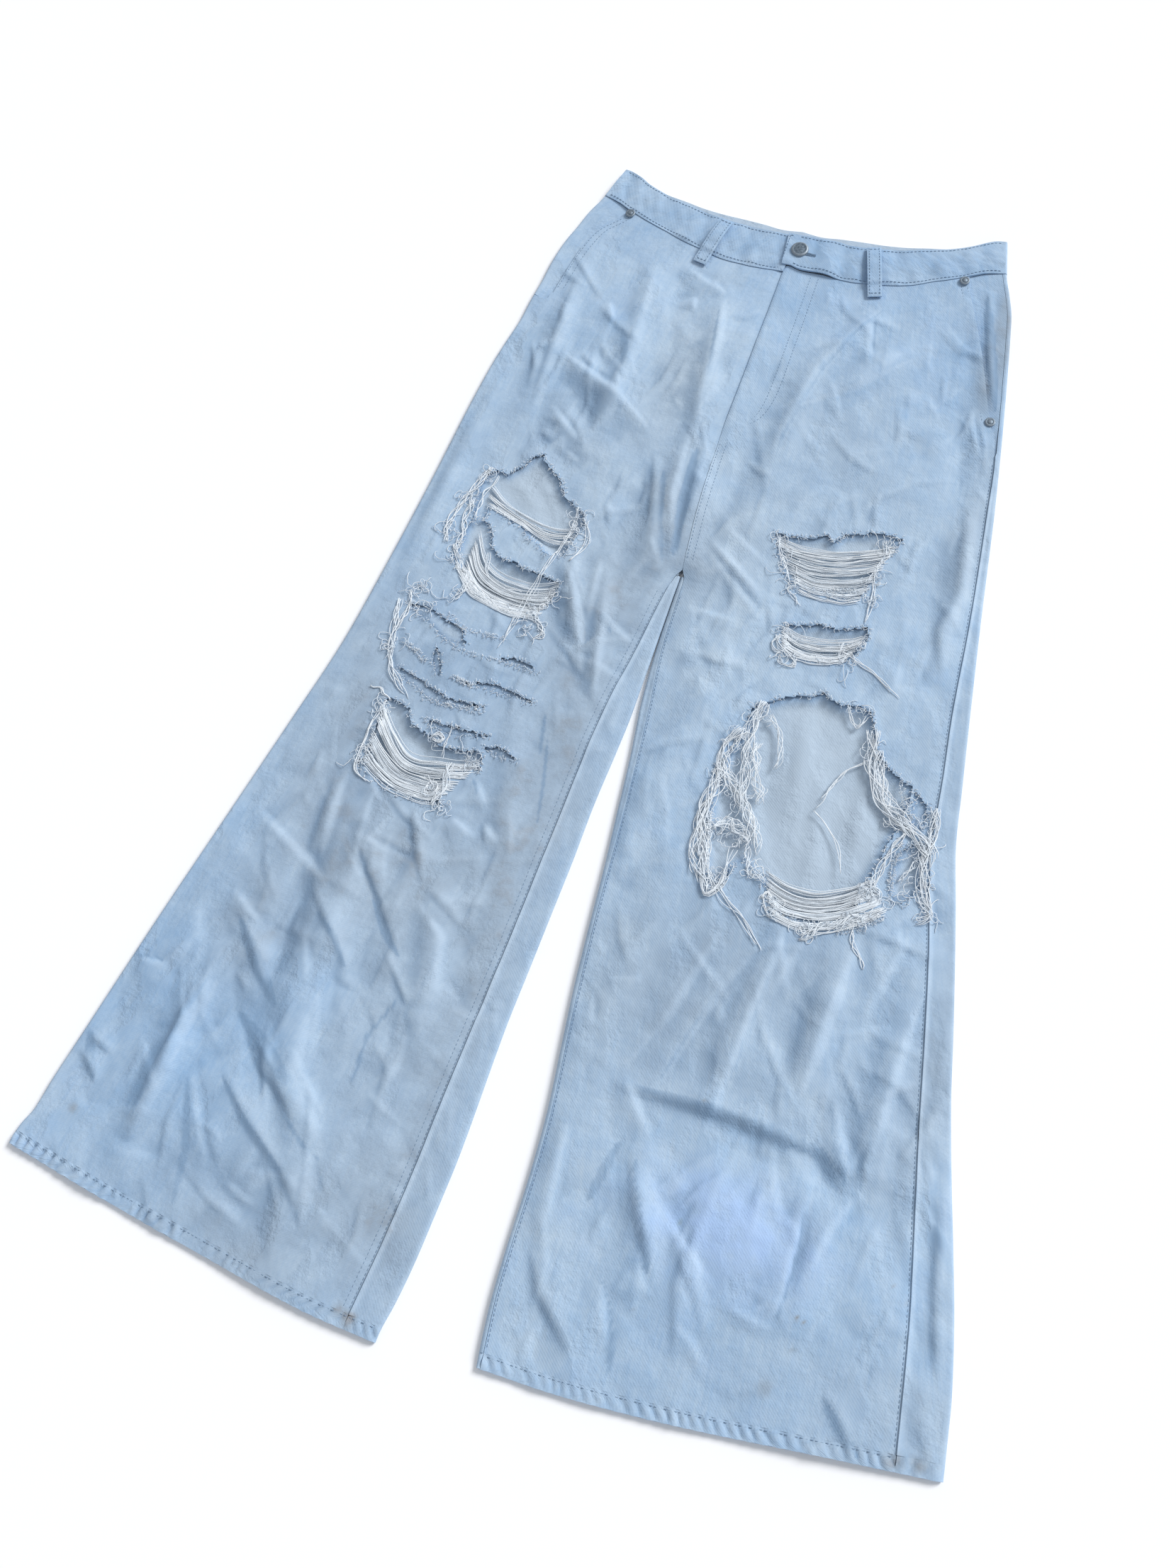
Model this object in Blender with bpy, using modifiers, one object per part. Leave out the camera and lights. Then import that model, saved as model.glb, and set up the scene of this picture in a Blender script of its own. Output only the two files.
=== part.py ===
"""Ripped straight-leg jeans, laid flat on their back with the front up.

Lengths are in metres. While the jeans are built, x is 0 on the middle line and grows towards
the wearer's left leg, and "down" is the distance below the highest corner of the waist.
"Away" is the distance from the middle line, on either leg. At the end the whole garment is
moved so that the origin lies under the middle of its outline, on the surface that it lies on.
"""
import math
from collections import namedtuple

import bmesh
import bpy
from mathutils import Vector
from mathutils.bvhtree import BVHTree

# Driving sizes
SEAM_GAP = 0.0003           # left between two pieces that are sewn together
CROTCH_DOWN = 0.420         # the four panels meet here
CROTCH_TURN = 0.006         # length over which the inner edges turn up round the legs
HEM_DEPTH = 0.011
PUFF = 0.0040               # how far the front rises over trapped air in the middle of a leg
FOLD_FADE = 0.018           # the front sinks to the side folds over this distance
LOWEST_FRONT = 0.0024       # the front's middle never comes nearer to the floor than this
WRAP_UNDER = 0.012          # the right front reaches this far round under the leg
SIDE_SEAM_INSET = 0.004     # the left side seam beside the pocket, in from the edge
POCKET_END = 0.235          # the left pocket facing ends here
FACING_LAP = 0.012          # a pocket facing runs on this far under the front
FACING_LEVEL = 0.0027       # height of its middle there
MOUTH_LAP = 0.001           # it is down at that height this far outside the pocket mouth

# Counts
PANEL_ROWS = 33
FOLD_STEPS = 3
FRONT_COLUMNS = 13
MIDDLE_PART = 0.06          # the part of a back beside the middle seam that has finer columns
BACK_COLUMNS = 4
FACING_COLUMNS = 4
PUCKERS = 31
STEPS_PER_PUCKER = 3
PUCKER_HEIGHT = 0.0006
STRAND_STEPS = 6
STRAND_SIDES = 3
STRAND_RADIUS = 0.0006

# One wall of cloth: its thickness, and the radius of its middle round a side fold
Cloth = namedtuple("Cloth", "wall radius")
DENIM = Cloth(0.0012, 0.0018)
HEM = Cloth(0.0020, 0.0014)
BAND = Cloth(0.0020, 0.0018)

# Outline of each leg: down, away. Inner edges count from the crotch on.
RIGHT_OUTER = (
    (0.003, 0.1905), (0.010, 0.1940), (0.020, 0.1970), (0.040, 0.2010), (0.060, 0.2090),
    (0.080, 0.2145), (0.100, 0.2205), (0.125, 0.2250), (0.150, 0.2270), (0.175, 0.2300),
    (0.200, 0.2320), (0.225, 0.2365), (0.250, 0.2405), (0.300, 0.2455), (0.400, 0.2525),
    (0.500, 0.2615), (0.570, 0.2695), (0.650, 0.2845), (0.750, 0.3040), (0.850, 0.3235),
    (0.950, 0.3415), (1.000, 0.3505), (1.025, 0.3540), (1.040, 0.3595), (1.056, 0.3620),
)
LEFT_OUTER = (
    (0.003, 0.1900), (0.010, 0.1945), (0.020, 0.1955), (0.040, 0.1980), (0.060, 0.2050),
    (0.080, 0.2115), (0.100, 0.2155), (0.150, 0.2240), (0.200, 0.2320), (0.250, 0.2395),
    (0.300, 0.2465), (0.400, 0.2590), (0.500, 0.2725), (0.550, 0.2795), (0.600, 0.2865),
    (0.650, 0.2985), (0.700, 0.3100), (0.750, 0.3210), (0.800, 0.3315), (0.850, 0.3440),
    (0.900, 0.3575), (0.950, 0.3705), (1.000, 0.3810), (1.025, 0.3845), (1.056, 0.3885),
)
RIGHT_INNER = (
    (0.000, 0.0003), (0.560, 0.0003), (0.600, 0.0020), (0.650, 0.0050), (0.700, 0.0060),
    (0.750, 0.0080), (0.800, 0.0100), (0.850, 0.0120), (0.950, 0.0125), (1.000, 0.0150),
    (1.040, 0.0175), (1.070, 0.0210), (1.090, 0.0245), (1.100, 0.0250),
)
LEFT_INNER = (
    (0.000, 0.0003), (0.460, 0.0004), (0.500, 0.0010), (0.550, 0.0040), (0.570, 0.0065),
    (0.600, 0.0105), (0.650, 0.0155), (0.700, 0.0205), (0.750, 0.0245), (0.800, 0.0290),
    (0.850, 0.0350), (0.900, 0.0410), (0.950, 0.0440), (1.000, 0.0450), (1.040, 0.0465),
    (1.070, 0.0495), (1.091, 0.0525),
)

# Seams that lie on the upper side: down, away
CENTRE_FRONT = (
    (0.078, -0.0045), (0.100, -0.0050), (0.200, -0.0060), (0.280, -0.0075), (0.360, -0.0050),
    (0.400, -0.0020), (CROTCH_DOWN, 0.0),
)
RIGHT_INSEAM = (
    (CROTCH_DOWN, 0.0002), (0.426, 0.0040), (0.450, 0.0090), (0.500, 0.0150), (0.550, 0.0220),
    (0.600, 0.0260), (0.700, 0.0300), (0.800, 0.0340), (0.900, 0.0390), (1.000, 0.0435),
    (1.100, 0.0520),
)
LEFT_INSEAM = (
    (CROTCH_DOWN, 0.0002), (0.426, 0.0036), (0.450, 0.0042), (0.500, 0.0060), (0.560, 0.0130),
    (0.600, 0.0170), (0.660, 0.0220), (0.740, 0.0275), (0.820, 0.0352), (0.900, 0.0446),
    (0.950, 0.0474), (1.000, 0.0484), (1.040, 0.0500), (1.092, 0.0560),
)
# The left front's outer edge is the pocket mouth, and the side seam below it
LEFT_SIDE = (
    (0.045, 0.1640), (0.062, 0.1680), (0.085, 0.1770), (0.105, 0.1850), (0.145, 0.2000),
    (0.180, 0.2120), (0.200, 0.2195), (0.220, 0.2265), (0.240, 0.2330), (0.290, 0.2385),
    (0.400, 0.2495), (0.490, 0.2560), (0.550, 0.2625), (0.600, 0.2670), (0.640, 0.2740),
    (0.680, 0.2840), (0.760, 0.3005), (0.840, 0.3155), (0.900, 0.3280), (0.960, 0.3400),
    (1.040, 0.3520), (1.060, 0.3550),
)
RIGHT_MOUTH = (
    (0.030, 0.1640), (0.060, 0.1750), (0.080, 0.1930), (0.105, 0.2020), (0.140, 0.2080),
    (0.162, 0.2115),
)
RIGHT_MOUTH_END = 0.1690    # the right mouth ends along the level line from here
RIGHT_MOUTH_CORNER = 0.2160

# Level lines from the outer fold (0) to the middle (1): part of the way across, down
RIGHT_WAIST = (
    (0.00, 0.0380), (0.10, 0.0440), (0.17, 0.0500), (0.30, 0.0600), (0.40, 0.0670),
    (0.50, 0.0740), (0.60, 0.0800), (0.70, 0.0855), (0.80, 0.0870), (0.90, 0.0870),
    (1.00, 0.0850),
)
LEFT_WAIST = (
    (0.00, 0.0390), (0.10, 0.0430), (0.15, 0.0470), (0.25, 0.0560), (0.35, 0.0640),
    (0.45, 0.0730), (0.55, 0.0780), (0.65, 0.0815), (0.75, 0.0830), (0.85, 0.0810),
    (0.95, 0.0815), (1.00, 0.0790),
)
RIGHT_HEM = (
    (0.00, 1.0560), (0.27, 1.0710), (0.54, 1.0840), (0.81, 1.0960), (1.00, 1.0995),
)
LEFT_HEM = (
    (0.00, 1.0550), (0.26, 1.0670), (0.53, 1.0800), (0.80, 1.0890), (1.00, 1.0910),
)
FRONT_BAND_TOP = (
    (0.00, 0.0030), (0.05, 0.0045), (0.10, 0.0090), (0.16, 0.0160), (0.26, 0.0240),
    (0.37, 0.0300), (0.47, 0.0350), (0.58, 0.0390), (0.68, 0.0415), (0.80, 0.0425),
    (1.00, 0.0430),
)
BACK_BAND_TOP = (
    (0.00, 0.0030), (0.05, 0.0035), (0.10, 0.0080), (0.16, 0.0140), (0.26, 0.0210),
    (0.37, 0.0250), (0.47, 0.0290), (0.58, 0.0315), (0.68, 0.0325), (0.80, 0.0340),
    (0.90, 0.0360), (1.00, 0.0340),
)

Leg = namedtuple("Leg", "side outer inner inseam waist hem")
RIGHT = Leg(-1, RIGHT_OUTER, RIGHT_INNER, RIGHT_INSEAM, RIGHT_WAIST, RIGHT_HEM)
LEFT = Leg(1, LEFT_OUTER, LEFT_INNER, LEFT_INSEAM, LEFT_WAIST, LEFT_HEM)

# Largest folds of the front: x and down of both ends, half width, height (a trough is negative)
FOLDS = (
    (-0.175, 0.230, -0.075, 0.288, 0.014, 0.0032),
    (-0.123, 0.110, -0.112, 0.200, 0.013, 0.0034),
    (-0.112, 0.200, -0.118, 0.320, 0.013, 0.0036),
    (-0.098, 0.120, -0.076, 0.250, 0.013, -0.0024),
    (-0.048, 0.130, -0.028, 0.290, 0.011, 0.0034),
    (-0.028, 0.300, -0.034, 0.410, 0.012, 0.0036),
    (-0.165, 0.280, -0.120, 0.325, 0.012, 0.0022),
    (-0.190, 0.110, -0.190, 0.300, 0.010, 0.0024),
    (-0.230, 0.280, -0.240, 0.480, 0.012, 0.0026),
    (-0.098, 0.440, -0.062, 0.520, 0.010, 0.0032),
    (-0.068, 0.430, -0.034, 0.560, 0.010, 0.0034),
    (-0.100, 0.570, -0.050, 0.760, 0.012, 0.0022),
    (-0.225, 0.690, -0.205, 0.900, 0.012, -0.0028),
    (-0.180, 0.700, -0.175, 0.900, 0.014, 0.0034),
    (-0.175, 0.900, -0.120, 1.020, 0.014, 0.0030),
    (-0.172, 0.755, -0.125, 0.810, 0.010, -0.0022),
    (-0.260, 0.870, -0.262, 1.040, 0.012, 0.0032),
    (-0.225, 0.895, -0.145, 0.985, 0.012, -0.0026),
    (-0.100, 0.760, -0.075, 0.880, 0.012, 0.0026),
    (-0.285, 0.780, -0.300, 0.960, 0.014, 0.0020),
    (0.095, 0.110, 0.062, 0.190, 0.012, 0.0030),
    (0.060, 0.190, 0.048, 0.310, 0.012, 0.0032),
    (0.128, 0.150, 0.070, 0.225, 0.013, 0.0030),
    (0.195, 0.200, 0.214, 0.290, 0.010, -0.0020),
    (0.228, 0.280, 0.234, 0.460, 0.010, 0.0030),
    (0.030, 0.280, 0.012, 0.400, 0.012, -0.0020),
    (0.070, 0.440, 0.040, 0.620, 0.016, 0.0026),
    (0.175, 0.710, 0.160, 0.850, 0.012, 0.0026),
    (0.228, 0.720, 0.222, 0.840, 0.012, 0.0034),
    (0.278, 0.690, 0.288, 0.880, 0.012, 0.0026),
    (0.075, 0.690, 0.060, 0.850, 0.016, 0.0022),
    (0.110, 0.866, 0.245, 0.870, 0.009, -0.0034),
    (0.245, 0.870, 0.262, 0.892, 0.009, -0.0028),
    (0.118, 0.900, 0.150, 0.985, 0.012, 0.0030),
    (0.270, 0.890, 0.262, 1.000, 0.012, 0.0028),
    (0.060, 1.000, 0.100, 1.060, 0.014, -0.0020),
    (0.200, 0.930, 0.225, 0.970, 0.026, 0.0028),
    (0.340, 0.880, 0.360, 0.980, 0.010, -0.0020),
)

# Rips that are cut through, each a ring of x, down
LEFT_RIPS = {
    "thigh window": (
        (0.069, 0.364), (0.095, 0.360), (0.113, 0.354), (0.133, 0.347), (0.150, 0.341),
        (0.176, 0.341), (0.169, 0.358), (0.161, 0.373), (0.159, 0.400), (0.153, 0.409),
        (0.125, 0.412), (0.103, 0.410), (0.089, 0.403), (0.076, 0.384),
    ),
    "lower thigh window": (
        (0.102, 0.447), (0.125, 0.441), (0.145, 0.440), (0.168, 0.434), (0.172, 0.442),
        (0.166, 0.460), (0.159, 0.473), (0.130, 0.476), (0.109, 0.472), (0.103, 0.460),
    ),
    "knee hole": (
        (0.096, 0.533), (0.106, 0.524), (0.124, 0.513), (0.144, 0.507), (0.150, 0.502),
        (0.170, 0.507), (0.193, 0.509), (0.203, 0.526), (0.214, 0.550), (0.229, 0.559),
        (0.242, 0.561), (0.256, 0.571), (0.261, 0.600), (0.265, 0.635), (0.256, 0.655),
        (0.242, 0.673), (0.220, 0.690), (0.195, 0.700), (0.165, 0.700), (0.145, 0.680),
        (0.129, 0.662), (0.122, 0.668), (0.114, 0.693), (0.102, 0.685), (0.092, 0.650),
        (0.085, 0.610), (0.088, 0.575), (0.098, 0.550),
    ),
}
RIGHT_RIPS = {
    "thigh window": (
        (-0.202, 0.374), (-0.192, 0.369), (-0.180, 0.360), (-0.171, 0.350), (-0.163, 0.341),
        (-0.154, 0.346), (-0.138, 0.360), (-0.126, 0.376), (-0.114, 0.385), (-0.099, 0.391),
        (-0.099, 0.400), (-0.108, 0.416), (-0.125, 0.419), (-0.150, 0.412), (-0.173, 0.401),
        (-0.193, 0.389),
    ),
    "hanging strip window": (
        (-0.199, 0.418), (-0.189, 0.420), (-0.179, 0.432), (-0.172, 0.446), (-0.158, 0.456),
        (-0.130, 0.460), (-0.100, 0.464), (-0.099, 0.476), (-0.106, 0.495), (-0.115, 0.509),
        (-0.130, 0.522), (-0.155, 0.526), (-0.176, 0.522), (-0.182, 0.503), (-0.184, 0.482),
        (-0.198, 0.472),
    ),
    "slot under the strip": (
        (-0.226, 0.516), (-0.205, 0.520), (-0.189, 0.526), (-0.172, 0.532), (-0.160, 0.543),
        (-0.173, 0.547), (-0.186, 0.544), (-0.199, 0.535), (-0.215, 0.527),
    ),
    "upper slit": (
        (-0.146, 0.575), (-0.120, 0.571), (-0.082, 0.5755), (-0.120, 0.5785),
    ),
    "middle slit": (
        (-0.208, 0.580), (-0.180, 0.587), (-0.160, 0.594), (-0.122, 0.595), (-0.160, 0.601),
        (-0.182, 0.597),
    ),
    "lower slit": (
        (-0.172, 0.619), (-0.140, 0.6195), (-0.108, 0.617), (-0.130, 0.6245), (-0.150, 0.6255),
    ),
    "knee window": (
        (-0.207, 0.612), (-0.195, 0.613), (-0.186, 0.624), (-0.178, 0.636), (-0.145, 0.641),
        (-0.110, 0.637), (-0.108, 0.652), (-0.131, 0.662), (-0.135, 0.682), (-0.125, 0.695),
        (-0.150, 0.692), (-0.180, 0.688), (-0.205, 0.677), (-0.208, 0.650),
    ),
}

# Torn threads: roots and free ends along straight lines (x, down at both ends), how far the
# strands bow to the side on their way, and how many there are
Fringe = namedtuple("Fringe", "name leg root_from root_to end_from end_to bow strands")
FRINGES = (
    Fringe("threads_left_thigh", LEFT, (0.0655, 0.3680), (0.0850, 0.4050),
           (0.1740, 0.3490), (0.1600, 0.4020), -0.004, 9),
    Fringe("threads_left_thigh_low", LEFT, (0.0995, 0.4480), (0.1000, 0.4720),
           (0.1680, 0.4380), (0.1600, 0.4690), -0.003, 6),
    Fringe("threads_left_knee_inner", LEFT, (0.0925, 0.5440), (0.0815, 0.5960),
           (0.1370, 0.6480), (0.1020, 0.6960), -0.012, 10),
    Fringe("threads_left_knee_outer", LEFT, (0.2000, 0.5170), (0.2180, 0.5290),
           (0.2190, 0.6000), (0.2600, 0.6180), 0.005, 9),
    Fringe("threads_left_knee_bridge", LEFT, (0.2600, 0.6610), (0.2440, 0.6790),
           (0.1560, 0.6700), (0.1700, 0.6990), 0.010, 9),
    Fringe("threads_right_thigh_side", RIGHT, (-0.2050, 0.3690), (-0.2150, 0.3730),
           (-0.1960, 0.4640), (-0.2060, 0.4660), 0.008, 6),
    Fringe("threads_right_thigh", RIGHT, (-0.0970, 0.4660), (-0.1040, 0.4960),
           (-0.1700, 0.4520), (-0.1850, 0.4860), 0.012, 7),
    Fringe("threads_right_slot_side", RIGHT, (-0.2360, 0.5120), (-0.2280, 0.5080),
           (-0.2170, 0.5930), (-0.2080, 0.5900), 0.003, 5),
    Fringe("threads_right_knee", RIGHT, (-0.2100, 0.6120), (-0.2120, 0.6520),
           (-0.1110, 0.6420), (-0.1370, 0.6860), -0.010, 12),
)
CUT_REACH = 0.03            # how far the cutters of the rips reach to both sides of the floor
STRIP_WIDTH = 0.0024
STRIP_WALL = 0.0012
STRIP_END = 0.001           # a strip goes on this far beyond its outer strands
STRIP_STEP = 0.004
STRAND_CLEARANCE = 0.0010
STRAND_WAVE = 0.0008

# Belt loops: x and down at the top middle and the bottom middle
LOOPS = {
    "belt_loop_right": ((-0.0725, 0.0440), (-0.0845, 0.0965)),
    "belt_loop_left": ((0.0715, 0.0415), (0.0865, 0.0955)),
}
LOOP_WIDTH = 0.0130
LOOP_WALL = 0.0014
LOOP_ROWS = 7
LOOP_CLEARANCE = 0.0005
LOOP_CROWN = 0.0004         # the middle of a loop stands this much higher than its edges

# Waistband ends: the left end laps over the right one
OVERLAP_END = (-0.0110, -0.0080)    # x at the top and at the bottom edge
# From the right end to the right front's edge: x at the top and at the bottom edge
UNDERLAP = ((0.0280, 0.0280), (0.0140, 0.0140), (-0.0030, -0.0044))
OVERLAP_RISE = 0.0026
OVERLAP_RAMP = 0.0500
UNDERLAP_BOTTOM = 0.0760
BAND_ROWS = 3
LONGEST_BAND_STEP = 0.1     # as part of the way across

# Metal: x, down
BUTTON_AT = (0.0045, 0.0610)
RIVETS = {
    "rivet_right_waist": (-0.1680, 0.0550),
    "rivet_left_waist": (0.1620, 0.0570),
    "rivet_left_side": (0.2200, 0.2030),
}
# Turned profiles from the rim's underside to the middle of the top: radius, height
BUTTON_PROFILE = (
    (0.0000, 0.0000), (0.0072, 0.0000), (0.0082, 0.0008), (0.0085, 0.0017), (0.0078, 0.0026),
    (0.0062, 0.0030), (0.0054, 0.0027), (0.0000, 0.0025),
)
RIVET_PROFILE = (
    (0.0000, 0.0000), (0.0046, 0.0000), (0.0047, 0.0006), (0.0038, 0.0013), (0.0024, 0.0012),
    (0.0016, 0.0018), (0.0000, 0.0020),
)


def smooth_step(value):
    value = min(1.0, max(0.0, value))
    return value * value * (3.0 - 2.0 * value)


def mix(low, high, part):
    return low + (high - low) * part


def along(table, at):
    """Read a two-column table on a smooth curve through its rows."""
    if at <= table[0][0]:
        return table[0][1]
    if at >= table[-1][0]:
        return table[-1][1]
    right = next(row for row in range(1, len(table)) if table[row][0] >= at)
    left = right - 1

    def slope(row):
        before = max(0, row - 1)
        after = min(len(table) - 1, row + 1)
        rise = table[after][1] - table[before][1]
        return rise / (table[after][0] - table[before][0])

    span = table[right][0] - table[left][0]
    part = (at - table[left][0]) / span
    square = part * part
    cube = square * part
    return (
        (2 * cube - 3 * square + 1) * table[left][1]
        + (cube - 2 * square + part) * span * slope(left)
        + (3 * square - 2 * cube) * table[right][1]
        + (cube - square) * span * slope(right)
    )


def level(leg, v, across):
    """Distance down at v, from the waist seam (0) to the hem (1)."""
    return mix(along(leg.waist, across), along(leg.hem, across), v)


def place(leg, v, across):
    """Away and down of the point that lies part of the way across the leg, from its outer edge."""
    down = level(leg, v, across)
    return mix(along(leg.outer, down), along(leg.inner, down), across), down


def across_at(leg, v, away_of_down):
    """Part of the way across at which the leg meets a line given as away for each down."""
    across = 0.5
    for _ in range(8):
        down = level(leg, v, across)
        outer = along(leg.outer, down)
        inner = along(leg.inner, down)
        across = (outer - away_of_down(down)) / (outer - inner)
    return across


def fold_height(x, down):
    """Height that the folds add at a point."""
    total = 0.0
    for x_from, down_from, x_to, down_to, half_width, height in FOLDS:
        run = Vector((x_to - x_from, down_to - down_from))
        offset = Vector((x - x_from, down - down_from))
        part = min(1.0, max(0.0, offset.dot(run) / run.length_squared))
        distance = (offset - run * part).length
        taper = mix(0.4, 1.0, math.sin(math.pi * part))
        total += height * taper * math.exp(-(distance / half_width) ** 2)
    return total


def top_height(leg, away, down, cloth):
    """Height of the upper layer's middle: the side folds' height, trapped air and folds."""
    base = cloth.wall / 2 + 2 * cloth.radius
    outer = along(leg.outer, down)
    inner = along(leg.inner, down)
    across = min(1.0, max(0.0, (outer - away) / (outer - inner)))
    in_leg = smooth_step((down - CROTCH_DOWN + 0.03) / 0.06)
    puff = mix(math.sin(math.pi / 2 * across), math.sin(math.pi * across), in_leg)
    puff *= smooth_step((down - 0.08) / 0.12) * smooth_step((1.09 - down) / 0.10)
    to_fold = outer - away
    if in_leg > 0:
        to_fold = min(to_fold, mix(FOLD_FADE, away - inner, in_leg))
    fade = smooth_step(to_fold / FOLD_FADE)
    height = base + fade * (PUFF * puff + fold_height(leg.side * away, down))
    return max(height, LOWEST_FRONT)


def run(leg, v, cloth, upper, columns):
    """Points across one layer of a leg, at the given parts of the way across."""
    points = []
    for across in columns:
        away, down = place(leg, v, across)
        height = top_height(leg, away, down, cloth) if upper else cloth.wall / 2
        points.append(Vector((leg.side * away, -down, height)))
    return points


def side_fold(leg, v, cloth, edge, rising):
    """Points between the two layers round a side fold; edge is 0 outside and 1 inside."""
    away, down = place(leg, v, edge)
    inward = 1 if edge else -1
    middle = away + inward * (cloth.wall / 2 + cloth.radius)
    points = []
    for step in range(1, FOLD_STEPS):
        angle = math.pi * (step / FOLD_STEPS - 0.5)
        x = middle - inward * cloth.radius * math.cos(angle)
        z = cloth.wall / 2 + cloth.radius * (1 + math.sin(angle))
        points.append(Vector((leg.side * x, -down, z)))
    return points if rising else points[::-1]


def tangent(leg, v, cloth, edge):
    """Part of the way across at which a side fold ends and the flat layer starts."""
    away, down = place(leg, v, edge)
    width = along(leg.outer, down) - along(leg.inner, down)
    inset = (cloth.wall / 2 + cloth.radius) / width
    return 1 - inset if edge else inset


def front_inner_edge(leg):
    """The front's inner edge: the fly and rise seam down to the crotch, then the inseam."""
    def away(down):
        if down < CROTCH_DOWN:
            return leg.side * along(CENTRE_FRONT, down) + SEAM_GAP / 2
        return along(leg.inseam, down) + SEAM_GAP / 2
    return away


def inset_share(leg, v, inset):
    """A distance in from the outer edge, as part of the way across."""
    _, down = place(leg, v, 0)
    return inset / (along(leg.outer, down) - along(leg.inner, down))


def spread(start, end, count):
    """Evenly spaced values from start to end."""
    return [mix(start, end, step / count) for step in range(count + 1)]


def right_front_row(v, cloth, columns):
    start = inset_share(RIGHT, v, WRAP_UNDER)
    bend = tangent(RIGHT, v, cloth, 0)
    end = across_at(RIGHT, v, front_inner_edge(RIGHT))
    row = run(RIGHT, v, cloth, False, [start, bend])
    row += side_fold(RIGHT, v, cloth, 0, True)
    return row + run(RIGHT, v, cloth, True, spread(bend, end, columns))


def left_front_row(v, cloth, columns):
    return run(LEFT, v, cloth, True, left_front_columns(v, columns))


def left_front_columns(v, columns):
    start = across_at(LEFT, v, left_side)
    end = across_at(LEFT, v, front_inner_edge(LEFT))
    return spread(start, end, columns)


def left_side(down):
    return along(LEFT_SIDE, down)


def left_seam(down):
    """The left back's outer edge: the side seam beside the pocket and below it."""
    if down < POCKET_END:
        return along(LEFT.outer, down) - SIDE_SEAM_INSET
    return along(LEFT_SIDE, down) + SEAM_GAP


def left_facing_columns(v):
    """Where the left pocket facing's columns lie: from the side seam to the pocket mouth."""
    start = across_at(LEFT, v, lambda down: left_seam(down) - SEAM_GAP)
    return spread(start, across_at(LEFT, v, left_side), FACING_COLUMNS)


def flat_back_columns(leg, v, start):
    """Where a back's columns lie above the crotch, from start to the middle seam."""
    end = across_at(leg, v, lambda down: SEAM_GAP / 2)
    flat_end = mix(end, start, MIDDLE_PART)
    return spread(start, flat_end, BACK_COLUMNS) + spread(flat_end, end, FOLD_STEPS + 1)[1:]


def back_inner_part(leg, v, cloth, start, turned):
    """The lower layer from start to the middle seam, or round the inner fold to the inseam."""
    if not turned:
        return run(leg, v, cloth, False, flat_back_columns(leg, v, start))
    bend = tangent(leg, v, cloth, 1)
    end = across_at(leg, v, lambda down: along(leg.inseam, down) - SEAM_GAP / 2)
    row = run(leg, v, cloth, False, spread(start, bend, BACK_COLUMNS))
    row += side_fold(leg, v, cloth, 1, True)
    return row + run(leg, v, cloth, True, [bend, end])


def right_back_row(v, cloth, turned):
    start = inset_share(RIGHT, v, WRAP_UNDER + SEAM_GAP)
    return back_inner_part(RIGHT, v, cloth, start, turned)


def left_back_row(v, cloth, turned):
    bend = tangent(LEFT, v, cloth, 0)
    start = across_at(LEFT, v, left_seam)
    row = run(LEFT, v, cloth, True, [start, bend])
    row += side_fold(LEFT, v, cloth, 0, False)
    return row + back_inner_part(LEFT, v, cloth, bend, turned)


def v_at(leg, down, across):
    """The v of a distance down at a part of the way across."""
    top = along(leg.waist, across)
    return (down - top) / (along(leg.hem, across) - top)


def panel_levels(leg, pocket_end):
    """v of every row of a panel, with rows where the pocket ends and where the crotch turns."""
    turn = v_at(leg, CROTCH_DOWN, 1)
    turned = v_at(leg, CROTCH_DOWN + CROTCH_TURN, 1)
    top = SEAM_GAP
    bottom = 1 - HEM_DEPTH - SEAM_GAP
    above = round(PANEL_ROWS * turn)
    levels = [mix(top, turn, step / above) for step in range(above + 1)]
    below = PANEL_ROWS - above
    levels += [mix(turned, bottom, step / below) for step in range(below + 1)]
    return sorted(levels + [v_at(leg, pocket_end, 0)]), turn


def paint(name, colour, roughness, metallic=0.0):
    """A plain material with one colour, given as red, green and blue."""
    material = bpy.data.materials.new(name)
    material.use_nodes = True
    shader = material.node_tree.nodes["Principled BSDF"]
    shader.inputs["Base Color"].default_value = (*colour, 1.0)
    shader.inputs["Roughness"].default_value = roughness
    shader.inputs["Metallic"].default_value = metallic
    material.diffuse_color = (*colour, 1.0)
    return material


class Workroom:
    """The collections, the garment's frame and the materials that every piece uses."""

    def __init__(self):
        for old in list(bpy.data.objects):
            bpy.data.objects.remove(old, do_unlink=True)
        self.garment = bpy.data.collections.new("ripped_jeans")
        self.cutters = bpy.data.collections.new("cutters")
        bpy.context.scene.collection.children.link(self.garment)
        bpy.context.scene.collection.children.link(self.cutters)
        self.frame = bpy.data.objects.new("jeans_frame", None)
        self.garment.objects.link(self.frame)
        self.denim = paint("denim", (0.43, 0.56, 0.73), 0.90)
        self.thread = paint("torn_thread", (0.66, 0.70, 0.76), 0.95)
        self.metal = paint("aged_metal", (0.28, 0.32, 0.38), 0.45, 0.8)

    def add(self, name, mesh, material):
        """Put a mesh in the garment as a named piece."""
        piece = bpy.data.objects.new(name, mesh)
        self.garment.objects.link(piece)
        piece.parent = self.frame
        mesh.materials.clear()
        mesh.materials.append(material)
        return piece

    def add_cutter(self, name, mesh):
        """Put a mesh in the garment's cutters, where it isn't part of the garment."""
        cutter = bpy.data.objects.new(name, mesh)
        self.cutters.objects.link(cutter)
        cutter.parent = self.frame
        cutter.hide_render = True
        cutter.display_type = "WIRE"
        return cutter


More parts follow.
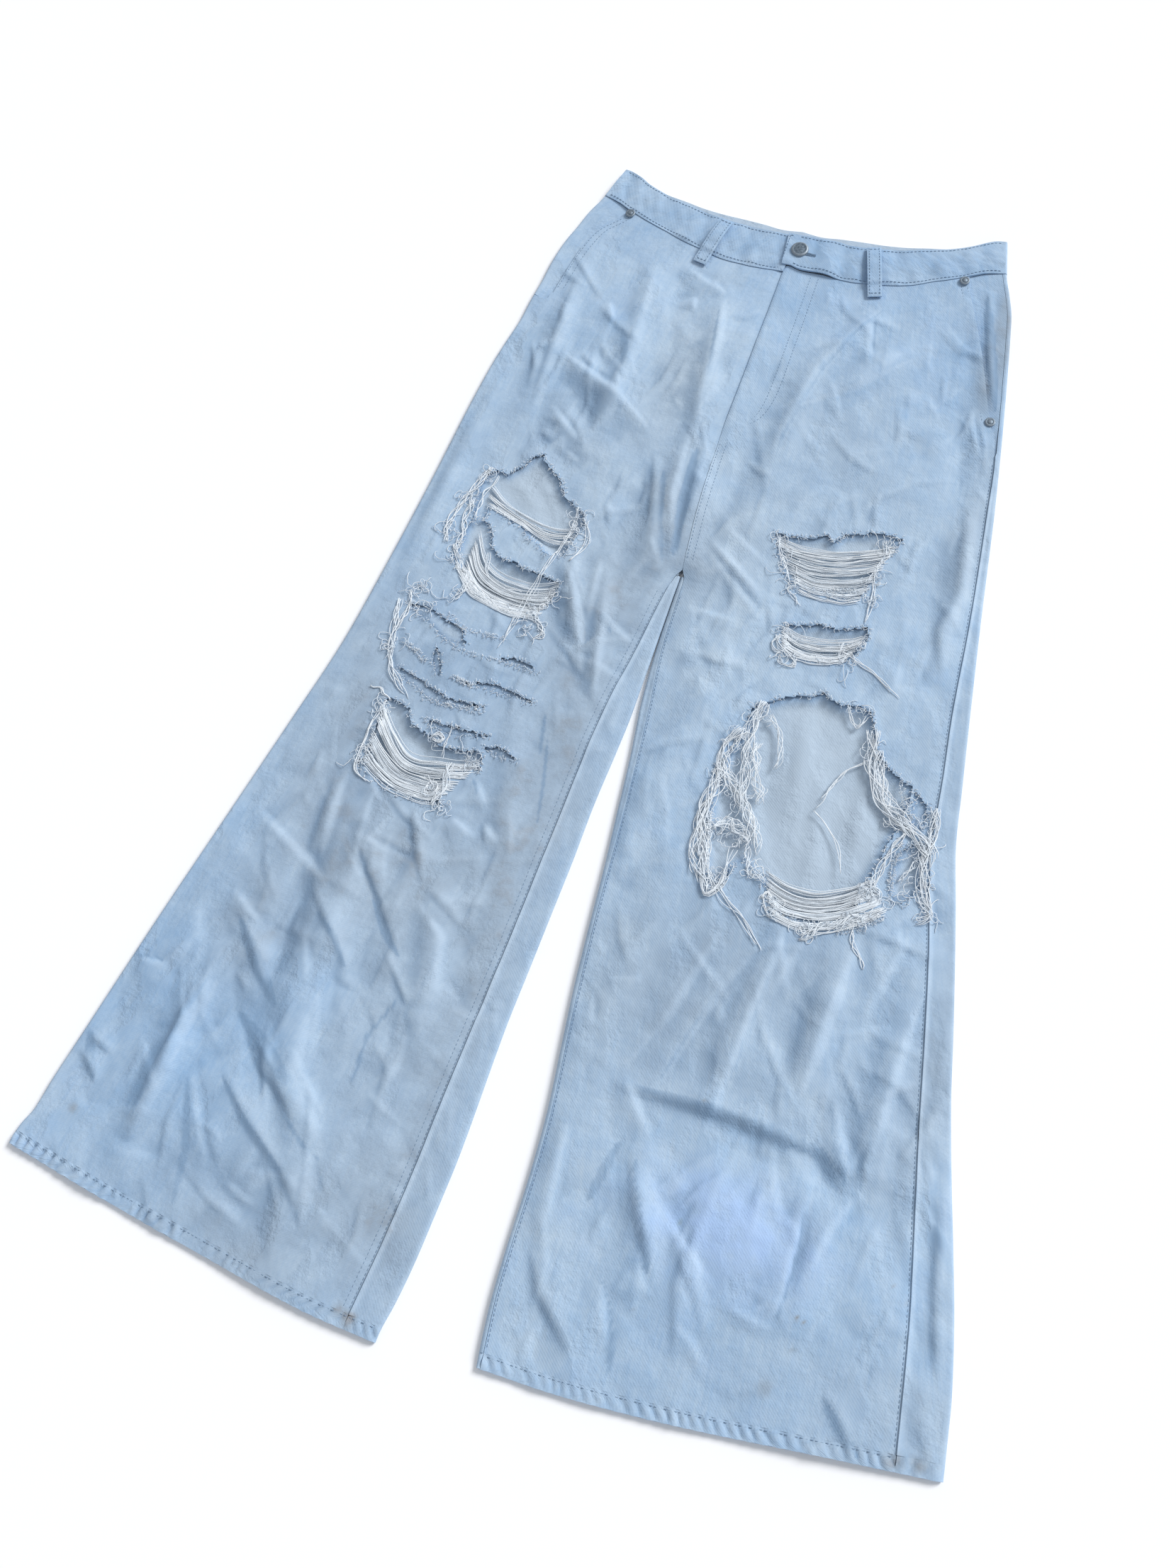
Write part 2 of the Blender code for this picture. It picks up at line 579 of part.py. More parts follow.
def loft(name, rows):
    """An open surface through rows of as many points each."""
    shell = bmesh.new()
    grid = [[shell.verts.new(point) for point in row] for row in rows]
    for upper, lower in zip(grid, grid[1:]):
        for column in range(len(upper) - 1):
            shell.faces.new((
                upper[column], upper[column + 1], lower[column + 1], lower[column],
            ))
    mesh = bpy.data.meshes.new(name)
    shell.to_mesh(mesh)
    shell.free()
    return mesh


def add_wall(room, name, rows, wall, material):
    """A piece of cloth: an open surface through its rows, with a wall round it."""
    piece = room.add(name, loft(name, rows), material)
    solidify = piece.modifiers.new("cloth wall", "SOLIDIFY")
    solidify.thickness = wall
    solidify.offset = 0.0
    solidify.use_even_offset = True
    return piece


def add_panels(room):
    """The two fronts and the two backs, from the waist seam to the hems."""
    levels, turn = panel_levels(RIGHT, RIGHT_MOUTH_END)
    rows = [right_front_row(v, DENIM, FRONT_COLUMNS) for v in levels]
    add_wall(room, "front_right", rows, DENIM.wall, room.denim)
    rows = [right_back_row(v, DENIM, v > turn) for v in levels]
    add_wall(room, "back_right", rows, DENIM.wall, room.denim)
    levels, turn = panel_levels(LEFT, POCKET_END)
    rows = [left_front_row(v, DENIM, FRONT_COLUMNS) for v in levels]
    add_wall(room, "front_left", rows, DENIM.wall, room.denim)
    rows = [left_back_row(v, DENIM, v > turn) for v in levels]
    add_wall(room, "back_left", rows, DENIM.wall, room.denim)


def add_hems(room):
    """Turned-up hems, in front with the puckers that their sewing pulls up."""
    columns = PUCKERS * STEPS_PER_PUCKER
    levels = [1 - (HEM_DEPTH - SEAM_GAP), 1.0]

    def pucker(row, crest):
        first = len(row) - columns
        for step in range(columns):
            turn = 2 * math.pi * (step + crest) / STEPS_PER_PUCKER
            row[first + step].z += PUCKER_HEIGHT * math.cos(turn)
        return row

    right_rows = [pucker(right_front_row(v, HEM, columns), at) for at, v in enumerate(levels)]
    left_rows = [pucker(left_front_row(v, HEM, columns), -at) for at, v in enumerate(levels)]
    add_wall(room, "hem_front_right", right_rows, HEM.wall, room.denim)
    add_wall(room, "hem_front_left", left_rows, HEM.wall, room.denim)
    right_rows = [right_back_row(v, HEM, True) for v in levels]
    left_rows = [left_back_row(v, HEM, True) for v in levels]
    add_wall(room, "hem_back_right", right_rows, HEM.wall, room.denim)
    add_wall(room, "hem_back_left", left_rows, HEM.wall, room.denim)


def add_facings(room):
    """Pocket facings: they show beside the pocket mouths and run on under the fronts."""
    def sloped(leg, v, columns, mouth):
        points = run(leg, v, DENIM, True, columns)
        for point in points:
            away = leg.side * point.x
            outer = along(leg.outer, -point.y)
            drop = smooth_step((outer - away) / max(outer - mouth(-point.y), MOUTH_LAP))
            point.z = mix(point.z, FACING_LEVEL, drop)
        return points

    rows = []
    last = v_at(LEFT, POCKET_END, 0)
    for v in [v for v in panel_levels(LEFT, POCKET_END)[0] if v < last]:
        end = across_at(LEFT, v, lambda down: left_side(down) - FACING_LAP)
        columns = left_facing_columns(v) + [end]
        rows.append(sloped(LEFT, v, columns, lambda down: left_side(down) + MOUTH_LAP))
    add_wall(room, "pocket_facing_left", rows, DENIM.wall, room.denim)

    def right_mouth(down):
        corner = smooth_step((down - RIGHT_MOUTH[-1][0]) / 0.008)
        return mix(along(RIGHT_MOUTH, down), RIGHT_MOUTH_CORNER, corner) + MOUTH_LAP

    rows = []
    last = v_at(RIGHT, RIGHT_MOUTH_END - 2 * SEAM_GAP, 0)
    for v in [v for v in panel_levels(RIGHT, RIGHT_MOUTH_END)[0] if v < last] + [last]:
        bend = tangent(RIGHT, v, DENIM, 0)
        end = across_at(RIGHT, v, lambda down: along(RIGHT_MOUTH, down) - FACING_LAP)
        row = run(RIGHT, v, DENIM, False, [inset_share(RIGHT, v, WRAP_UNDER), bend])
        row += side_fold(RIGHT, v, DENIM, 0, True)
        rows.append(row + sloped(RIGHT, v, spread(bend, end, FACING_COLUMNS), right_mouth))
    add_wall(room, "pocket_facing_right", rows, DENIM.wall, room.denim)


def outline_mesh(name, rings):
    """Closed flat outlines, raised to both sides of the garment's height as one mesh."""
    curve = bpy.data.curves.new(name, "CURVE")
    curve.dimensions = "2D"
    curve.fill_mode = "BOTH"
    curve.extrude = CUT_REACH
    for ring in rings:
        spline = curve.splines.new("POLY")
        spline.points.add(len(ring) - 1)
        for point, (x, down) in zip(spline.points, ring):
            point.co = (x, -down, 0.0, 1.0)
        spline.use_cyclic_u = True
    holder = bpy.data.objects.new(name, curve)
    bpy.context.scene.collection.objects.link(holder)
    graph = bpy.context.evaluated_depsgraph_get()
    mesh = bpy.data.meshes.new_from_object(holder.evaluated_get(graph))
    bpy.data.objects.remove(holder, do_unlink=True)
    cap = bmesh.new()
    cap.from_mesh(mesh)
    bmesh.ops.remove_doubles(cap, verts=cap.verts, dist=0.00001)
    bmesh.ops.recalc_face_normals(cap, faces=cap.faces)
    cap.to_mesh(mesh)
    cap.free()
    return mesh


def cut(piece, cutter):
    boolean = piece.modifiers.new(cutter.name, "BOOLEAN")
    boolean.operation = "DIFFERENCE"
    boolean.solver = "EXACT"
    boolean.object = cutter


def cut_rips(room):
    """Cut the rips through the fronts, and the right front back to its pocket mouth."""
    mouth = [(-away, down) for down, away in RIGHT_MOUTH]
    end = v_at(RIGHT, RIGHT_MOUTH_END, 0)
    corner = across_at(RIGHT, end, lambda down: RIGHT_MOUTH_CORNER)
    for across in (corner, corner / 2, 0):
        away, down = place(RIGHT, end, across)
        mouth.append((-away, down))
    mouth += [(-0.2600, RIGHT_MOUTH_END), (-0.2600, 0.020)]
    for name, rings in (
        ("front_left", list(LEFT_RIPS.values())),
        ("front_right", list(RIGHT_RIPS.values()) + [mouth]),
    ):
        mesh = outline_mesh(name + "_rips", rings)
        cut(bpy.data.objects[name], room.add_cutter(name + "_rips", mesh))


Station = namedtuple("Station", "layer leg across columns")


def band_stations():
    """Stations along the waistband from its right end, round the back, to its left end."""
    right_bend = tangent(RIGHT, 0, DENIM, 0)
    left_bend = tangent(LEFT, 0, DENIM, 0)
    right_end = across_at(RIGHT, 0, front_inner_edge(RIGHT))
    right_upper = spread(right_bend, right_end, FRONT_COLUMNS)
    left_upper = [left_bend] + left_facing_columns(0)[:-1]
    left_upper += left_front_columns(0, FRONT_COLUMNS)
    wrapped = inset_share(RIGHT, 0, WRAP_UNDER)
    right_lower = [right_bend, wrapped]
    right_lower += flat_back_columns(RIGHT, 0, inset_share(RIGHT, 0, WRAP_UNDER + SEAM_GAP))
    left_lower = flat_back_columns(LEFT, 0, left_bend)

    def lower(leg, columns):
        stations = []
        for across, following in zip(columns, columns[1:]):
            stations.append(Station("lower", leg, across, columns))
            if following - across > LONGEST_BAND_STEP:
                stations.append(Station("lower", leg, mix(across, following, 0.5), columns))
        return stations

    def folds(leg):
        return [Station("fold", leg, step, None) for step in range(1, FOLD_STEPS)]

    stations = [Station("under", RIGHT, at, None) for at in UNDERLAP]
    stations += [Station("upper", RIGHT, across, right_upper) for across in right_upper[::-1]]
    stations += folds(RIGHT)[::-1]
    stations += lower(RIGHT, right_lower)
    stations += [Station("lower", LEFT, 1.0, left_lower)]
    stations += lower(LEFT, left_lower)[::-1]
    stations += folds(LEFT)
    stations += [Station("upper", LEFT, across, left_upper) for across in left_upper]
    return stations + [Station("over", LEFT, left_upper[-1], left_upper)]


def on_waist_seam(leg, columns, across):
    """Away and down on the waist seam, which runs straight between a panel's columns."""
    across = min(max(across, columns[0]), columns[-1])
    after = next(at for at in range(1, len(columns)) if columns[at] >= across)
    part = (across - columns[after - 1]) / (columns[after] - columns[after - 1])
    from_away, from_down = place(leg, 0, columns[after - 1])
    to_away, to_down = place(leg, 0, columns[after])
    return mix(from_away, to_away, part), mix(from_down, to_down, part)


def band_point(station, part):
    """A point of the waistband's middle, part of the way from its top edge to its seam."""
    leg = station.leg
    base = BAND.wall / 2
    top = base + 2 * BAND.radius
    if station.layer == "under":
        down = mix(along(FRONT_BAND_TOP, 1), UNDERLAP_BOTTOM, part)
        return Vector((mix(*station.across, part), -down, top))
    top_line = BACK_BAND_TOP if station.layer == "lower" else FRONT_BAND_TOP
    across = 0 if station.layer == "fold" else station.across
    seam_away, seam_down = place(leg, 0, 0)
    if station.layer != "fold":
        seam_away, seam_down = on_waist_seam(leg, station.columns, across)
    top_away = along(leg.outer, along(top_line, 0)) * (1 - across)
    away = mix(top_away, seam_away, part)
    down = mix(along(top_line, across), seam_down, part)
    if station.layer == "fold":
        angle = math.pi * (station.across / FOLD_STEPS - 0.5)
        away -= base + BAND.radius * (1 - math.cos(angle))
        return Vector((leg.side * away, -down, base + BAND.radius * (1 + math.sin(angle))))
    if station.layer == "lower":
        return Vector((leg.side * away, -down, base))
    x = leg.side * away
    if station.layer == "over":
        x = mix(OVERLAP_END[0], OVERLAP_END[1], part)
    rise = OVERLAP_RISE * smooth_step((OVERLAP_RAMP - x) / 0.015) if leg is LEFT else 0
    return Vector((x, -down, top + rise))


def add_waistband(room):
    """One strip from the right end under the overlap, round the back, to the buttoned end."""
    stations = band_stations()
    rows = []
    for row in range(BAND_ROWS + 1):
        part = row / BAND_ROWS
        rows.append([band_point(station, part) for station in stations])
    add_wall(room, "waistband", rows, BAND.wall, room.denim)


class Surface:
    """The upper side of finished pieces, to lay other pieces on."""

    def __init__(self, names):
        graph = bpy.context.evaluated_depsgraph_get()
        self.trees = [BVHTree.FromObject(bpy.data.objects[name], graph) for name in names]

    def height(self, x, y, reach=0.0):
        """Highest point under a spot, or within reach of it."""
        found = []
        for step_x in (-reach, 0.0, reach):
            for step_y in (-reach, 0.0, reach):
                start = Vector((x + step_x, y + step_y, 0.2))
                for tree in self.trees:
                    hit = tree.ray_cast(start, Vector((0, 0, -1)))[0]
                    if hit is not None:
                        found.append(hit.z)
        return max(found)


def add_belt_loops(room):
    """Belt loops lie over the waistband and step down to the fronts under it."""
    surface = Surface(("waistband", "front_left", "front_right"))
    for name, (top, bottom) in LOOPS.items():
        direction = Vector((bottom[0] - top[0], top[1] - bottom[1])).normalized()
        half = Vector((-direction.y, direction.x)) * (LOOP_WIDTH / 2)
        rows = []
        for row in range(LOOP_ROWS + 1):
            part = row / LOOP_ROWS
            middle = Vector((mix(top[0], bottom[0], part), -mix(top[1], bottom[1], part)))
            below = surface.height(middle.x, middle.y, LOOP_WIDTH / 2)
            height = below + LOOP_CLEARANCE + LOOP_WALL / 2
            rows.append([
                Vector((*(middle + half), height)),
                Vector((*middle, height + LOOP_CROWN)),
                Vector((*(middle - half), height)),
            ])
        add_wall(room, name, rows, LOOP_WALL, room.denim)


def profile_mesh(name, profile):
    """The profile of a round piece, from its lower middle to its upper middle."""
    mesh = bpy.data.meshes.new(name)
    edges = [(at, at + 1) for at in range(len(profile) - 1)]
    mesh.from_pydata([(radius, 0, height) for radius, height in profile], edges, [])
    return mesh


def add_metal(room):
    """The waist button and the rivets, each seated on the cloth under it."""
    cloth = ("waistband", "front_left", "front_right", "back_left", "pocket_facing_left",
             "pocket_facing_right")
    surface = Surface(cloth)
    spots = [("waist_button", BUTTON_AT, BUTTON_PROFILE, 20)]
    spots += [(name, at, RIVET_PROFILE, 14) for name, at in RIVETS.items()]
    for name, (x, down), profile, steps in spots:
        piece = room.add(name, profile_mesh(name, profile), room.metal)
        reach = max(radius for radius, _ in profile)
        piece.location = (x, -down, surface.height(x, -down, reach) + SEAM_GAP)
        screw = piece.modifiers.new("turn", "SCREW")
        screw.steps = steps
        screw.render_steps = steps
        screw.use_merge_vertices = True
        screw.merge_threshold = 0.00005
        screw.use_normal_calculate = True


def strand_points(fringe, share, root_height):
    """Middle line of one strand, from its root in the strip to its free end."""
    root = Vector(fringe.root_from).lerp(Vector(fringe.root_to), share)
    end = Vector(fringe.end_from).lerp(Vector(fringe.end_to), share)
    across = Vector((root.y - end.y, end.x - root.x)).normalized()
    points = []
    for step in range(STRAND_STEPS + 1):
        part = step / STRAND_STEPS
        bow = fringe.bow * math.sin(math.pi * part)
        wave = STRAND_WAVE * math.sin(4 * math.pi * part)
        x, down = root.lerp(end, part) + across * (bow + wave)
        height = top_height(fringe.leg, fringe.leg.side * x, down, DENIM)
        height += DENIM.wall / 2 + STRAND_CLEARANCE + STRAND_RADIUS
        if step == 0:
            height = root_height(x, down)
        points.append(Vector((x, -down, height)))
    return points


def add_tube(shell, points):
    """A closed tube with few sides through a line of points."""
    rings = []
    for at, point in enumerate(points):
        before = points[max(0, at - 1)]
        after = points[min(len(points) - 1, at + 1)]
        ahead = (after - before).normalized()
        side = ahead.cross(Vector((0, 0, 1))).normalized()
        up = side.cross(ahead)
        ring = []
        for corner in range(STRAND_SIDES):
            angle = 2 * math.pi * corner / STRAND_SIDES + math.pi / 2
            offset = side * math.cos(angle) + up * math.sin(angle)
            ring.append(shell.verts.new(point + offset * STRAND_RADIUS))
        rings.append(ring)
    for ring, following in zip(rings, rings[1:]):
        for corner in range(STRAND_SIDES):
            after = (corner + 1) % STRAND_SIDES
            shell.faces.new((ring[corner], ring[after], following[after], following[corner]))
    shell.faces.new(rings[0][::-1])
    shell.faces.new(rings[-1])


def add_fringes(room):
    """Torn threads, rooted in narrow strips that lie on the cloth beside the rips."""
    surface = Surface(("front_left", "front_right", "back_left"))
    for fringe in FRINGES:
        start = Vector(fringe.root_from)
        finish = Vector(fringe.root_to)
        direction = (finish - start).normalized()
        start = start - direction * STRIP_END
        finish = finish + direction * STRIP_END
        stations = max(3, round((finish - start).length / STRIP_STEP))
        half = Vector((-direction.y, direction.x)) * (STRIP_WIDTH / 2)

        def strip_height(x, down):
            below = surface.height(x, -down, STRIP_WIDTH)
            return below + SEAM_GAP + STRIP_WALL / 2

        rows = []
        for station in range(stations + 1):
            middle = start.lerp(finish, station / stations)
            height = strip_height(middle.x, middle.y)
            left = middle + half
            right = middle - half
            rows.append([Vector((left.x, -left.y, height)), Vector((right.x, -right.y, height))])
        strip = add_wall(room, fringe.name, rows, STRIP_WALL, room.thread)

        shell = bmesh.new()
        for strand in range(fringe.strands):
            share = strand / (fringe.strands - 1)
            add_tube(shell, strand_points(fringe, share, strip_height))
        bmesh.ops.recalc_face_normals(shell, faces=shell.faces)
        mesh = bpy.data.meshes.new(fringe.name + "_strands")
        shell.to_mesh(mesh)
        shell.free()
        boolean = strip.modifiers.new("strands", "BOOLEAN")
        boolean.operation = "UNION"
        boolean.solver = "EXACT"
        boolean.object = room.add_cutter(fringe.name + "_strands", mesh)


def centre_on_floor(room):
    """Move the garment so that the origin lies under the middle of its outline."""
    bpy.context.view_layer.update()
    graph = bpy.context.evaluated_depsgraph_get()
    corners = []
    for piece in room.garment.objects:
        if piece.type == "MESH":
            evaluated = piece.evaluated_get(graph)
            corners += [evaluated.matrix_world @ Vector(corner) for corner in evaluated.bound_box]
    middle_x, middle_y = (
        (min(corner[axis] for corner in corners) + max(corner[axis] for corner in corners)) / 2
        for axis in (0, 1)
    )
    lowest = min(corner.z for corner in corners)
    room.frame.location = (-middle_x, -middle_y, -lowest)
    bpy.context.view_layer.update()


def main():
    room = Workroom()
    add_panels(room)
    add_hems(room)
    add_facings(room)
    cut_rips(room)
    add_waistband(room)
    add_belt_loops(room)
    add_metal(room)
    add_fringes(room)
    centre_on_floor(room)


main()
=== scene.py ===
"""Ripped jeans laid flat: worn pale denim, torn threads, sewing and metal.

Lengths are in metres. Tables give places on the flat garment as x, which is 0 on the middle line
and grows towards the wearer's left leg, and down, the distance below the waist's highest corner.
"""
import math
from collections import namedtuple

import bpy
import numpy as np
from mathutils import Matrix, Vector, geometry


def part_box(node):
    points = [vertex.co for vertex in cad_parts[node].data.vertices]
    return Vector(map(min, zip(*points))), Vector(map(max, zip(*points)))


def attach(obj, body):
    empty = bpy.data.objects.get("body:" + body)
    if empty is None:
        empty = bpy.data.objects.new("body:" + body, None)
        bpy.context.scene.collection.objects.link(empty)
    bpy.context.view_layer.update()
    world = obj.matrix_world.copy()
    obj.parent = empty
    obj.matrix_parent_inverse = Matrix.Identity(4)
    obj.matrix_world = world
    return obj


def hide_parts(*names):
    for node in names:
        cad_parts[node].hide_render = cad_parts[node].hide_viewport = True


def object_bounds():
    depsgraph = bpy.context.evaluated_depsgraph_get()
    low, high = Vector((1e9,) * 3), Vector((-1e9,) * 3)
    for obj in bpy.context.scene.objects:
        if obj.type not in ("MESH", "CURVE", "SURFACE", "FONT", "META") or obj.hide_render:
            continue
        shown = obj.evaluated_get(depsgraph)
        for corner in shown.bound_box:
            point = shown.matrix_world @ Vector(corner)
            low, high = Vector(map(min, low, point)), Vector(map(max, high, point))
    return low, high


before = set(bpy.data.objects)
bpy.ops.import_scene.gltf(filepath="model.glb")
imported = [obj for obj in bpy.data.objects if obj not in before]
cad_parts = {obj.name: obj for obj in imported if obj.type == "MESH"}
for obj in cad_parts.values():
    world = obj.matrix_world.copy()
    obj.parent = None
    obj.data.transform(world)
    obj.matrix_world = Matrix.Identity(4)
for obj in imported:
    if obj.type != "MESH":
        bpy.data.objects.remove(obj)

CAD_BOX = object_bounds()

# The garment's own sizes, as its solids have them
SEAM_GAP = 0.0003
CROTCH_DOWN = 0.420
CROTCH_TURN = 0.006
HEM_DEPTH = 0.011
PUFF = 0.0040
FOLD_FADE = 0.018
LOWEST_FRONT = 0.0024
WRAP_UNDER = 0.012
SIDE_SEAM_INSET = 0.004
POCKET_END = 0.235
FACING_LAP = 0.012
FACING_LEVEL = 0.0027
BUTTON_AT = (0.0045, 0.0610)

Cloth = namedtuple("Cloth", "wall radius")
DENIM = Cloth(0.0012, 0.0018)
HEM = Cloth(0.0020, 0.0014)
BAND = Cloth(0.0020, 0.0018)

# Outlines: down, away from the middle line
RIGHT_OUTER = (
    (0.003, 0.1905), (0.01, 0.194), (0.02, 0.197), (0.04, 0.201), (0.06, 0.209), (0.08, 0.2145),
    (0.1, 0.2205), (0.125, 0.225), (0.15, 0.227), (0.175, 0.23), (0.2, 0.232), (0.225, 0.2365),
    (0.25, 0.2405), (0.3, 0.2455), (0.4, 0.2525), (0.5, 0.2615), (0.57, 0.2695), (0.65, 0.2845),
    (0.75, 0.304), (0.85, 0.3235), (0.95, 0.3415), (1.0, 0.3505), (1.025, 0.354), (1.04, 0.3595),
    (1.056, 0.362),
)
LEFT_OUTER = (
    (0.003, 0.19), (0.01, 0.1945), (0.02, 0.1955), (0.04, 0.198), (0.06, 0.205), (0.08, 0.2115),
    (0.1, 0.2155), (0.15, 0.224), (0.2, 0.232), (0.25, 0.2395), (0.3, 0.2465), (0.4, 0.259),
    (0.5, 0.2725), (0.55, 0.2795), (0.6, 0.2865), (0.65, 0.2985), (0.7, 0.31), (0.75, 0.321),
    (0.8, 0.3315), (0.85, 0.344), (0.9, 0.3575), (0.95, 0.3705), (1.0, 0.381), (1.025, 0.3845),
    (1.056, 0.3885),
)
RIGHT_INNER = (
    (0.0, 0.0003), (0.56, 0.0003), (0.6, 0.002), (0.65, 0.005), (0.7, 0.006), (0.75, 0.008),
    (0.8, 0.01), (0.85, 0.012), (0.95, 0.0125), (1.0, 0.015), (1.04, 0.0175), (1.07, 0.021),
    (1.09, 0.0245), (1.1, 0.025),
)
LEFT_INNER = (
    (0.0, 0.0003), (0.46, 0.0004), (0.5, 0.001), (0.55, 0.004), (0.57, 0.0065), (0.6, 0.0105),
    (0.65, 0.0155), (0.7, 0.0205), (0.75, 0.0245), (0.8, 0.029), (0.85, 0.035), (0.9, 0.041),
    (0.95, 0.044), (1.0, 0.045), (1.04, 0.0465), (1.07, 0.0495), (1.091, 0.0525),
)
CENTRE_FRONT = (
    (0.078, -0.0045), (0.1, -0.005), (0.2, -0.006), (0.28, -0.0075), (0.36, -0.005), (0.4, -0.002),
    (CROTCH_DOWN, 0.0),
)
RIGHT_INSEAM = (
    (CROTCH_DOWN, 0.0002), (0.426, 0.004), (0.45, 0.009), (0.5, 0.015), (0.55, 0.022), (0.6, 0.026),
    (0.7, 0.03), (0.8, 0.034), (0.9, 0.039), (1.0, 0.0435), (1.1, 0.052),
)
LEFT_INSEAM = (
    (CROTCH_DOWN, 0.0002), (0.426, 0.0036), (0.45, 0.0042), (0.5, 0.006), (0.56, 0.013),
    (0.6, 0.017), (0.66, 0.022), (0.74, 0.0275), (0.82, 0.0352), (0.9, 0.0446), (0.95, 0.0474),
    (1.0, 0.0484), (1.04, 0.05), (1.092, 0.056),
)
LEFT_SIDE = (
    (0.045, 0.164), (0.062, 0.168), (0.085, 0.177), (0.105, 0.185), (0.145, 0.2), (0.18, 0.212),
    (0.2, 0.2195), (0.22, 0.2265), (0.24, 0.233), (0.29, 0.2385), (0.4, 0.2495), (0.49, 0.256),
    (0.55, 0.2625), (0.6, 0.267), (0.64, 0.274), (0.68, 0.284), (0.76, 0.3005), (0.84, 0.3155),
    (0.9, 0.328), (0.96, 0.34), (1.04, 0.352), (1.06, 0.355),
)
RIGHT_MOUTH = (
    (0.03, 0.164), (0.06, 0.175), (0.08, 0.193), (0.105, 0.202), (0.14, 0.208), (0.162, 0.2115),
)
RIGHT_MOUTH_END = 0.1690
RIGHT_MOUTH_CORNER = 0.2160

# Level lines from the outer fold (0) to the middle (1): part of the way across, down
RIGHT_WAIST = (
    (0.0, 0.038), (0.1, 0.044), (0.17, 0.05), (0.3, 0.06), (0.4, 0.067), (0.5, 0.074), (0.6, 0.08),
    (0.7, 0.0855), (0.8, 0.087), (0.9, 0.087), (1.0, 0.085),
)
LEFT_WAIST = (
    (0.0, 0.039), (0.1, 0.043), (0.15, 0.047), (0.25, 0.056), (0.35, 0.064), (0.45, 0.073),
    (0.55, 0.078), (0.65, 0.0815), (0.75, 0.083), (0.85, 0.081), (0.95, 0.0815), (1.0, 0.079),
)
RIGHT_HEM = (
    (0.0, 1.056), (0.27, 1.071), (0.54, 1.084), (0.81, 1.096), (1.0, 1.0995),
)
LEFT_HEM = (
    (0.0, 1.055), (0.26, 1.067), (0.53, 1.08), (0.8, 1.089), (1.0, 1.091),
)
FRONT_BAND_TOP = (
    (0.0, 0.003), (0.05, 0.0045), (0.1, 0.009), (0.16, 0.016), (0.26, 0.024), (0.37, 0.03),
    (0.47, 0.035), (0.58, 0.039), (0.68, 0.0415), (0.8, 0.0425), (1.0, 0.043),
)
BACK_BAND_TOP = (
    (0.0, 0.003), (0.05, 0.0035), (0.1, 0.008), (0.16, 0.014), (0.26, 0.021), (0.37, 0.025),
    (0.47, 0.029), (0.58, 0.0315), (0.68, 0.0325), (0.8, 0.034), (0.9, 0.036), (1.0, 0.034),
)

Leg = namedtuple("Leg", "side outer inner inseam waist hem")
RIGHT = Leg(-1, RIGHT_OUTER, RIGHT_INNER, RIGHT_INSEAM, RIGHT_WAIST, RIGHT_HEM)
LEFT = Leg(1, LEFT_OUTER, LEFT_INNER, LEFT_INSEAM, LEFT_WAIST, LEFT_HEM)

# Largest folds, as in the solids: x and down of both ends, half width, height
FOLDS = (
    (-0.175, 0.23, -0.075, 0.288, 0.014, 0.0032), (-0.123, 0.11, -0.112, 0.2, 0.013, 0.0034),
    (-0.112, 0.2, -0.118, 0.32, 0.013, 0.0036), (-0.098, 0.12, -0.076, 0.25, 0.013, -0.0024),
    (-0.048, 0.13, -0.028, 0.29, 0.011, 0.0034), (-0.028, 0.3, -0.034, 0.41, 0.012, 0.0036),
    (-0.165, 0.28, -0.12, 0.325, 0.012, 0.0022), (-0.19, 0.11, -0.19, 0.3, 0.01, 0.0024),
    (-0.23, 0.28, -0.24, 0.48, 0.012, 0.0026), (-0.098, 0.44, -0.062, 0.52, 0.01, 0.0032),
    (-0.068, 0.43, -0.034, 0.56, 0.01, 0.0034), (-0.1, 0.57, -0.05, 0.76, 0.012, 0.0022),
    (-0.225, 0.69, -0.205, 0.9, 0.012, -0.0028), (-0.18, 0.7, -0.175, 0.9, 0.014, 0.0034),
    (-0.175, 0.9, -0.12, 1.02, 0.014, 0.003), (-0.172, 0.755, -0.125, 0.81, 0.01, -0.0022),
    (-0.26, 0.87, -0.262, 1.04, 0.012, 0.0032), (-0.225, 0.895, -0.145, 0.985, 0.012, -0.0026),
    (-0.1, 0.76, -0.075, 0.88, 0.012, 0.0026), (-0.285, 0.78, -0.3, 0.96, 0.014, 0.002),
    (0.095, 0.11, 0.062, 0.19, 0.012, 0.003), (0.06, 0.19, 0.048, 0.31, 0.012, 0.0032),
    (0.128, 0.15, 0.07, 0.225, 0.013, 0.003), (0.195, 0.2, 0.214, 0.29, 0.01, -0.002),
    (0.228, 0.28, 0.234, 0.46, 0.01, 0.003), (0.03, 0.28, 0.012, 0.4, 0.012, -0.002),
    (0.07, 0.44, 0.04, 0.62, 0.016, 0.0026), (0.175, 0.71, 0.16, 0.85, 0.012, 0.0026),
    (0.228, 0.72, 0.222, 0.84, 0.012, 0.0034), (0.278, 0.69, 0.288, 0.88, 0.012, 0.0026),
    (0.075, 0.69, 0.06, 0.85, 0.016, 0.0022), (0.11, 0.866, 0.245, 0.87, 0.009, -0.0012),
    (0.245, 0.87, 0.262, 0.892, 0.009, -0.0028), (0.118, 0.9, 0.15, 0.985, 0.012, 0.003),
    (0.27, 0.89, 0.262, 1.0, 0.012, 0.0028), (0.06, 1.0, 0.1, 1.06, 0.014, -0.002),
    (0.2, 0.93, 0.225, 0.97, 0.026, 0.0028), (0.34, 0.88, 0.36, 0.98, 0.01, -0.002),
)

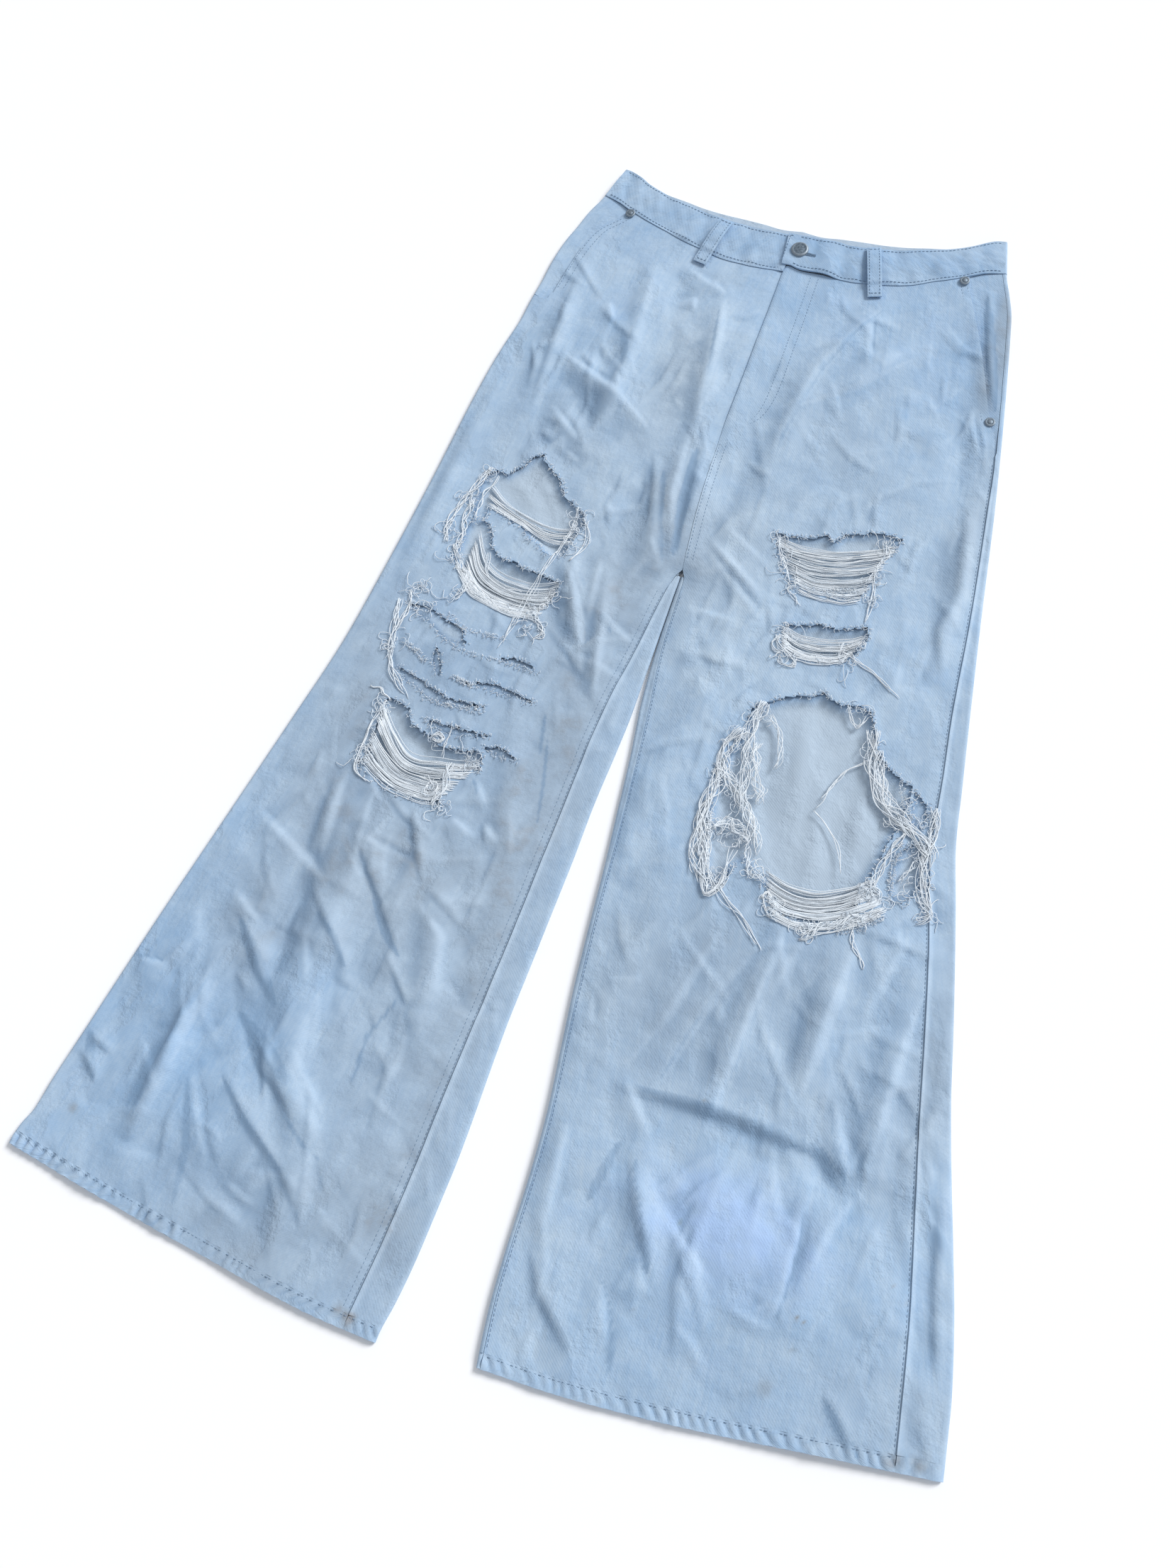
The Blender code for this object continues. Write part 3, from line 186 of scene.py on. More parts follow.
# Sharper creases: half width of the steep facet, its height, then the line's x, down.
# A height above 0 turns the facet to the light, and one below 0 turns it away.
CREASES = (
    (0.0042, 0.0016, (-0.178, 0.228), (-0.105, 0.265), (-0.07, 0.292)),
    (0.006, 0.0016, (-0.123, 0.1), (-0.115, 0.18), (-0.106, 0.27), (-0.13, 0.33)),
    (0.01, -0.0012, (-0.115, 0.13), (-0.075, 0.26)),
    (0.005, 0.0018, (-0.049, 0.125), (-0.038, 0.18), (-0.033, 0.25), (-0.026, 0.305)),
    (0.0035, 0.0012, (-0.099, 0.1), (-0.05, 0.124)),
    (0.0045, 0.0014, (-0.17, 0.285), (-0.127, 0.32)),
    (0.003, 0.0012, (-0.076, 0.135), (-0.072, 0.152)),
    (0.003, 0.0012, (-0.153, 0.16), (-0.143, 0.183)),
    (0.004, -0.0012, (-0.195, 0.14), (-0.193, 0.2), (-0.188, 0.3)),
    (0.0045, 0.002, (-0.035, 0.28), (-0.028, 0.35), (-0.01, 0.415)),
    (0.0056, -0.003, (-0.021, 0.288), (-0.017, 0.34), (-0.012, 0.4)),
    (0.0045, 0.0014, (-0.048, 0.33), (-0.032, 0.4), (-0.012, 0.432)),
    (0.0035, -0.0014, (-0.06, 0.315), (-0.042, 0.385)),
    (0.0035, 0.002, (-0.099, 0.44), (-0.078, 0.476), (-0.06, 0.522)),
    (0.0035, 0.0017, (-0.071, 0.428), (-0.063, 0.492)),
    (0.0035, 0.0018, (-0.053, 0.468), (-0.035, 0.56)),
    (0.003, 0.0012, (-0.056, 0.48), (-0.02, 0.5)),
    (0.005, 0.0018, (0.1, 0.105), (0.08, 0.14), (0.06, 0.19), (0.046, 0.27), (0.049, 0.312)),
    (0.005, 0.0018, (0.132, 0.148), (0.1, 0.195), (0.06, 0.228)),
    (0.0035, 0.0012, (0.09, 0.12), (0.103, 0.175)),
    (0.0045, -0.0018, (0.22, 0.29), (0.233, 0.38), (0.225, 0.42), (0.242, 0.47)),
    (0.0028, 0.0009, (0.01, 0.38), (0.08, 0.43)),
    (0.0028, 0.0009, (0.015, 0.395), (0.085, 0.452)),
    (0.0028, 0.0008, (0.02, 0.365), (0.075, 0.398)),
    (0.0028, -0.0008, (0.012, 0.387), (0.082, 0.441)),
    (0.005, -0.0016, (-0.224, 0.69), (-0.22, 0.765)),
    (0.0045, 0.0018, (-0.216, 0.68), (-0.208, 0.765)),
    (0.01, -0.0012, (-0.206, 0.7), (-0.203, 0.9)),
    (0.0038, 0.0012, (-0.186, 0.69), (-0.182, 0.732)),
    (0.0038, -0.0016, (-0.156, 0.69), (-0.135, 0.73), (-0.117, 0.762)),
    (0.0042, -0.0016, (-0.19, 0.73), (-0.155, 0.775), (-0.112, 0.824)),
    (0.0038, -0.0014, (-0.209, 0.784), (-0.18, 0.815), (-0.152, 0.846)),
    (0.0045, -0.0016, (-0.258, 0.824), (-0.22, 0.87), (-0.198, 0.888)),
    (0.004, 0.0014, (-0.269, 0.808), (-0.234, 0.829)),
    (0.0045, 0.0016, (-0.282, 0.734), (-0.22, 0.765), (-0.192, 0.783)),
    (0.0038, -0.0012, (-0.113, 0.761), (-0.074, 0.783)),
    (0.0038, 0.0014, (-0.121, 0.769), (-0.085, 0.795), (-0.074, 0.842)),
    (0.003, 0.0012, (-0.106, 0.659), (-0.089, 0.681)),
    (0.003, 0.0012, (-0.116, 0.695), (-0.089, 0.708)),
    (0.003, 0.0012, (-0.086, 0.694), (-0.069, 0.707)),
    (0.0055, 0.0022, (-0.258, 0.876), (-0.26, 0.92), (-0.257, 0.96), (-0.266, 1.025)),
    (0.004, -0.0016, (-0.267, 0.885), (-0.268, 0.95), (-0.274, 1.01)),
    (0.0045, -0.0018, (-0.226, 0.899), (-0.17, 0.948), (-0.143, 0.971)),
    (0.0045, -0.0016, (-0.218, 0.949), (-0.18, 0.983), (-0.135, 1.013), (-0.108, 1.042)),
    (0.0038, 0.0012, (-0.241, 0.953), (-0.199, 1.022)),
    (0.003, -0.0012, (-0.341, 0.957), (-0.309, 0.966)),
    (0.003, -0.0012, (-0.341, 0.969), (-0.313, 0.991)),
    (0.003, 0.0012, (-0.327, 0.885), (-0.295, 0.885)),
    (0.009, 0.0014, (-0.165, 0.86), (-0.155, 0.94), (-0.11, 0.98)),
    (0.0045, 0.0018, (0.177, 0.698), (0.173, 0.76), (0.163, 0.88)),
    (0.0045, 0.0015, (0.161, 0.728), (0.14, 0.775), (0.114, 0.862)),
    (0.009, -0.0012, (0.21, 0.7), (0.21, 0.84)),
    (0.0055, 0.002, (0.235, 0.69), (0.228, 0.78), (0.223, 0.832)),
    (0.0045, 0.0014, (0.273, 0.678), (0.253, 0.762)),
    (0.0045, 0.0016, (0.292, 0.718), (0.284, 0.882)),
    (0.0038, 0.0014, (0.247, 0.82), (0.275, 0.882)),
    (0.005, -0.0014, (0.314, 0.72), (0.318, 0.802)),
    (0.0038, -0.0014, (0.329, 0.789), (0.301, 0.861)),
    (0.0045, -0.0016, (0.338, 0.838), (0.352, 0.94), (0.373, 1.012)),
    (0.0056, -0.0021, (0.078, 0.867), (0.16, 0.864), (0.25, 0.87), (0.264, 0.887)),
    (0.0038, 0.0016, (0.248, 0.88), (0.25, 0.97), (0.245, 0.997)),
    (0.0038, 0.0016, (0.286, 0.884), (0.27, 0.92), (0.262, 0.962)),
    (0.0038, -0.0018, (0.113, 0.914), (0.13, 0.95), (0.154, 0.992)),
    (0.0036, 0.0012, (0.089, 0.854), (0.126, 0.897)),
    (0.0045, -0.0016, (0.061, 0.999), (0.08, 1.03), (0.116, 1.062)),
    (0.0038, 0.0013, (0.122, 1.004), (0.141, 1.052)),
    (0.0038, -0.0013, (0.294, 1.024), (0.324, 1.061)),
    (0.004, 0.0013, (0.13, 0.716), (0.11, 0.8), (0.088, 0.85)),
    (0.0036, 0.0012, (0.196, 0.706), (0.178, 0.77)),
    (0.0045, 0.0014, (0.06, 0.9), (0.07, 0.99)),
    (0.0042, -0.0012, (0.18, 0.89), (0.172, 0.99), (0.19, 1.05)),
)

# Rips, each a ring of x, down
RIPS = {
    "left thigh window": (
        (0.067, 0.362), (0.08, 0.364), (0.1, 0.36), (0.112, 0.354), (0.12, 0.36), (0.126, 0.351),
        (0.138, 0.345), (0.15, 0.341), (0.163, 0.339), (0.176, 0.341), (0.172, 0.352),
        (0.165, 0.365), (0.161, 0.38), (0.159, 0.395), (0.156, 0.407), (0.14, 0.41), (0.125, 0.412),
        (0.103, 0.41), (0.089, 0.403), (0.076, 0.384),
    ),
    "left lower thigh window": (
        (0.102, 0.448), (0.115, 0.446), (0.126, 0.441), (0.145, 0.441), (0.156, 0.438),
        (0.169, 0.433), (0.172, 0.442), (0.166, 0.46), (0.159, 0.471), (0.14, 0.474),
        (0.122, 0.475), (0.109, 0.472), (0.102, 0.46),
    ),
    "left knee hole": (
        (0.096, 0.533), (0.106, 0.524), (0.12, 0.515), (0.132, 0.509), (0.142, 0.508),
        (0.15, 0.501), (0.158, 0.507), (0.168, 0.508), (0.18, 0.505), (0.192, 0.508), (0.198, 0.52),
        (0.206, 0.54), (0.218, 0.553), (0.229, 0.558), (0.241, 0.562), (0.2415, 0.575),
        (0.238, 0.6), (0.232, 0.63), (0.226, 0.654), (0.222, 0.69), (0.195, 0.699), (0.172, 0.698),
        (0.156, 0.69), (0.148, 0.676), (0.139, 0.672), (0.129, 0.662), (0.122, 0.668),
        (0.114, 0.693), (0.102, 0.685), (0.092, 0.65), (0.087, 0.61), (0.089, 0.575), (0.098, 0.55),
    ),
    "left knee tatter, upper hole": (
        (0.2445, 0.566), (0.256, 0.573), (0.258, 0.59), (0.25, 0.597), (0.245, 0.582),
    ),
    "left knee tatter, lower hole": (
        (0.257, 0.606), (0.266, 0.62), (0.267, 0.645), (0.257, 0.661), (0.246, 0.656),
        (0.244, 0.636), (0.248, 0.616),
    ),
    "right thigh window": (
        (-0.203, 0.373), (-0.194, 0.367), (-0.183, 0.368), (-0.173, 0.356), (-0.165, 0.344),
        (-0.159, 0.34), (-0.155, 0.346), (-0.147, 0.353), (-0.139, 0.358), (-0.133, 0.365),
        (-0.126, 0.375), (-0.12, 0.381), (-0.112, 0.385), (-0.102, 0.39), (-0.099, 0.397),
        (-0.101, 0.41), (-0.104, 0.425), (-0.106, 0.438), (-0.115, 0.44), (-0.127, 0.436),
        (-0.141, 0.427), (-0.154, 0.417), (-0.17, 0.411), (-0.188, 0.404), (-0.188, 0.418),
        (-0.199, 0.424), (-0.203, 0.4),
    ),
    "right hanging strip window": (
        (-0.2005, 0.422), (-0.19, 0.418), (-0.18, 0.424), (-0.1735, 0.433), (-0.174, 0.439),
        (-0.168, 0.447), (-0.159, 0.453), (-0.148, 0.4545), (-0.135, 0.458), (-0.12, 0.46),
        (-0.1, 0.464), (-0.099, 0.472), (-0.103, 0.486), (-0.11, 0.498), (-0.125, 0.5),
        (-0.145, 0.4985), (-0.16, 0.4955), (-0.17, 0.49), (-0.181, 0.48), (-0.1835, 0.477),
        (-0.195, 0.472), (-0.2005, 0.465), (-0.201, 0.442),
    ),
    "right slot under the strip": (
        (-0.226, 0.5155), (-0.208, 0.516), (-0.196, 0.5205), (-0.185, 0.525), (-0.167, 0.53),
        (-0.1595, 0.543), (-0.17, 0.5445), (-0.18, 0.5425), (-0.19, 0.5355), (-0.2, 0.53),
        (-0.213, 0.525),
    ),
    "right upright slit": (
        (-0.185, 0.553), (-0.1795, 0.557), (-0.1735, 0.568), (-0.172, 0.577), (-0.1785, 0.571),
        (-0.1835, 0.562),
    ),
    "right fine slit above the knee": (
        (-0.126, 0.547), (-0.115, 0.5435), (-0.105, 0.5435), (-0.095, 0.548), (-0.105, 0.5495),
        (-0.115, 0.5485),
    ),
    "right upper slit": (
        (-0.146, 0.577), (-0.134, 0.5745), (-0.12, 0.5705), (-0.106, 0.5735), (-0.092, 0.5755),
        (-0.079, 0.5785), (-0.09, 0.5795), (-0.105, 0.5785), (-0.12, 0.5775), (-0.134, 0.5785),
    ),
    "right middle slit": (
        (-0.212, 0.578), (-0.198, 0.5815), (-0.185, 0.586), (-0.17, 0.5915), (-0.156, 0.595),
        (-0.14, 0.5955), (-0.121, 0.594), (-0.14, 0.599), (-0.158, 0.6005), (-0.174, 0.5995),
        (-0.188, 0.593), (-0.2, 0.5865),
    ),
    "right lower slit": (
        (-0.172, 0.6185), (-0.155, 0.62), (-0.14, 0.62), (-0.123, 0.62), (-0.107, 0.6175),
        (-0.125, 0.624), (-0.135, 0.626), (-0.148, 0.626), (-0.16, 0.623),
    ),
    "right fine slit below the knee": (
        (-0.112, 0.63), (-0.1, 0.627), (-0.088, 0.6295), (-0.078, 0.6335), (-0.09, 0.634),
        (-0.102, 0.632),
    ),
    "right knee window": (
        (-0.209, 0.61), (-0.195, 0.61), (-0.186, 0.615), (-0.18, 0.625), (-0.17, 0.631),
        (-0.158, 0.633), (-0.148, 0.639), (-0.135, 0.639), (-0.125, 0.637), (-0.114, 0.6345),
        (-0.108, 0.639), (-0.108, 0.65), (-0.124, 0.654), (-0.133, 0.664), (-0.134, 0.68),
        (-0.128, 0.69), (-0.15, 0.6925), (-0.175, 0.69), (-0.19, 0.685), (-0.205, 0.679),
        (-0.21, 0.674), (-0.205, 0.656), (-0.208, 0.63),
    ),
}

# Weft threads left across a rip: rows, strands in a row, first row's line, last row's line
WEFTS = {
    "left thigh": (
        (11, 8,
         ((0.068, 0.366), (0.1, 0.37), (0.128, 0.365), (0.15, 0.356), (0.175, 0.345)),
         ((0.099, 0.409), (0.115, 0.413), (0.128, 0.413), (0.142, 0.411), (0.158, 0.404))),
    ),
    "left thigh low": (
        (7, 8,
         ((0.099, 0.452), (0.118, 0.457), (0.135, 0.457), (0.152, 0.452), (0.17, 0.442)),
         ((0.105, 0.472), (0.12, 0.478), (0.132, 0.479), (0.146, 0.476), (0.16, 0.468))),
    ),
    "left knee bridge": (
        (10, 9,
         ((0.148, 0.668), (0.168, 0.675), (0.19, 0.674), (0.212, 0.664), (0.232, 0.65)),
         ((0.158, 0.698), (0.176, 0.703), (0.2, 0.7), (0.224, 0.688), (0.247, 0.67))),
    ),
    "right strip": (
        (10, 9,
         ((-0.188, 0.436), (-0.172, 0.462), (-0.15, 0.474), (-0.122, 0.476), (-0.099, 0.468)),
         ((-0.19, 0.474), (-0.174, 0.492), (-0.15, 0.5), (-0.125, 0.502), (-0.106, 0.5))),
        (2, 7,
         ((-0.199, 0.466), (-0.188, 0.476), (-0.172, 0.487), (-0.15, 0.497), (-0.12, 0.5)),
         ((-0.198, 0.47), (-0.186, 0.48), (-0.17, 0.492), (-0.15, 0.502), (-0.118, 0.504))),
    ),
    "right thigh": (
        (3, 8,
         ((-0.194, 0.385), (-0.174, 0.398), (-0.15, 0.408), (-0.125, 0.414), (-0.101, 0.408)),
         ((-0.192, 0.4), (-0.172, 0.408), (-0.15, 0.416), (-0.126, 0.424), (-0.104, 0.42))),
    ),
    "right knee": (
        (11, 9,
         ((-0.209, 0.614), (-0.19, 0.638), (-0.168, 0.655), (-0.138, 0.652), (-0.107, 0.644)),
         ((-0.207, 0.67), (-0.19, 0.68), (-0.172, 0.687), (-0.15, 0.689), (-0.13, 0.686))),
    ),
}

# Lines of short ends that stand on the cloth: x, down
FRINGED = (
    ((-0.179, 0.601), (-0.15, 0.6015), (-0.121, 0.6)),
    ((-0.211, 0.556), (-0.2, 0.56), (-0.188, 0.568)),
    ((-0.185, 0.518), (-0.17, 0.527), (-0.15, 0.529), (-0.128, 0.528)),
    ((-0.176, 0.544), (-0.165, 0.549), (-0.145, 0.55), (-0.09, 0.551)),
    ((-0.16, 0.575), (-0.15, 0.577), (-0.14, 0.579)),
    ((-0.121, 0.643), (-0.112, 0.646), (-0.106, 0.652)),
    ((0.124, 0.409), (0.138, 0.404), (0.152, 0.4)),
    ((0.232, 0.564), (0.24, 0.58), (0.246, 0.59)),
    ((0.244, 0.61), (0.243, 0.63), (0.246, 0.652)),
    ((0.215, 0.699), (0.232, 0.69), (0.246, 0.676)),
    ((-0.12, 0.488), (-0.108, 0.502), (-0.098, 0.518)),
)

# Loose ropes of thread: strands, half width of the rope, then its line as x, down
ROPES = {
    "left thigh": (
        (4, 0.002, (0.161, 0.345), (0.166, 0.36), (0.162, 0.38), (0.165, 0.4), (0.168, 0.438)),
        (3, 0.0015, (0.154, 0.46), (0.163, 0.463), (0.185, 0.473), (0.211, 0.49)),
        (3, 0.0016, (0.072, 0.365), (0.08, 0.384), (0.092, 0.404), (0.098, 0.412)),
    ),
    "left thigh low": (
        (4, 0.0022, (0.097, 0.46), (0.103, 0.47), (0.115, 0.477), (0.12, 0.484), (0.11, 0.487)),
        (4, 0.0014, (0.108, 0.459), (0.1, 0.462), (0.096, 0.469), (0.101, 0.475), (0.108, 0.472),
         (0.108, 0.464)),
        (3, 0.001, (0.104, 0.478), (0.109, 0.485), (0.117, 0.484), (0.12, 0.477)),
        (3, 0.001, (0.154, 0.452), (0.152, 0.461), (0.157, 0.469), (0.161, 0.458)),
        (3, 0.0018, (0.1, 0.41), (0.094, 0.414), (0.1, 0.419), (0.108, 0.43)),
    ),
    "left knee inner": (
        (14, 0.006, (0.106, 0.524), (0.102, 0.545), (0.104, 0.57), (0.108, 0.595), (0.112, 0.625)),
        (15, 0.006, (0.095, 0.552), (0.087, 0.575), (0.088, 0.6), (0.084, 0.63), (0.088, 0.665),
         (0.104, 0.692)),
        (16, 0.0052, (0.083, 0.585), (0.105, 0.605), (0.125, 0.63), (0.138, 0.655)),
        (12, 0.005, (0.085, 0.615), (0.084, 0.64), (0.096, 0.66), (0.107, 0.698), (0.116, 0.688),
         (0.117, 0.655)),
        (10, 0.005, (0.098, 0.645), (0.108, 0.634), (0.12, 0.64), (0.127, 0.655)),
        (8, 0.0046, (0.11, 0.56), (0.114, 0.585), (0.122, 0.6), (0.127, 0.612)),
        (6, 0.003, (0.09, 0.63), (0.097, 0.66), (0.1, 0.685), (0.107, 0.698)),
        (5, 0.0026, (0.112, 0.533), (0.125, 0.547), (0.131, 0.57), (0.127, 0.582)),
        (4, 0.0022, (0.086, 0.662), (0.12, 0.696), (0.14, 0.709), (0.164, 0.734)),
        (5, 0.003, (0.128, 0.65), (0.133, 0.668), (0.15, 0.675)),
    ),
    "left knee outer": (
        (16, 0.0062, (0.198, 0.523), (0.203, 0.55), (0.215, 0.57), (0.223, 0.583), (0.25, 0.6),
         (0.268, 0.615), (0.267, 0.63)),
        (12, 0.005, (0.206, 0.54), (0.212, 0.56), (0.224, 0.58), (0.238, 0.596), (0.256, 0.604)),
        (11, 0.0046, (0.263, 0.575), (0.266, 0.6), (0.266, 0.63), (0.273, 0.65), (0.281, 0.662),
         (0.27, 0.672)),
        (4, 0.0022, (0.262, 0.616), (0.256, 0.632), (0.25, 0.644)),
        (6, 0.003, (0.246, 0.6), (0.238, 0.625), (0.232, 0.65), (0.226, 0.665)),
        (3, 0.0012, (0.2, 0.55), (0.186, 0.565), (0.178, 0.582), (0.172, 0.604)),
        (2, 0.0008, (0.17, 0.605), (0.195, 0.625), (0.207, 0.657)),
        (3, 0.0016, (0.173, 0.507), (0.184, 0.524), (0.19, 0.512)),
        (3, 0.0014, (0.222, 0.683), (0.23, 0.705), (0.242, 0.72), (0.24, 0.728)),
        (12, 0.005, (0.232, 0.68), (0.212, 0.692), (0.198, 0.703), (0.19, 0.715)),
        (3, 0.0009, (0.15, 0.69), (0.154, 0.682), (0.16, 0.687), (0.165, 0.698), (0.16, 0.702),
         (0.154, 0.693), (0.151, 0.686)),
        (5, 0.0034, (0.228, 0.65), (0.238, 0.66), (0.232, 0.668)),
    ),
    "right side": (
        (7, 0.0032, (-0.2, 0.366), (-0.212, 0.4), (-0.219, 0.435), (-0.213, 0.45)),
        (6, 0.0028, (-0.206, 0.4), (-0.203, 0.44), (-0.2, 0.462)),
        (5, 0.0026, (-0.205, 0.45), (-0.19, 0.474), (-0.183, 0.476), (-0.184, 0.5), (-0.195, 0.51)),
        (6, 0.0032, (-0.232, 0.515), (-0.227, 0.55), (-0.217, 0.58), (-0.205, 0.593),
         (-0.19, 0.606)),
        (5, 0.0026, (-0.228, 0.505), (-0.222, 0.52), (-0.226, 0.545)),
        (3, 0.0014, (-0.19, 0.372), (-0.197, 0.392), (-0.196, 0.42)),
    ),
    "right strip": (
        (4, 0.0018, (-0.11, 0.385), (-0.107, 0.41), (-0.118, 0.46), (-0.128, 0.52), (-0.13, 0.545)),
        (3, 0.0016, (-0.18, 0.48), (-0.15, 0.498), (-0.12, 0.5)),
        (3, 0.0016, (-0.172, 0.45), (-0.166, 0.47), (-0.15, 0.48), (-0.12, 0.482)),
        (3, 0.0014, (-0.1, 0.395), (-0.09, 0.42), (-0.102, 0.45)),
        (4, 0.002, (-0.11, 0.5), (-0.098, 0.515), (-0.106, 0.523)),
    ),
    "right knee": (
        (7, 0.0034, (-0.133, 0.65), (-0.131, 0.67), (-0.134, 0.692)),
        (4, 0.0012, (-0.146, 0.679), (-0.145, 0.671), (-0.138, 0.672), (-0.137, 0.679),
         (-0.142, 0.683), (-0.147, 0.678), (-0.143, 0.674)),
        (4, 0.0012, (-0.157, 0.633), (-0.152, 0.628), (-0.146, 0.631), (-0.15, 0.636),
         (-0.156, 0.634)),
        (4, 0.0024, (-0.208, 0.612), (-0.212, 0.64), (-0.21, 0.678), (-0.19, 0.69)),
        (3, 0.0016, (-0.153, 0.628), (-0.148, 0.634), (-0.156, 0.636)),
        (2, 0.001, (-0.143, 0.618), (-0.142, 0.65)),
        (3, 0.0016, (-0.227, 0.602), (-0.214, 0.604), (-0.205, 0.612)),
    ),
}

# Tangled clumps: x, down, radius, strands
CLUMPS = {
    "left thigh": (
        (0.162, 0.352, 0.007, 12), (0.164, 0.385, 0.007, 12), (0.075, 0.372, 0.006, 9),
        (0.086, 0.395, 0.006, 9), (0.097, 0.411, 0.006, 9), (0.166, 0.405, 0.005, 8),
    ),
    "left thigh low": (
        (0.103, 0.456, 0.007, 12), (0.108, 0.48, 0.007, 12), (0.166, 0.452, 0.006, 12),
        (0.158, 0.47, 0.006, 10),
    ),
    "left knee inner": (
        (0.104, 0.534, 0.007, 14), (0.094, 0.567, 0.01, 22), (0.09, 0.598, 0.01, 20),
        (0.094, 0.64, 0.011, 26), (0.114, 0.645, 0.01, 20), (0.106, 0.68, 0.01, 20),
        (0.14, 0.672, 0.008, 14), (0.108, 0.61, 0.01, 18),
    ),
    "left knee outer": (
        (0.182, 0.51, 0.006, 10), (0.205, 0.545, 0.007, 14), (0.232, 0.59, 0.009, 18),
        (0.265, 0.61, 0.009, 18), (0.268, 0.645, 0.01, 20), (0.276, 0.662, 0.007, 12),
        (0.23, 0.66, 0.009, 18), (0.258, 0.59, 0.007, 12),
    ),
    "left knee bridge": (
        (0.16, 0.69, 0.008, 14), (0.192, 0.702, 0.007, 14), (0.225, 0.684, 0.008, 12),
        (0.24, 0.668, 0.008, 14),
    ),
    "right side": (
        (-0.212, 0.4, 0.006, 10), (-0.216, 0.44, 0.007, 14), (-0.202, 0.462, 0.006, 10),
        (-0.218, 0.5, 0.008, 18), (-0.186, 0.498, 0.006, 10), (-0.224, 0.56, 0.007, 14),
        (-0.2, 0.372, 0.006, 10),
    ),
    "right strip": (
        (-0.105, 0.395, 0.006, 12), (-0.102, 0.42, 0.006, 10), (-0.104, 0.48, 0.007, 12),
        (-0.113, 0.51, 0.009, 16), (-0.1, 0.405, 0.006, 8),
    ),
    "right knee": (
        (-0.21, 0.62, 0.007, 14), (-0.208, 0.668, 0.007, 12), (-0.142, 0.676, 0.005, 10),
        (-0.118, 0.645, 0.007, 12), (-0.125, 0.692, 0.006, 10), (-0.155, 0.632, 0.004, 6),
    ),
}

# Crumpled places: x, down, reach across and down, amount
CRUSHED = (
    (-0.22, 0.9, 0.1, 0.11, 0.6), (-0.08, 0.8, 0.06, 0.08, 0.3), (-0.07, 1.02, 0.08, 0.06, 0.4),
    (0.25, 0.86, 0.09, 0.07, 0.5), (0.13, 0.93, 0.1, 0.07, 0.35), (0.33, 0.9, 0.05, 0.1, 0.5),
    (0.2, 0.48, 0.06, 0.05, 0.35), (-0.17, 0.28, 0.06, 0.06, 0.25), (-0.06, 0.48, 0.05, 0.07, 0.35),
    (0.3, 0.7, 0.04, 0.1, 0.3), (0.12, 0.3, 0.1, 0.1, -0.25), (-0.25, 0.55, 0.06, 0.15, -0.2),
    (0.15, 1.02, 0.12, 0.05, -0.15), (0.13, 0.15, 0.1, 0.06, -0.2),
)

# Tone of the washed cloth, with painted shade: x, down, reach across and down, amount (1 deepest blue,
# -1 palest)
BLUE_TONE_AND_SHADE = (
    (-0.24, 0.93, 0.075, 0.09, 0.6), (-0.3, 0.87, 0.05, 0.11, 0.25), (-0.2, 0.86, 0.05, 0.06, 0.4),
    (-0.205, 0.72, 0.03, 0.08, 0.25), (-0.13, 0.42, 0.09, 0.08, -0.35),
    (-0.08, 0.36, 0.06, 0.07, -0.2), (-0.14, 0.15, 0.06, 0.08, -0.15),
    (-0.06, 0.2, 0.04, 0.1, -0.35), (-0.16, 0.55, 0.05, 0.06, 0.3), (-0.09, 0.62, 0.05, 0.06, 0.25),
    (-0.16, 0.96, 0.03, 0.05, -0.25), (-0.09, 0.78, 0.04, 0.1, -0.15),
    (0.08, 0.13, 0.08, 0.07, 0.25), (0.2, 0.15, 0.04, 0.08, 0.3), (0.02, 0.12, 0.03, 0.07, 0.3),
    (0.08, 0.31, 0.05, 0.06, 0.25), (0.13, 0.5, 0.08, 0.05, -0.35), (0.22, 0.4, 0.04, 0.12, -0.05),
    (0.07, 1.0, 0.045, 0.08, -0.4), (0.205, 0.935, 0.05, 0.035, 0.1),
    (-0.1, 0.055, 0.12, 0.026, 0.35), (0.08, 0.055, 0.12, 0.024, 0.35),
    (-0.157, 0.194, 0.022, 0.03, 0.45), (0.177, 0.716, 0.03, 0.016, 0.45),
    (-0.055, 0.222, 0.022, 0.045, -0.5), (0.045, 0.43, 0.045, 0.12, -0.6),
    (0.05, 0.76, 0.022, 0.1, -0.55), (0.19, 0.125, 0.022, 0.055, 0.3),
    (0.045, 0.16, 0.03, 0.06, -0.35), (-0.195, 1.03, 0.07, 0.045, 0.4),
    # Painted shade: the first entry deepens the crease beside the fly's lower end
    (-0.015, 0.35, 0.007, 0.05, 1.0), (0.12, 0.32, 0.08, 0.08, -0.3), (0.16, 1.02, 0.08, 0.05, 0.2),
    (0.3, 0.96, 0.05, 0.08, 0.15), (0.18, 0.78, 0.06, 0.07, -0.15), (0.07, 0.73, 0.05, 0.08, 0.1),
    (0.29, 0.76, 0.03, 0.09, 0.2),
)
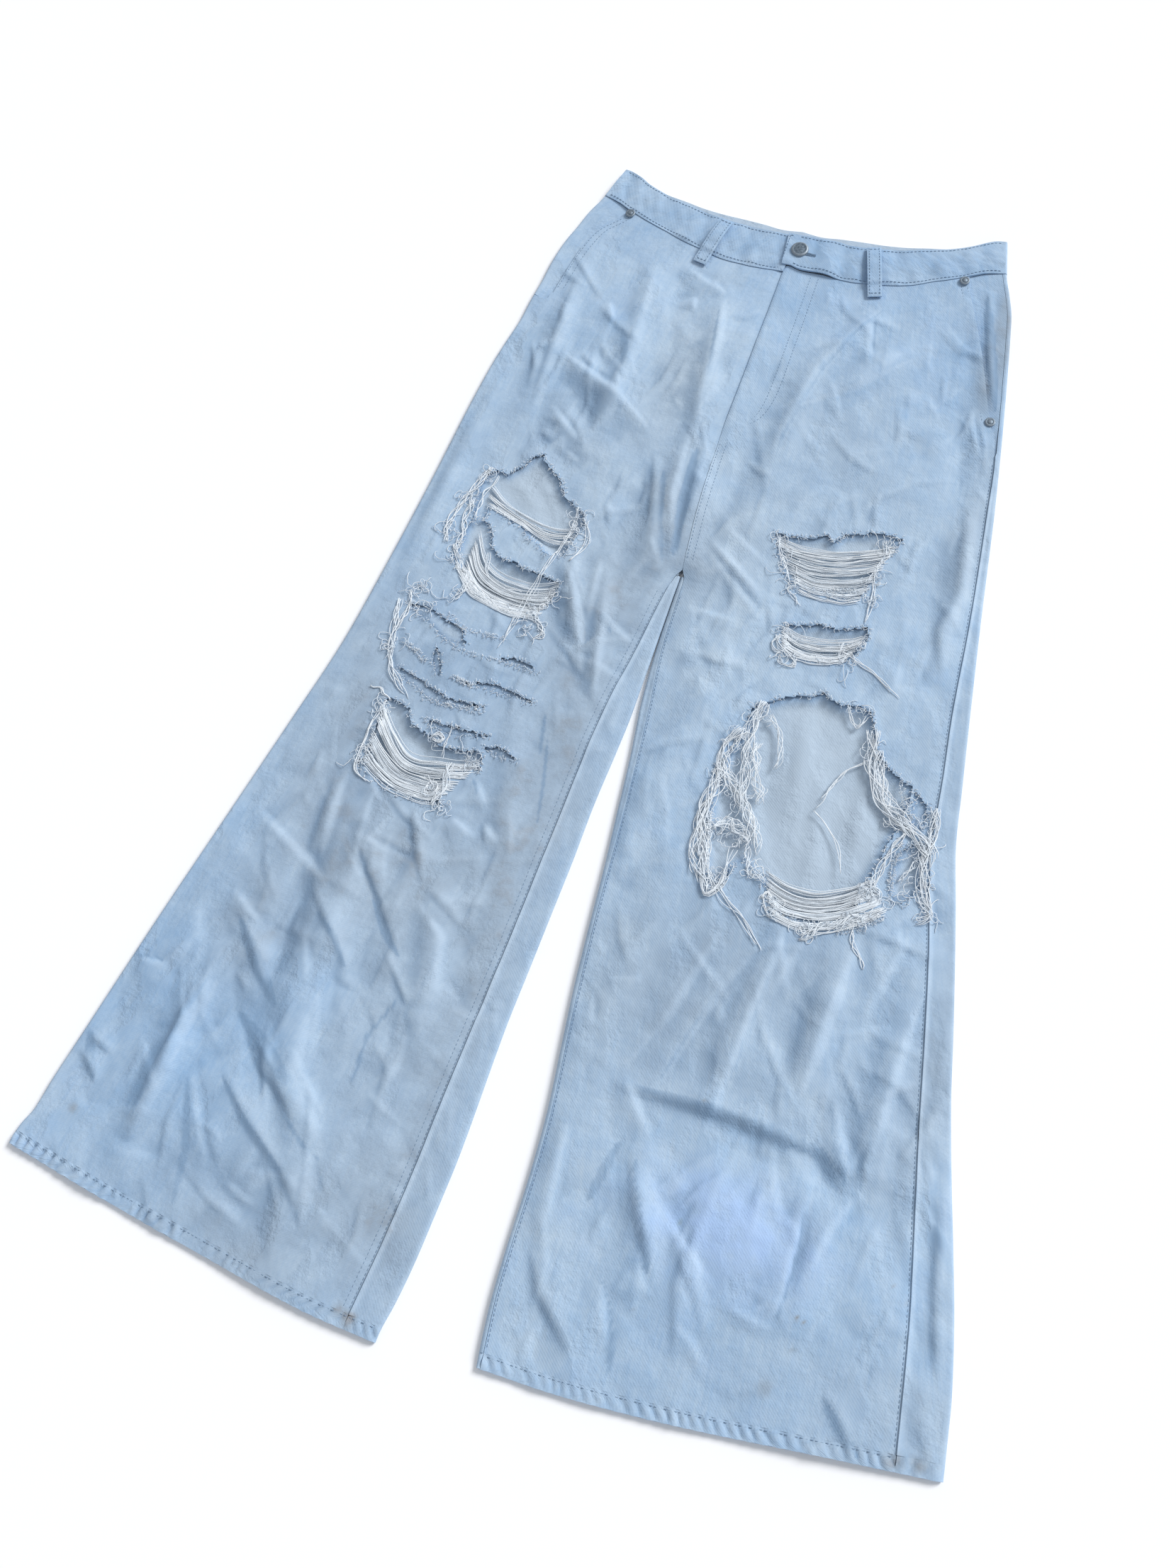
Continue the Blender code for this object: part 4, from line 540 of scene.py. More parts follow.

# Soil and painted shade: x, down, reach across and down, amount (below 0 a bluing stain)
SOIL_AND_SHADE = (
    # Painted shade: the first entry darkens the crotch folds, which lie in shadow
    (-0.032, 0.365, 0.022, 0.05, 0.7), (-0.15, 1.075, 0.07, 0.03, 0.5),
    (-0.07, 0.56, 0.05, 0.08, 0.25), (-0.045, 0.82, 0.026, 0.26, 0.65),
    (-0.16, 0.7, 0.11, 0.18, 0.38), (-0.245, 0.85, 0.04, 0.05, 0.6),
    (-0.19, 1.03, 0.07, 0.045, 0.35), (0.312, 0.78, 0.022, 0.11, 0.6),
    (0.232, 0.32, 0.016, 0.07, 0.6), (-0.04, 0.62, 0.04, 0.1, 0.3), (-0.235, 0.64, 0.03, 0.12, 0.3),
    # The entries at x 0.212 and 0.208 darken the cloth inside the pocket mouth: grime, and painted
    # shade where it lies in shadow
    (0.2, 0.94, 0.056, 0.034, -1.3), (0.08, 0.3, 0.08, 0.08, 0.12), (0.212, 0.1, 0.012, 0.07, 0.9),
    (0.208, 0.12, 0.01, 0.06, 0.9), (-0.15, 0.33, 0.07, 0.06, 0.35), (-0.23, 0.6, 0.04, 0.15, 0.2),
    (-0.1, 0.25, 0.05, 0.06, 0.15), (-0.04, 0.45, 0.05, 0.07, 0.5), (-0.1, 0.48, 0.05, 0.06, 0.3),
    (-0.06, 0.23, 0.03, 0.08, 0.35), (-0.17, 0.62, 0.07, 0.08, 0.15),
    (-0.13, 0.76, 0.06, 0.06, 0.55), (-0.2, 0.76, 0.04, 0.06, 0.4), (-0.1, 0.9, 0.05, 0.08, 0.4),
    (-0.08, 1.02, 0.06, 0.05, 0.55), (-0.055, 0.665, 0.03, 0.03, 0.45),
    (0.01, 0.4, 0.03, 0.06, 0.45), (0.12, 0.39, 0.08, 0.05, 0.25), (0.1, 0.78, 0.07, 0.08, 0.55),
    (0.2, 0.73, 0.06, 0.06, 0.4), (0.25, 0.84, 0.05, 0.05, 0.3), (0.28, 0.56, 0.04, 0.12, 0.3),
    (0.17, 0.6, 0.06, 0.07, 0.3), (0.33, 1.02, 0.05, 0.04, 0.35), (0.09, 0.25, 0.05, 0.06, 0.2),
)

# Painted shade and painted highlight on facets, by how they turn to the sun: half width, tone (above 0
# darker), then x, down
FACET_SHADE_AND_HIGHLIGHT = (
    (0.0055, 0.6, (0.1175, 0.914), (0.139, 0.948), (0.151, 0.99)),
    (0.004, 0.45, (0.102, 0.905), (0.097, 0.929), (0.093, 0.955)),
    (0.0035, 0.5, (0.122, 1.004), (0.136, 1.034), (0.147, 1.064)),
    (0.0035, 0.5, (0.246, 0.828), (0.259, 0.86), (0.273, 0.884)),
    (0.0018, 0.6, (0.247, 0.892), (0.252, 0.942), (0.25, 0.99)),
    (0.0045, 0.45, (0.296, 1.031), (0.311, 1.044), (0.33, 1.059)),
    (0.0018, 0.5, (0.138, 0.777), (0.127, 0.811), (0.1165, 0.853)),
    (0.0018, 0.5, (0.1745, 0.744), (0.171, 0.797), (0.166, 0.856)),
    (0.003, -0.5, (0.227, 0.745), (0.229, 0.787), (0.222, 0.835)),
    (0.0035, 0.45, (0.34, 0.889), (0.354, 0.908), (0.359, 0.921)),
    (0.005, 0.55, (0.1, 0.862), (0.163, 0.861), (0.213, 0.863), (0.251, 0.867), (0.268, 0.89)),
    (0.0055, 0.55, (-0.254, 0.83), (-0.228, 0.857), (-0.195, 0.89)),
    (0.0035, 0.6, (-0.152, 0.783), (-0.133, 0.805), (-0.114, 0.822)),
    (0.0025, 0.6, (-0.191, 0.807), (-0.169, 0.823), (-0.153, 0.843)),
    (0.006, 0.5, (-0.225, 0.902), (-0.186, 0.925), (-0.149, 0.95)),
    (0.003, 0.55, (-0.215, 0.954), (-0.185, 0.98), (-0.14, 1.007)),
    (0.0035, -0.5, (-0.249, 0.882), (-0.262, 0.941), (-0.269, 1.008)),
    (0.003, 0.5, (-0.257, 0.882), (-0.271, 0.941), (-0.28, 1.0)),
    (0.0045, 0.5, (-0.338, 0.952), (-0.326, 0.975), (-0.316, 0.99)),
    (0.0035, 0.4, (-0.242, 0.962), (-0.221, 1.013), (-0.213, 1.059)),
    (0.0018, 0.6, (-0.101, 0.851), (-0.115, 0.889), (-0.113, 0.932)),
    (0.0016, 0.5, (-0.328, 0.884), (-0.297, 0.882)),
    (0.002, 0.45, (-0.158, 0.964), (-0.131, 0.984), (-0.113, 0.991)),
    (0.005, -0.55, (-0.1, 0.442), (-0.081, 0.477), (-0.06, 0.514)),
    (0.0018, 0.45, (-0.087, 0.448), (-0.076, 0.463)),
    (0.004, 0.45, (-0.054, 0.482), (-0.041, 0.497)),
    (0.0016, 0.6, (-0.071, 0.583), (-0.063, 0.621)),
    (0.0016, 0.6, (-0.061, 0.606), (-0.051, 0.646), (-0.044, 0.683)),
    (0.0018, 0.55, (-0.11, 0.658), (-0.099, 0.672), (-0.09, 0.68)),
    (0.002, 0.65, (-0.05, 0.142), (-0.041, 0.194), (-0.031, 0.26)),
    (0.0024, 0.55, (0.1, 0.105), (0.08, 0.14), (0.06, 0.19), (0.046, 0.27), (0.049, 0.312)),
    (0.003, -0.45, (0.139, 0.154), (0.095, 0.201), (0.052, 0.233)),
    (0.0016, 0.5, (0.093, 0.117), (0.101, 0.158)),
    (0.005, 0.4, (-0.131, 0.19), (-0.112, 0.234), (-0.105, 0.28)),
    (0.002, -0.4, (-0.178, 0.228), (-0.139, 0.246), (-0.103, 0.274)),
    (0.005, 0.75, (0.186, 0.066), (0.203, 0.127), (0.222, 0.19)),
    (0.006, 0.6, (-0.024, 0.3), (-0.02, 0.35), (-0.012, 0.41)),
    (0.005, 0.45, (-0.045, 0.33), (-0.036, 0.38), (-0.02, 0.42)),
)

# Spots of dirt: x, down, radius, amount
SPOTS = (
    (-0.234, 0.74, 0.003, 0.8), (-0.323, 1.015, 0.004, 0.7), (-0.052, 1.09, 0.007, 1.0),
    (-0.06, 1.086, 0.005, 0.9), (-0.155, 1.075, 0.004, 0.7), (0.263, 0.984, 0.0016, 1.0),
    (0.269, 0.986, 0.0014, 1.0), (0.267, 1.006, 0.0016, 1.0), (0.164, 0.947, 0.0015, 0.8),
    (0.151, 1.015, 0.0016, 0.8), (0.323, 0.941, 0.0014, 0.8), (0.336, 0.948, 0.0014, 0.8),
    (0.155, 0.857, 0.0022, 0.8), (0.255, 1.035, 0.006, 0.6), (0.352, 1.052, 0.008, 0.8),
    (0.37, 1.05, 0.008, 0.8),
)

# Belt loops: x and down at the top middle and the bottom middle
LOOPS = {
    "belt_loop_right": ((-0.0725, 0.0440), (-0.0845, 0.0965)),
    "belt_loop_left": ((0.0715, 0.0415), (0.0865, 0.0955)),
}
LOOP_WIDTH = 0.0130
LOOP_WALL = 0.0019
LOOP_ARCH = 0.0022
OVERLAP_END = (-0.0110, -0.0080)
UNDERLAP = ((0.0280, 0.0280), (0.0140, 0.0140), (-0.0030, -0.0044))
OVERLAP_RISE = 0.0026
OVERLAP_RAMP = 0.0500
UNDERLAP_BOTTOM = 0.0760

# What parts the layers, and where the seams begin
LOWER_LAYER_TOP = 0.0022
UPPER_LAYER_FROM = 0.0030
INSEAM_FROM = 0.436
FLY_END = 0.300
SEAM_STITCH_INSET = 0.0016

# Strength of the creases and of the painted shade and highlight that mark them
CREASE_LIFT = 1.7
INNER_FOLD_LIFT = 1.8
PAINTED_FACET_REACH = 0.012
PAINTED_FACET_EDGE = 0.0014
PAINTED_FACET_STRENGTH = 1.6

# Torn edges
TEAR_STEP = 0.0025
TEAR_DEPTH = 0.0007
FRAY_SPACING = 0.00095

# Fineness of the meshes
FRONT_ROWS = 400
FRONT_COLUMNS = 116
BACK_ROWS = 260
BACK_COLUMNS = 72
STRIP_COLUMNS = 14
FOLD_STEPS = 6
MAP_STEP = 0.0025           # spacing of the height map that threads and stitches lie on
FRAY_RADIUS = 0.00025
FIBRE_RADIUS = 0.00030
YARN_RADIUS = 0.00040

draw = np.random.default_rng(23)
button_low, button_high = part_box("waist_button")
MOVE = np.array((
    (button_low.x + button_high.x) / 2 - BUTTON_AT[0],
    (button_low.y + button_high.y) / 2 + BUTTON_AT[1],
    CAD_BOX[0].z + 0.00002,
))


# Shapes of the flat garment

def smooth_step(value):
    value = np.clip(value, 0.0, 1.0)
    return value * value * (3.0 - 2.0 * value)


def mix(low, high, part):
    return low + (high - low) * part


def along(table, at):
    """Read a two-column table on a smooth curve through its rows."""
    rows = np.array(table)
    keys, values = rows[:, 0], rows[:, 1]
    slopes = np.empty(len(keys))
    slopes[1:-1] = (values[2:] - values[:-2]) / (keys[2:] - keys[:-2])
    slopes[0] = (values[1] - values[0]) / (keys[1] - keys[0])
    slopes[-1] = (values[-1] - values[-2]) / (keys[-1] - keys[-2])
    at = np.clip(at, keys[0], keys[-1])
    right = np.clip(np.searchsorted(keys, at), 1, len(keys) - 1)
    left = right - 1
    span = keys[right] - keys[left]
    part = (at - keys[left]) / span
    square = part * part
    cube = square * part
    return (
        (2 * cube - 3 * square + 1) * values[left]
        + (cube - 2 * square + part) * span * slopes[left]
        + (3 * square - 2 * cube) * values[right]
        + (cube - square) * span * slopes[right]
    )


def place(leg, v, across):
    """Away and down at v (0 waist seam, 1 hem) and across (0 outer fold, 1 middle)."""
    down = mix(along(leg.waist, across), along(leg.hem, across), v)
    return mix(along(leg.outer, down), along(leg.inner, down), across), down


def across_at(leg, v, away_of_down):
    """Part of the way across at which the leg meets a line given as away for each down."""
    across = np.full(np.shape(v), 0.5)
    for _ in range(8):
        down = mix(along(leg.waist, across), along(leg.hem, across), v)
        outer = along(leg.outer, down)
        across = (outer - away_of_down(down)) / (outer - along(leg.inner, down))
    return across


def soft_noise(x, y, size, seed):
    """Smooth noise from -1 to 1 that changes over about the given size."""
    cells = np.random.default_rng(seed).uniform(-1, 1, (64, 64))
    x = x / size + 17.3
    y = y / size + 5.1
    column = np.floor(x).astype(int)
    row = np.floor(y).astype(int)
    fx = smooth_step(x - column)
    fy = smooth_step(y - row)

    def cell(step_x, step_y):
        return cells[(row + step_y) % 64, (column + step_x) % 64]

    return mix(mix(cell(0, 0), cell(1, 0), fx), mix(cell(0, 1), cell(1, 1), fx), fy)


def spread_of(x, down, table):
    """Sum of round zones, each strongest in its middle."""
    total = np.zeros(np.shape(x))
    for zone_x, zone_down, reach_x, reach_down, amount in table:
        total += amount * np.exp(-((x - zone_x) / reach_x) ** 2
                                 - ((down - zone_down) / reach_down) ** 2)
    return total


def near_line(x, down, line, reach):
    """Which spots are near a line, and for those the distance, part of the way and side."""
    points = np.array(line)
    low, high = points.min(0) - reach, points.max(0) + reach
    near = (x > low[0]) & (x < high[0]) & (down > low[1]) & (down < high[1])
    near_x, near_down = x[near], down[near]
    lengths = np.linalg.norm(np.diff(points, axis=0), axis=1)
    starts = np.concatenate(([0.0], np.cumsum(lengths)))
    best = np.full(near_x.shape, 1e9)
    at = np.zeros(near_x.shape)
    side = np.zeros(near_x.shape)
    for start, first, second, length in zip(starts, points, points[1:], lengths):
        step = (second - first) / length
        from_x, from_down = near_x - first[0], near_down - first[1]
        part = np.clip(from_x * step[0] + from_down * step[1], 0, length)
        distance = np.hypot(from_x - step[0] * part, from_down - step[1] * part)
        closer = distance < best
        best = np.where(closer, distance, best)
        at = np.where(closer, start + part, at)
        side = np.where(closer, from_x * step[1] - from_down * step[0], side)
    return near, best, at / starts[-1], side


def line_relief(x, down, line, half_width, height, taper):
    """Height that a fold adds; taper is its share of the height left at the ends."""
    near, distance, part, _ = near_line(x, down, line, 3 * half_width)
    total = np.zeros(x.shape)
    share = mix(taper, 1.0, np.sin(np.pi * part))
    total[near] = height * share * np.exp(-(distance / half_width) ** 2)
    return total


def crease_relief(x, down, line, half_width, height):
    """Height that a sharp crease adds: a steep facet, and a long gentle slope behind it."""
    near, _, part, side = near_line(x, down, line, 10 * half_width)
    total = np.zeros(x.shape)
    to_light = 1 if line[-1][0] + line[-1][1] > line[0][0] + line[0][1] else -1
    share = np.sin(np.pi * part)
    steep = 2 * half_width * (0.35 + 0.65 * share)
    reach = side * to_light * (-1 if height > 0 else 1)
    rising = smooth_step(reach / steep + 0.5)
    falling = np.clip(1 - (reach - steep / 2) / (3.5 * steep), 0, 1) ** 2
    total[near] = abs(height) * share * np.where(reach < steep / 2, rising, falling)
    return total


def small_creases():
    """Small creases of uneven length, depth and spacing all over the fronts."""
    lines = []
    for _ in range(420):
        side = draw.choice((-1, 1))
        down = draw.uniform(0.10, 1.05)
        leg = LEFT if side > 0 else RIGHT
        across = draw.uniform(0.05, 0.95)
        away = float(mix(along(leg.outer, down), along(leg.inner, down), across))
        length = draw.uniform(0.018, 0.085)
        heading = draw.normal(math.radians(66), math.radians(32)) * draw.choice((-1, 1, 1))
        bend = draw.normal(0, 0.35)
        points = [(side * away, down)]
        for step in (0.5, 1.0):
            angle = heading + bend * step
            points.append((points[-1][0] + math.cos(angle) * length / 2,
                           points[-1][1] + math.sin(angle) * length / 2))
        height = draw.uniform(0.0003, 0.0009) * draw.choice((-1, -1, 1))
        lines.append((draw.uniform(0.0015, 0.0030), height, *points))
    return lines


SMALL_CREASES = small_creases()


# Maps of the front, in cells of x by down

MAP_LOW = np.array((-0.40, 0.0))
MAP_COLUMNS = int(0.80 / MAP_STEP)
MAP_ROWS = int(1.11 / MAP_STEP)
MAP_X, MAP_DOWN = np.meshgrid(MAP_LOW[0] + np.arange(MAP_COLUMNS) * MAP_STEP,
                              MAP_LOW[1] + np.arange(MAP_ROWS) * MAP_STEP)


def read_map(table, x, down):
    column = np.clip((x - MAP_LOW[0]) / MAP_STEP, 0, MAP_COLUMNS - 1.001)
    row = np.clip((down - MAP_LOW[1]) / MAP_STEP, 0, MAP_ROWS - 1.001)
    c, r = column.astype(int), row.astype(int)
    fc, fr = column - c, row - r
    return mix(mix(table[r, c], table[r, c + 1], fc), mix(table[r + 1, c], table[r + 1, c + 1], fc),
               fr)


def facet_map(spacing, stretch, seed):
    """Flat facets between scattered points of random height, as crumpled cloth has."""
    random = np.random.default_rng(seed)
    grid_x, grid_down = np.meshgrid(np.arange(-0.46, 0.46, spacing),
                                    np.arange(-0.08, 1.20, spacing * stretch))
    points = np.stack((grid_x.ravel(), grid_down.ravel()), 1)
    points += random.uniform(-0.48, 0.48, points.shape) * spacing * np.array((1, stretch))
    levels = random.uniform(-1, 1, len(points))
    table = np.zeros(MAP_X.shape)
    spots = [Vector(point) for point in points.tolist()]
    spots, _, triangles, origin, _, _ = geometry.delaunay_2d_cdt(spots, [], [], 0, 1e-7)
    levels = [levels[found[0]] for found in origin]
    for triangle in triangles:
        corners = np.array([spots[at] for at in triangle])
        first = np.floor((corners.min(0) - MAP_LOW) / MAP_STEP).astype(int)
        last = np.ceil((corners.max(0) - MAP_LOW) / MAP_STEP).astype(int) + 1
        first = np.clip(first, 0, (MAP_COLUMNS, MAP_ROWS))
        last = np.clip(last, 0, (MAP_COLUMNS, MAP_ROWS))
        window = (slice(first[1], last[1]), slice(first[0], last[0]))
        x, down = MAP_X[window], MAP_DOWN[window]
        if x.size == 0:
            continue
        (ax, ad), (bx, bd), (cx, cd) = corners
        whole = (bd - cd) * (ax - cx) + (cx - bx) * (ad - cd)
        one = ((bd - cd) * (x - cx) + (cx - bx) * (down - cd)) / whole
        two = ((cd - ad) * (x - cx) + (ax - cx) * (down - cd)) / whole
        inside = (one >= -1e-6) & (two >= -1e-6) & (one + two <= 1 + 1e-6)
        level = one * levels[triangle[0]] + two * levels[triangle[1]]
        level += (1 - one - two) * levels[triangle[2]]
        table[window] = np.where(inside, level, table[window])
    return table


BROAD_FACETS = facet_map(0.034, 1.7, 71)
FINE_FACETS = facet_map(0.015, 1.5, 72)


def crumple(x, down):
    """Unevenness of worn, tumbled cloth: soft swells, broad facets and fine ones."""
    swell = 0.0005 * soft_noise(x, down, 0.045, 1)
    places = spread_of(x, down, CRUSHED)
    crushed = np.clip(0.35 + places + 0.35 * soft_noise(x, down, 0.07, 3), 0.1, 1)
    finely = np.clip(0.2 + places + 0.7 * soft_noise(x, down, 0.05, 4), 0.05, 1)
    return (swell + 0.0030 * crushed * read_map(BROAD_FACETS, x, down)
            + 0.0015 * finely * read_map(FINE_FACETS, x, down))


def top_height(leg, away, down, cloth):
    """Height of the upper layer's middle."""
    base = cloth.wall / 2 + 2 * cloth.radius
    outer = along(leg.outer, down)
    inner = along(leg.inner, down)
    across = np.clip((outer - away) / (outer - inner), 0, 1)
    in_leg = smooth_step((down - CROTCH_DOWN + 0.03) / 0.06)
    puff = mix(np.sin(np.pi / 2 * across), np.sin(np.pi * across), in_leg)
    puff = puff * smooth_step((down - 0.08) / 0.12) * smooth_step((1.09 - down) / 0.10)
    to_fold = outer - away
    to_fold = np.where(in_leg > 0, np.minimum(to_fold, mix(FOLD_FADE, away - inner, in_leg)),
                       to_fold)
    fade = smooth_step(to_fold / FOLD_FADE)
    x = leg.side * away
    relief = PUFF * puff
    for x_from, down_from, x_to, down_to, half_width, height in FOLDS:
        ends = ((x_from, down_from), (x_to, down_to))
        relief = relief + line_relief(x, down, ends, half_width, height, 0.4)
    sharp = crumple(x, down)
    for half_width, height, *line in (*CREASES, *SMALL_CREASES):
        sharp = sharp + crease_relief(x, down, line, half_width, height * CREASE_LIFT)
    from_waist = smooth_step((down - along(leg.waist, across) - 0.004) / 0.035)
    relief = relief + sharp * from_waist
    return np.maximum(base + fade * relief, LOWEST_FRONT)


def torn_ring(ring, seed):
    """A rip's outline with the uneven edge that tearing leaves."""
    rough = []
    for (x_from, down_from), (x_to, down_to) in zip(ring, ring[1:] + ring[:1]):
        length = math.hypot(x_to - x_from, down_to - down_from)
        steps = max(1, round(length / TEAR_STEP))
        for step in range(steps):
            rough.append((mix(x_from, x_to, step / steps), mix(down_from, down_to, step / steps)))
    rough = np.array(rough)
    following = np.roll(rough, -1, 0) - np.roll(rough, 1, 0)
    normal = np.stack((following[:, 1], -following[:, 0]), 1)
    normal /= np.linalg.norm(normal, axis=1, keepdims=True) + 1e-9
    tear = np.random.default_rng(seed).normal(0, TEAR_DEPTH, len(rough))
    return rough + normal * tear[:, None]


RINGS = [torn_ring(ring, 40 + at) for at, ring in enumerate(RIPS.values())]


def in_ring(x, down, ring):
    inside = np.zeros(x.shape, bool)
    for (x_from, down_from), (x_to, down_to) in zip(ring, np.roll(ring, -1, 0)):
        if down_from == down_to:
            continue
        crosses = (down_from > down) != (down_to > down)
        inside ^= crosses & (x < x_from + (down - down_from) * (x_to - x_from)
                             / (down_to - down_from))
    return inside


def nearest_on_ring(x, down, ring):
    """Distance to a ring, and the nearest point on it."""
    best = np.full(x.shape, 1e9)
    at_x, at_down = x.copy(), down.copy()
    for first, second in zip(ring, np.roll(ring, -1, 0)):
        run = second - first
        part = ((x - first[0]) * run[0] + (down - first[1]) * run[1]) / (run @ run + 1e-12)
        part = np.clip(part, 0, 1)
        spot_x, spot_down = first[0] + run[0] * part, first[1] + run[1] * part
        distance = np.hypot(x - spot_x, down - spot_down)
        closer = distance < best
        best = np.where(closer, distance, best)
        at_x = np.where(closer, spot_x, at_x)
        at_down = np.where(closer, spot_down, at_down)
    return best, at_x, at_down


def rip_depth_map(rings):
    """Distance into the nearest rip, and below 0 outside it."""
    table = np.full(MAP_X.shape, -0.05)
    for ring in rings:
        low, high = ring.min(0) - 0.02, ring.max(0) + 0.02
        near = ((MAP_X > low[0]) & (MAP_X < high[0]) & (MAP_DOWN > low[1])
                & (MAP_DOWN < high[1]))
        distance = nearest_on_ring(MAP_X[near], MAP_DOWN[near], ring)[0]
        signed = np.where(in_ring(MAP_X[near], MAP_DOWN[near], ring), distance, -distance)
        table[near] = np.maximum(table[near], signed)
    return table


RIP_DEPTH = rip_depth_map(RINGS)
SLIT_DEPTH = rip_depth_map([ring for ring in RINGS if np.ptp(ring[:, 1]) < 0.030])
FRONT_TOP = DENIM.wall / 2 + np.where(
    MAP_X < 0, top_height(RIGHT, -np.minimum(MAP_X, 0), MAP_DOWN, DENIM),
    top_height(LEFT, np.maximum(MAP_X, 0), MAP_DOWN, DENIM))


def cloth_top(x, down, keep=0.2):
    """Top of the cloth at a spot. In a rip the surface sinks to the back, by 1 - keep."""
    sunk = smooth_step((read_map(RIP_DEPTH, x, down) + 0.001) / 0.007) * (1 - keep)
    return mix(read_map(FRONT_TOP, x, down), inner_back_top(x, down), sunk)


# Soft folds of the back that show through the rips: x and down of both ends, half width, height
INNER_FOLDS = (
    (0.14, 0.52, 0.162, 0.64, 0.01, 0.0016), (0.165, 0.56, 0.19, 0.69, 0.009, 0.0013),
    (0.205, 0.56, 0.212, 0.65, 0.009, 0.0016), (0.112, 0.62, 0.15, 0.665, 0.008, 0.0012),
    (0.125, 0.56, 0.13, 0.62, 0.007, -0.0008), (0.11, 0.375, 0.15, 0.395, 0.007, 0.001),
    (-0.18, 0.365, -0.14, 0.4, 0.009, 0.0013), (-0.16, 0.35, -0.125, 0.395, 0.008, 0.0012),
    (-0.19, 0.43, -0.15, 0.48, 0.008, 0.0012), (-0.15, 0.46, -0.115, 0.49, 0.008, 0.001),
    (-0.19, 0.63, -0.16, 0.68, 0.008, 0.0012),
)


def inner_back_top(x, down):
    """Top of the back's inner side, which shows through the rips."""
    swell = 0.5 + 0.5 * soft_noise(x, down, 0.030, 11)
    drift = 0.5 + 0.5 * soft_noise(x * 1.6, down * 0.7, 0.020, 12)
    facets = read_map(BROAD_FACETS, x * 0.9 + 0.03, down * 0.98 + 0.02)
    height = DENIM.wall + 0.0006 * swell + 0.0004 * drift + 0.0009 * (1 + facets)
    for x_from, down_from, x_to, down_to, half_width, fold in INNER_FOLDS:
        ends = ((x_from, down_from), (x_to, down_to))
        height = height + line_relief(x, down, ends, half_width, fold * INNER_FOLD_LIFT, 0.3)
    touching = smooth_step((read_map(SLIT_DEPTH, x, down) + 0.006) / 0.006)
    touching = np.maximum(touching, 0.85 * np.exp(-(read_map(RIP_DEPTH, x, down) / 0.0050) ** 2))
    return mix(height, read_map(FRONT_TOP, x, down) - DENIM.wall - 0.0005, touching)


def painted_light_map(heights):
    """Painted light: how far the cloth faces the sun at the plan's upper right (1) or turns away (-1).
    """
    along_down, along_x = np.gradient(heights, MAP_STEP)
    return np.clip((along_down - along_x) / 0.50, -1, 1)


# Painted highlight and painted shade: slopes toward the sun are painted paler, slopes away darker
FRONT_PAINTED_LIGHT = painted_light_map(FRONT_TOP)
BACK_PAINTED_LIGHT = painted_light_map(inner_back_top(MAP_X, MAP_DOWN))


# Colour zones on the cloth, with painted shade and highlight

def blurred(grid, rounds):
    for _ in range(rounds):
        padded = np.pad(grid, 1, mode="edge")
        grid = (padded[:-2, 1:-1] + padded[2:, 1:-1] + padded[1:-1, :-2] + padded[1:-1, 2:]
                + grid) / 5
    return grid


def seam_marks():
    """Paler lines along the edges of the seams that show."""
    lines = []
    for start, side, table in ((0.45, -1, RIGHT_INSEAM), (0.26, 1, LEFT_SIDE)):
        line = [(side * float(along(table, down)) + SEAM_STITCH_INSET, down)
                for down in np.linspace(start, 1.09, 24)]
        lines.append((0.0012, -0.9, *line))
    return lines


def facet_shade_and_highlight_of(x, down):
    """Painted shade and painted highlight on the listed facets, and pale seam lines, each lens-shaped
    along its line.
    """
    total = np.zeros(x.shape)
    for half_width, tone, *line in (*FACET_SHADE_AND_HIGHLIGHT, *seam_marks()):
        near, distance, part, _ = near_line(x, down, line, PAINTED_FACET_REACH)
        lens = np.sin(np.pi * part) ** 0.5
        total[near] += PAINTED_FACET_STRENGTH * tone * smooth_step(
            (half_width * lens - distance) / PAINTED_FACET_EDGE + 0.5)
    return total


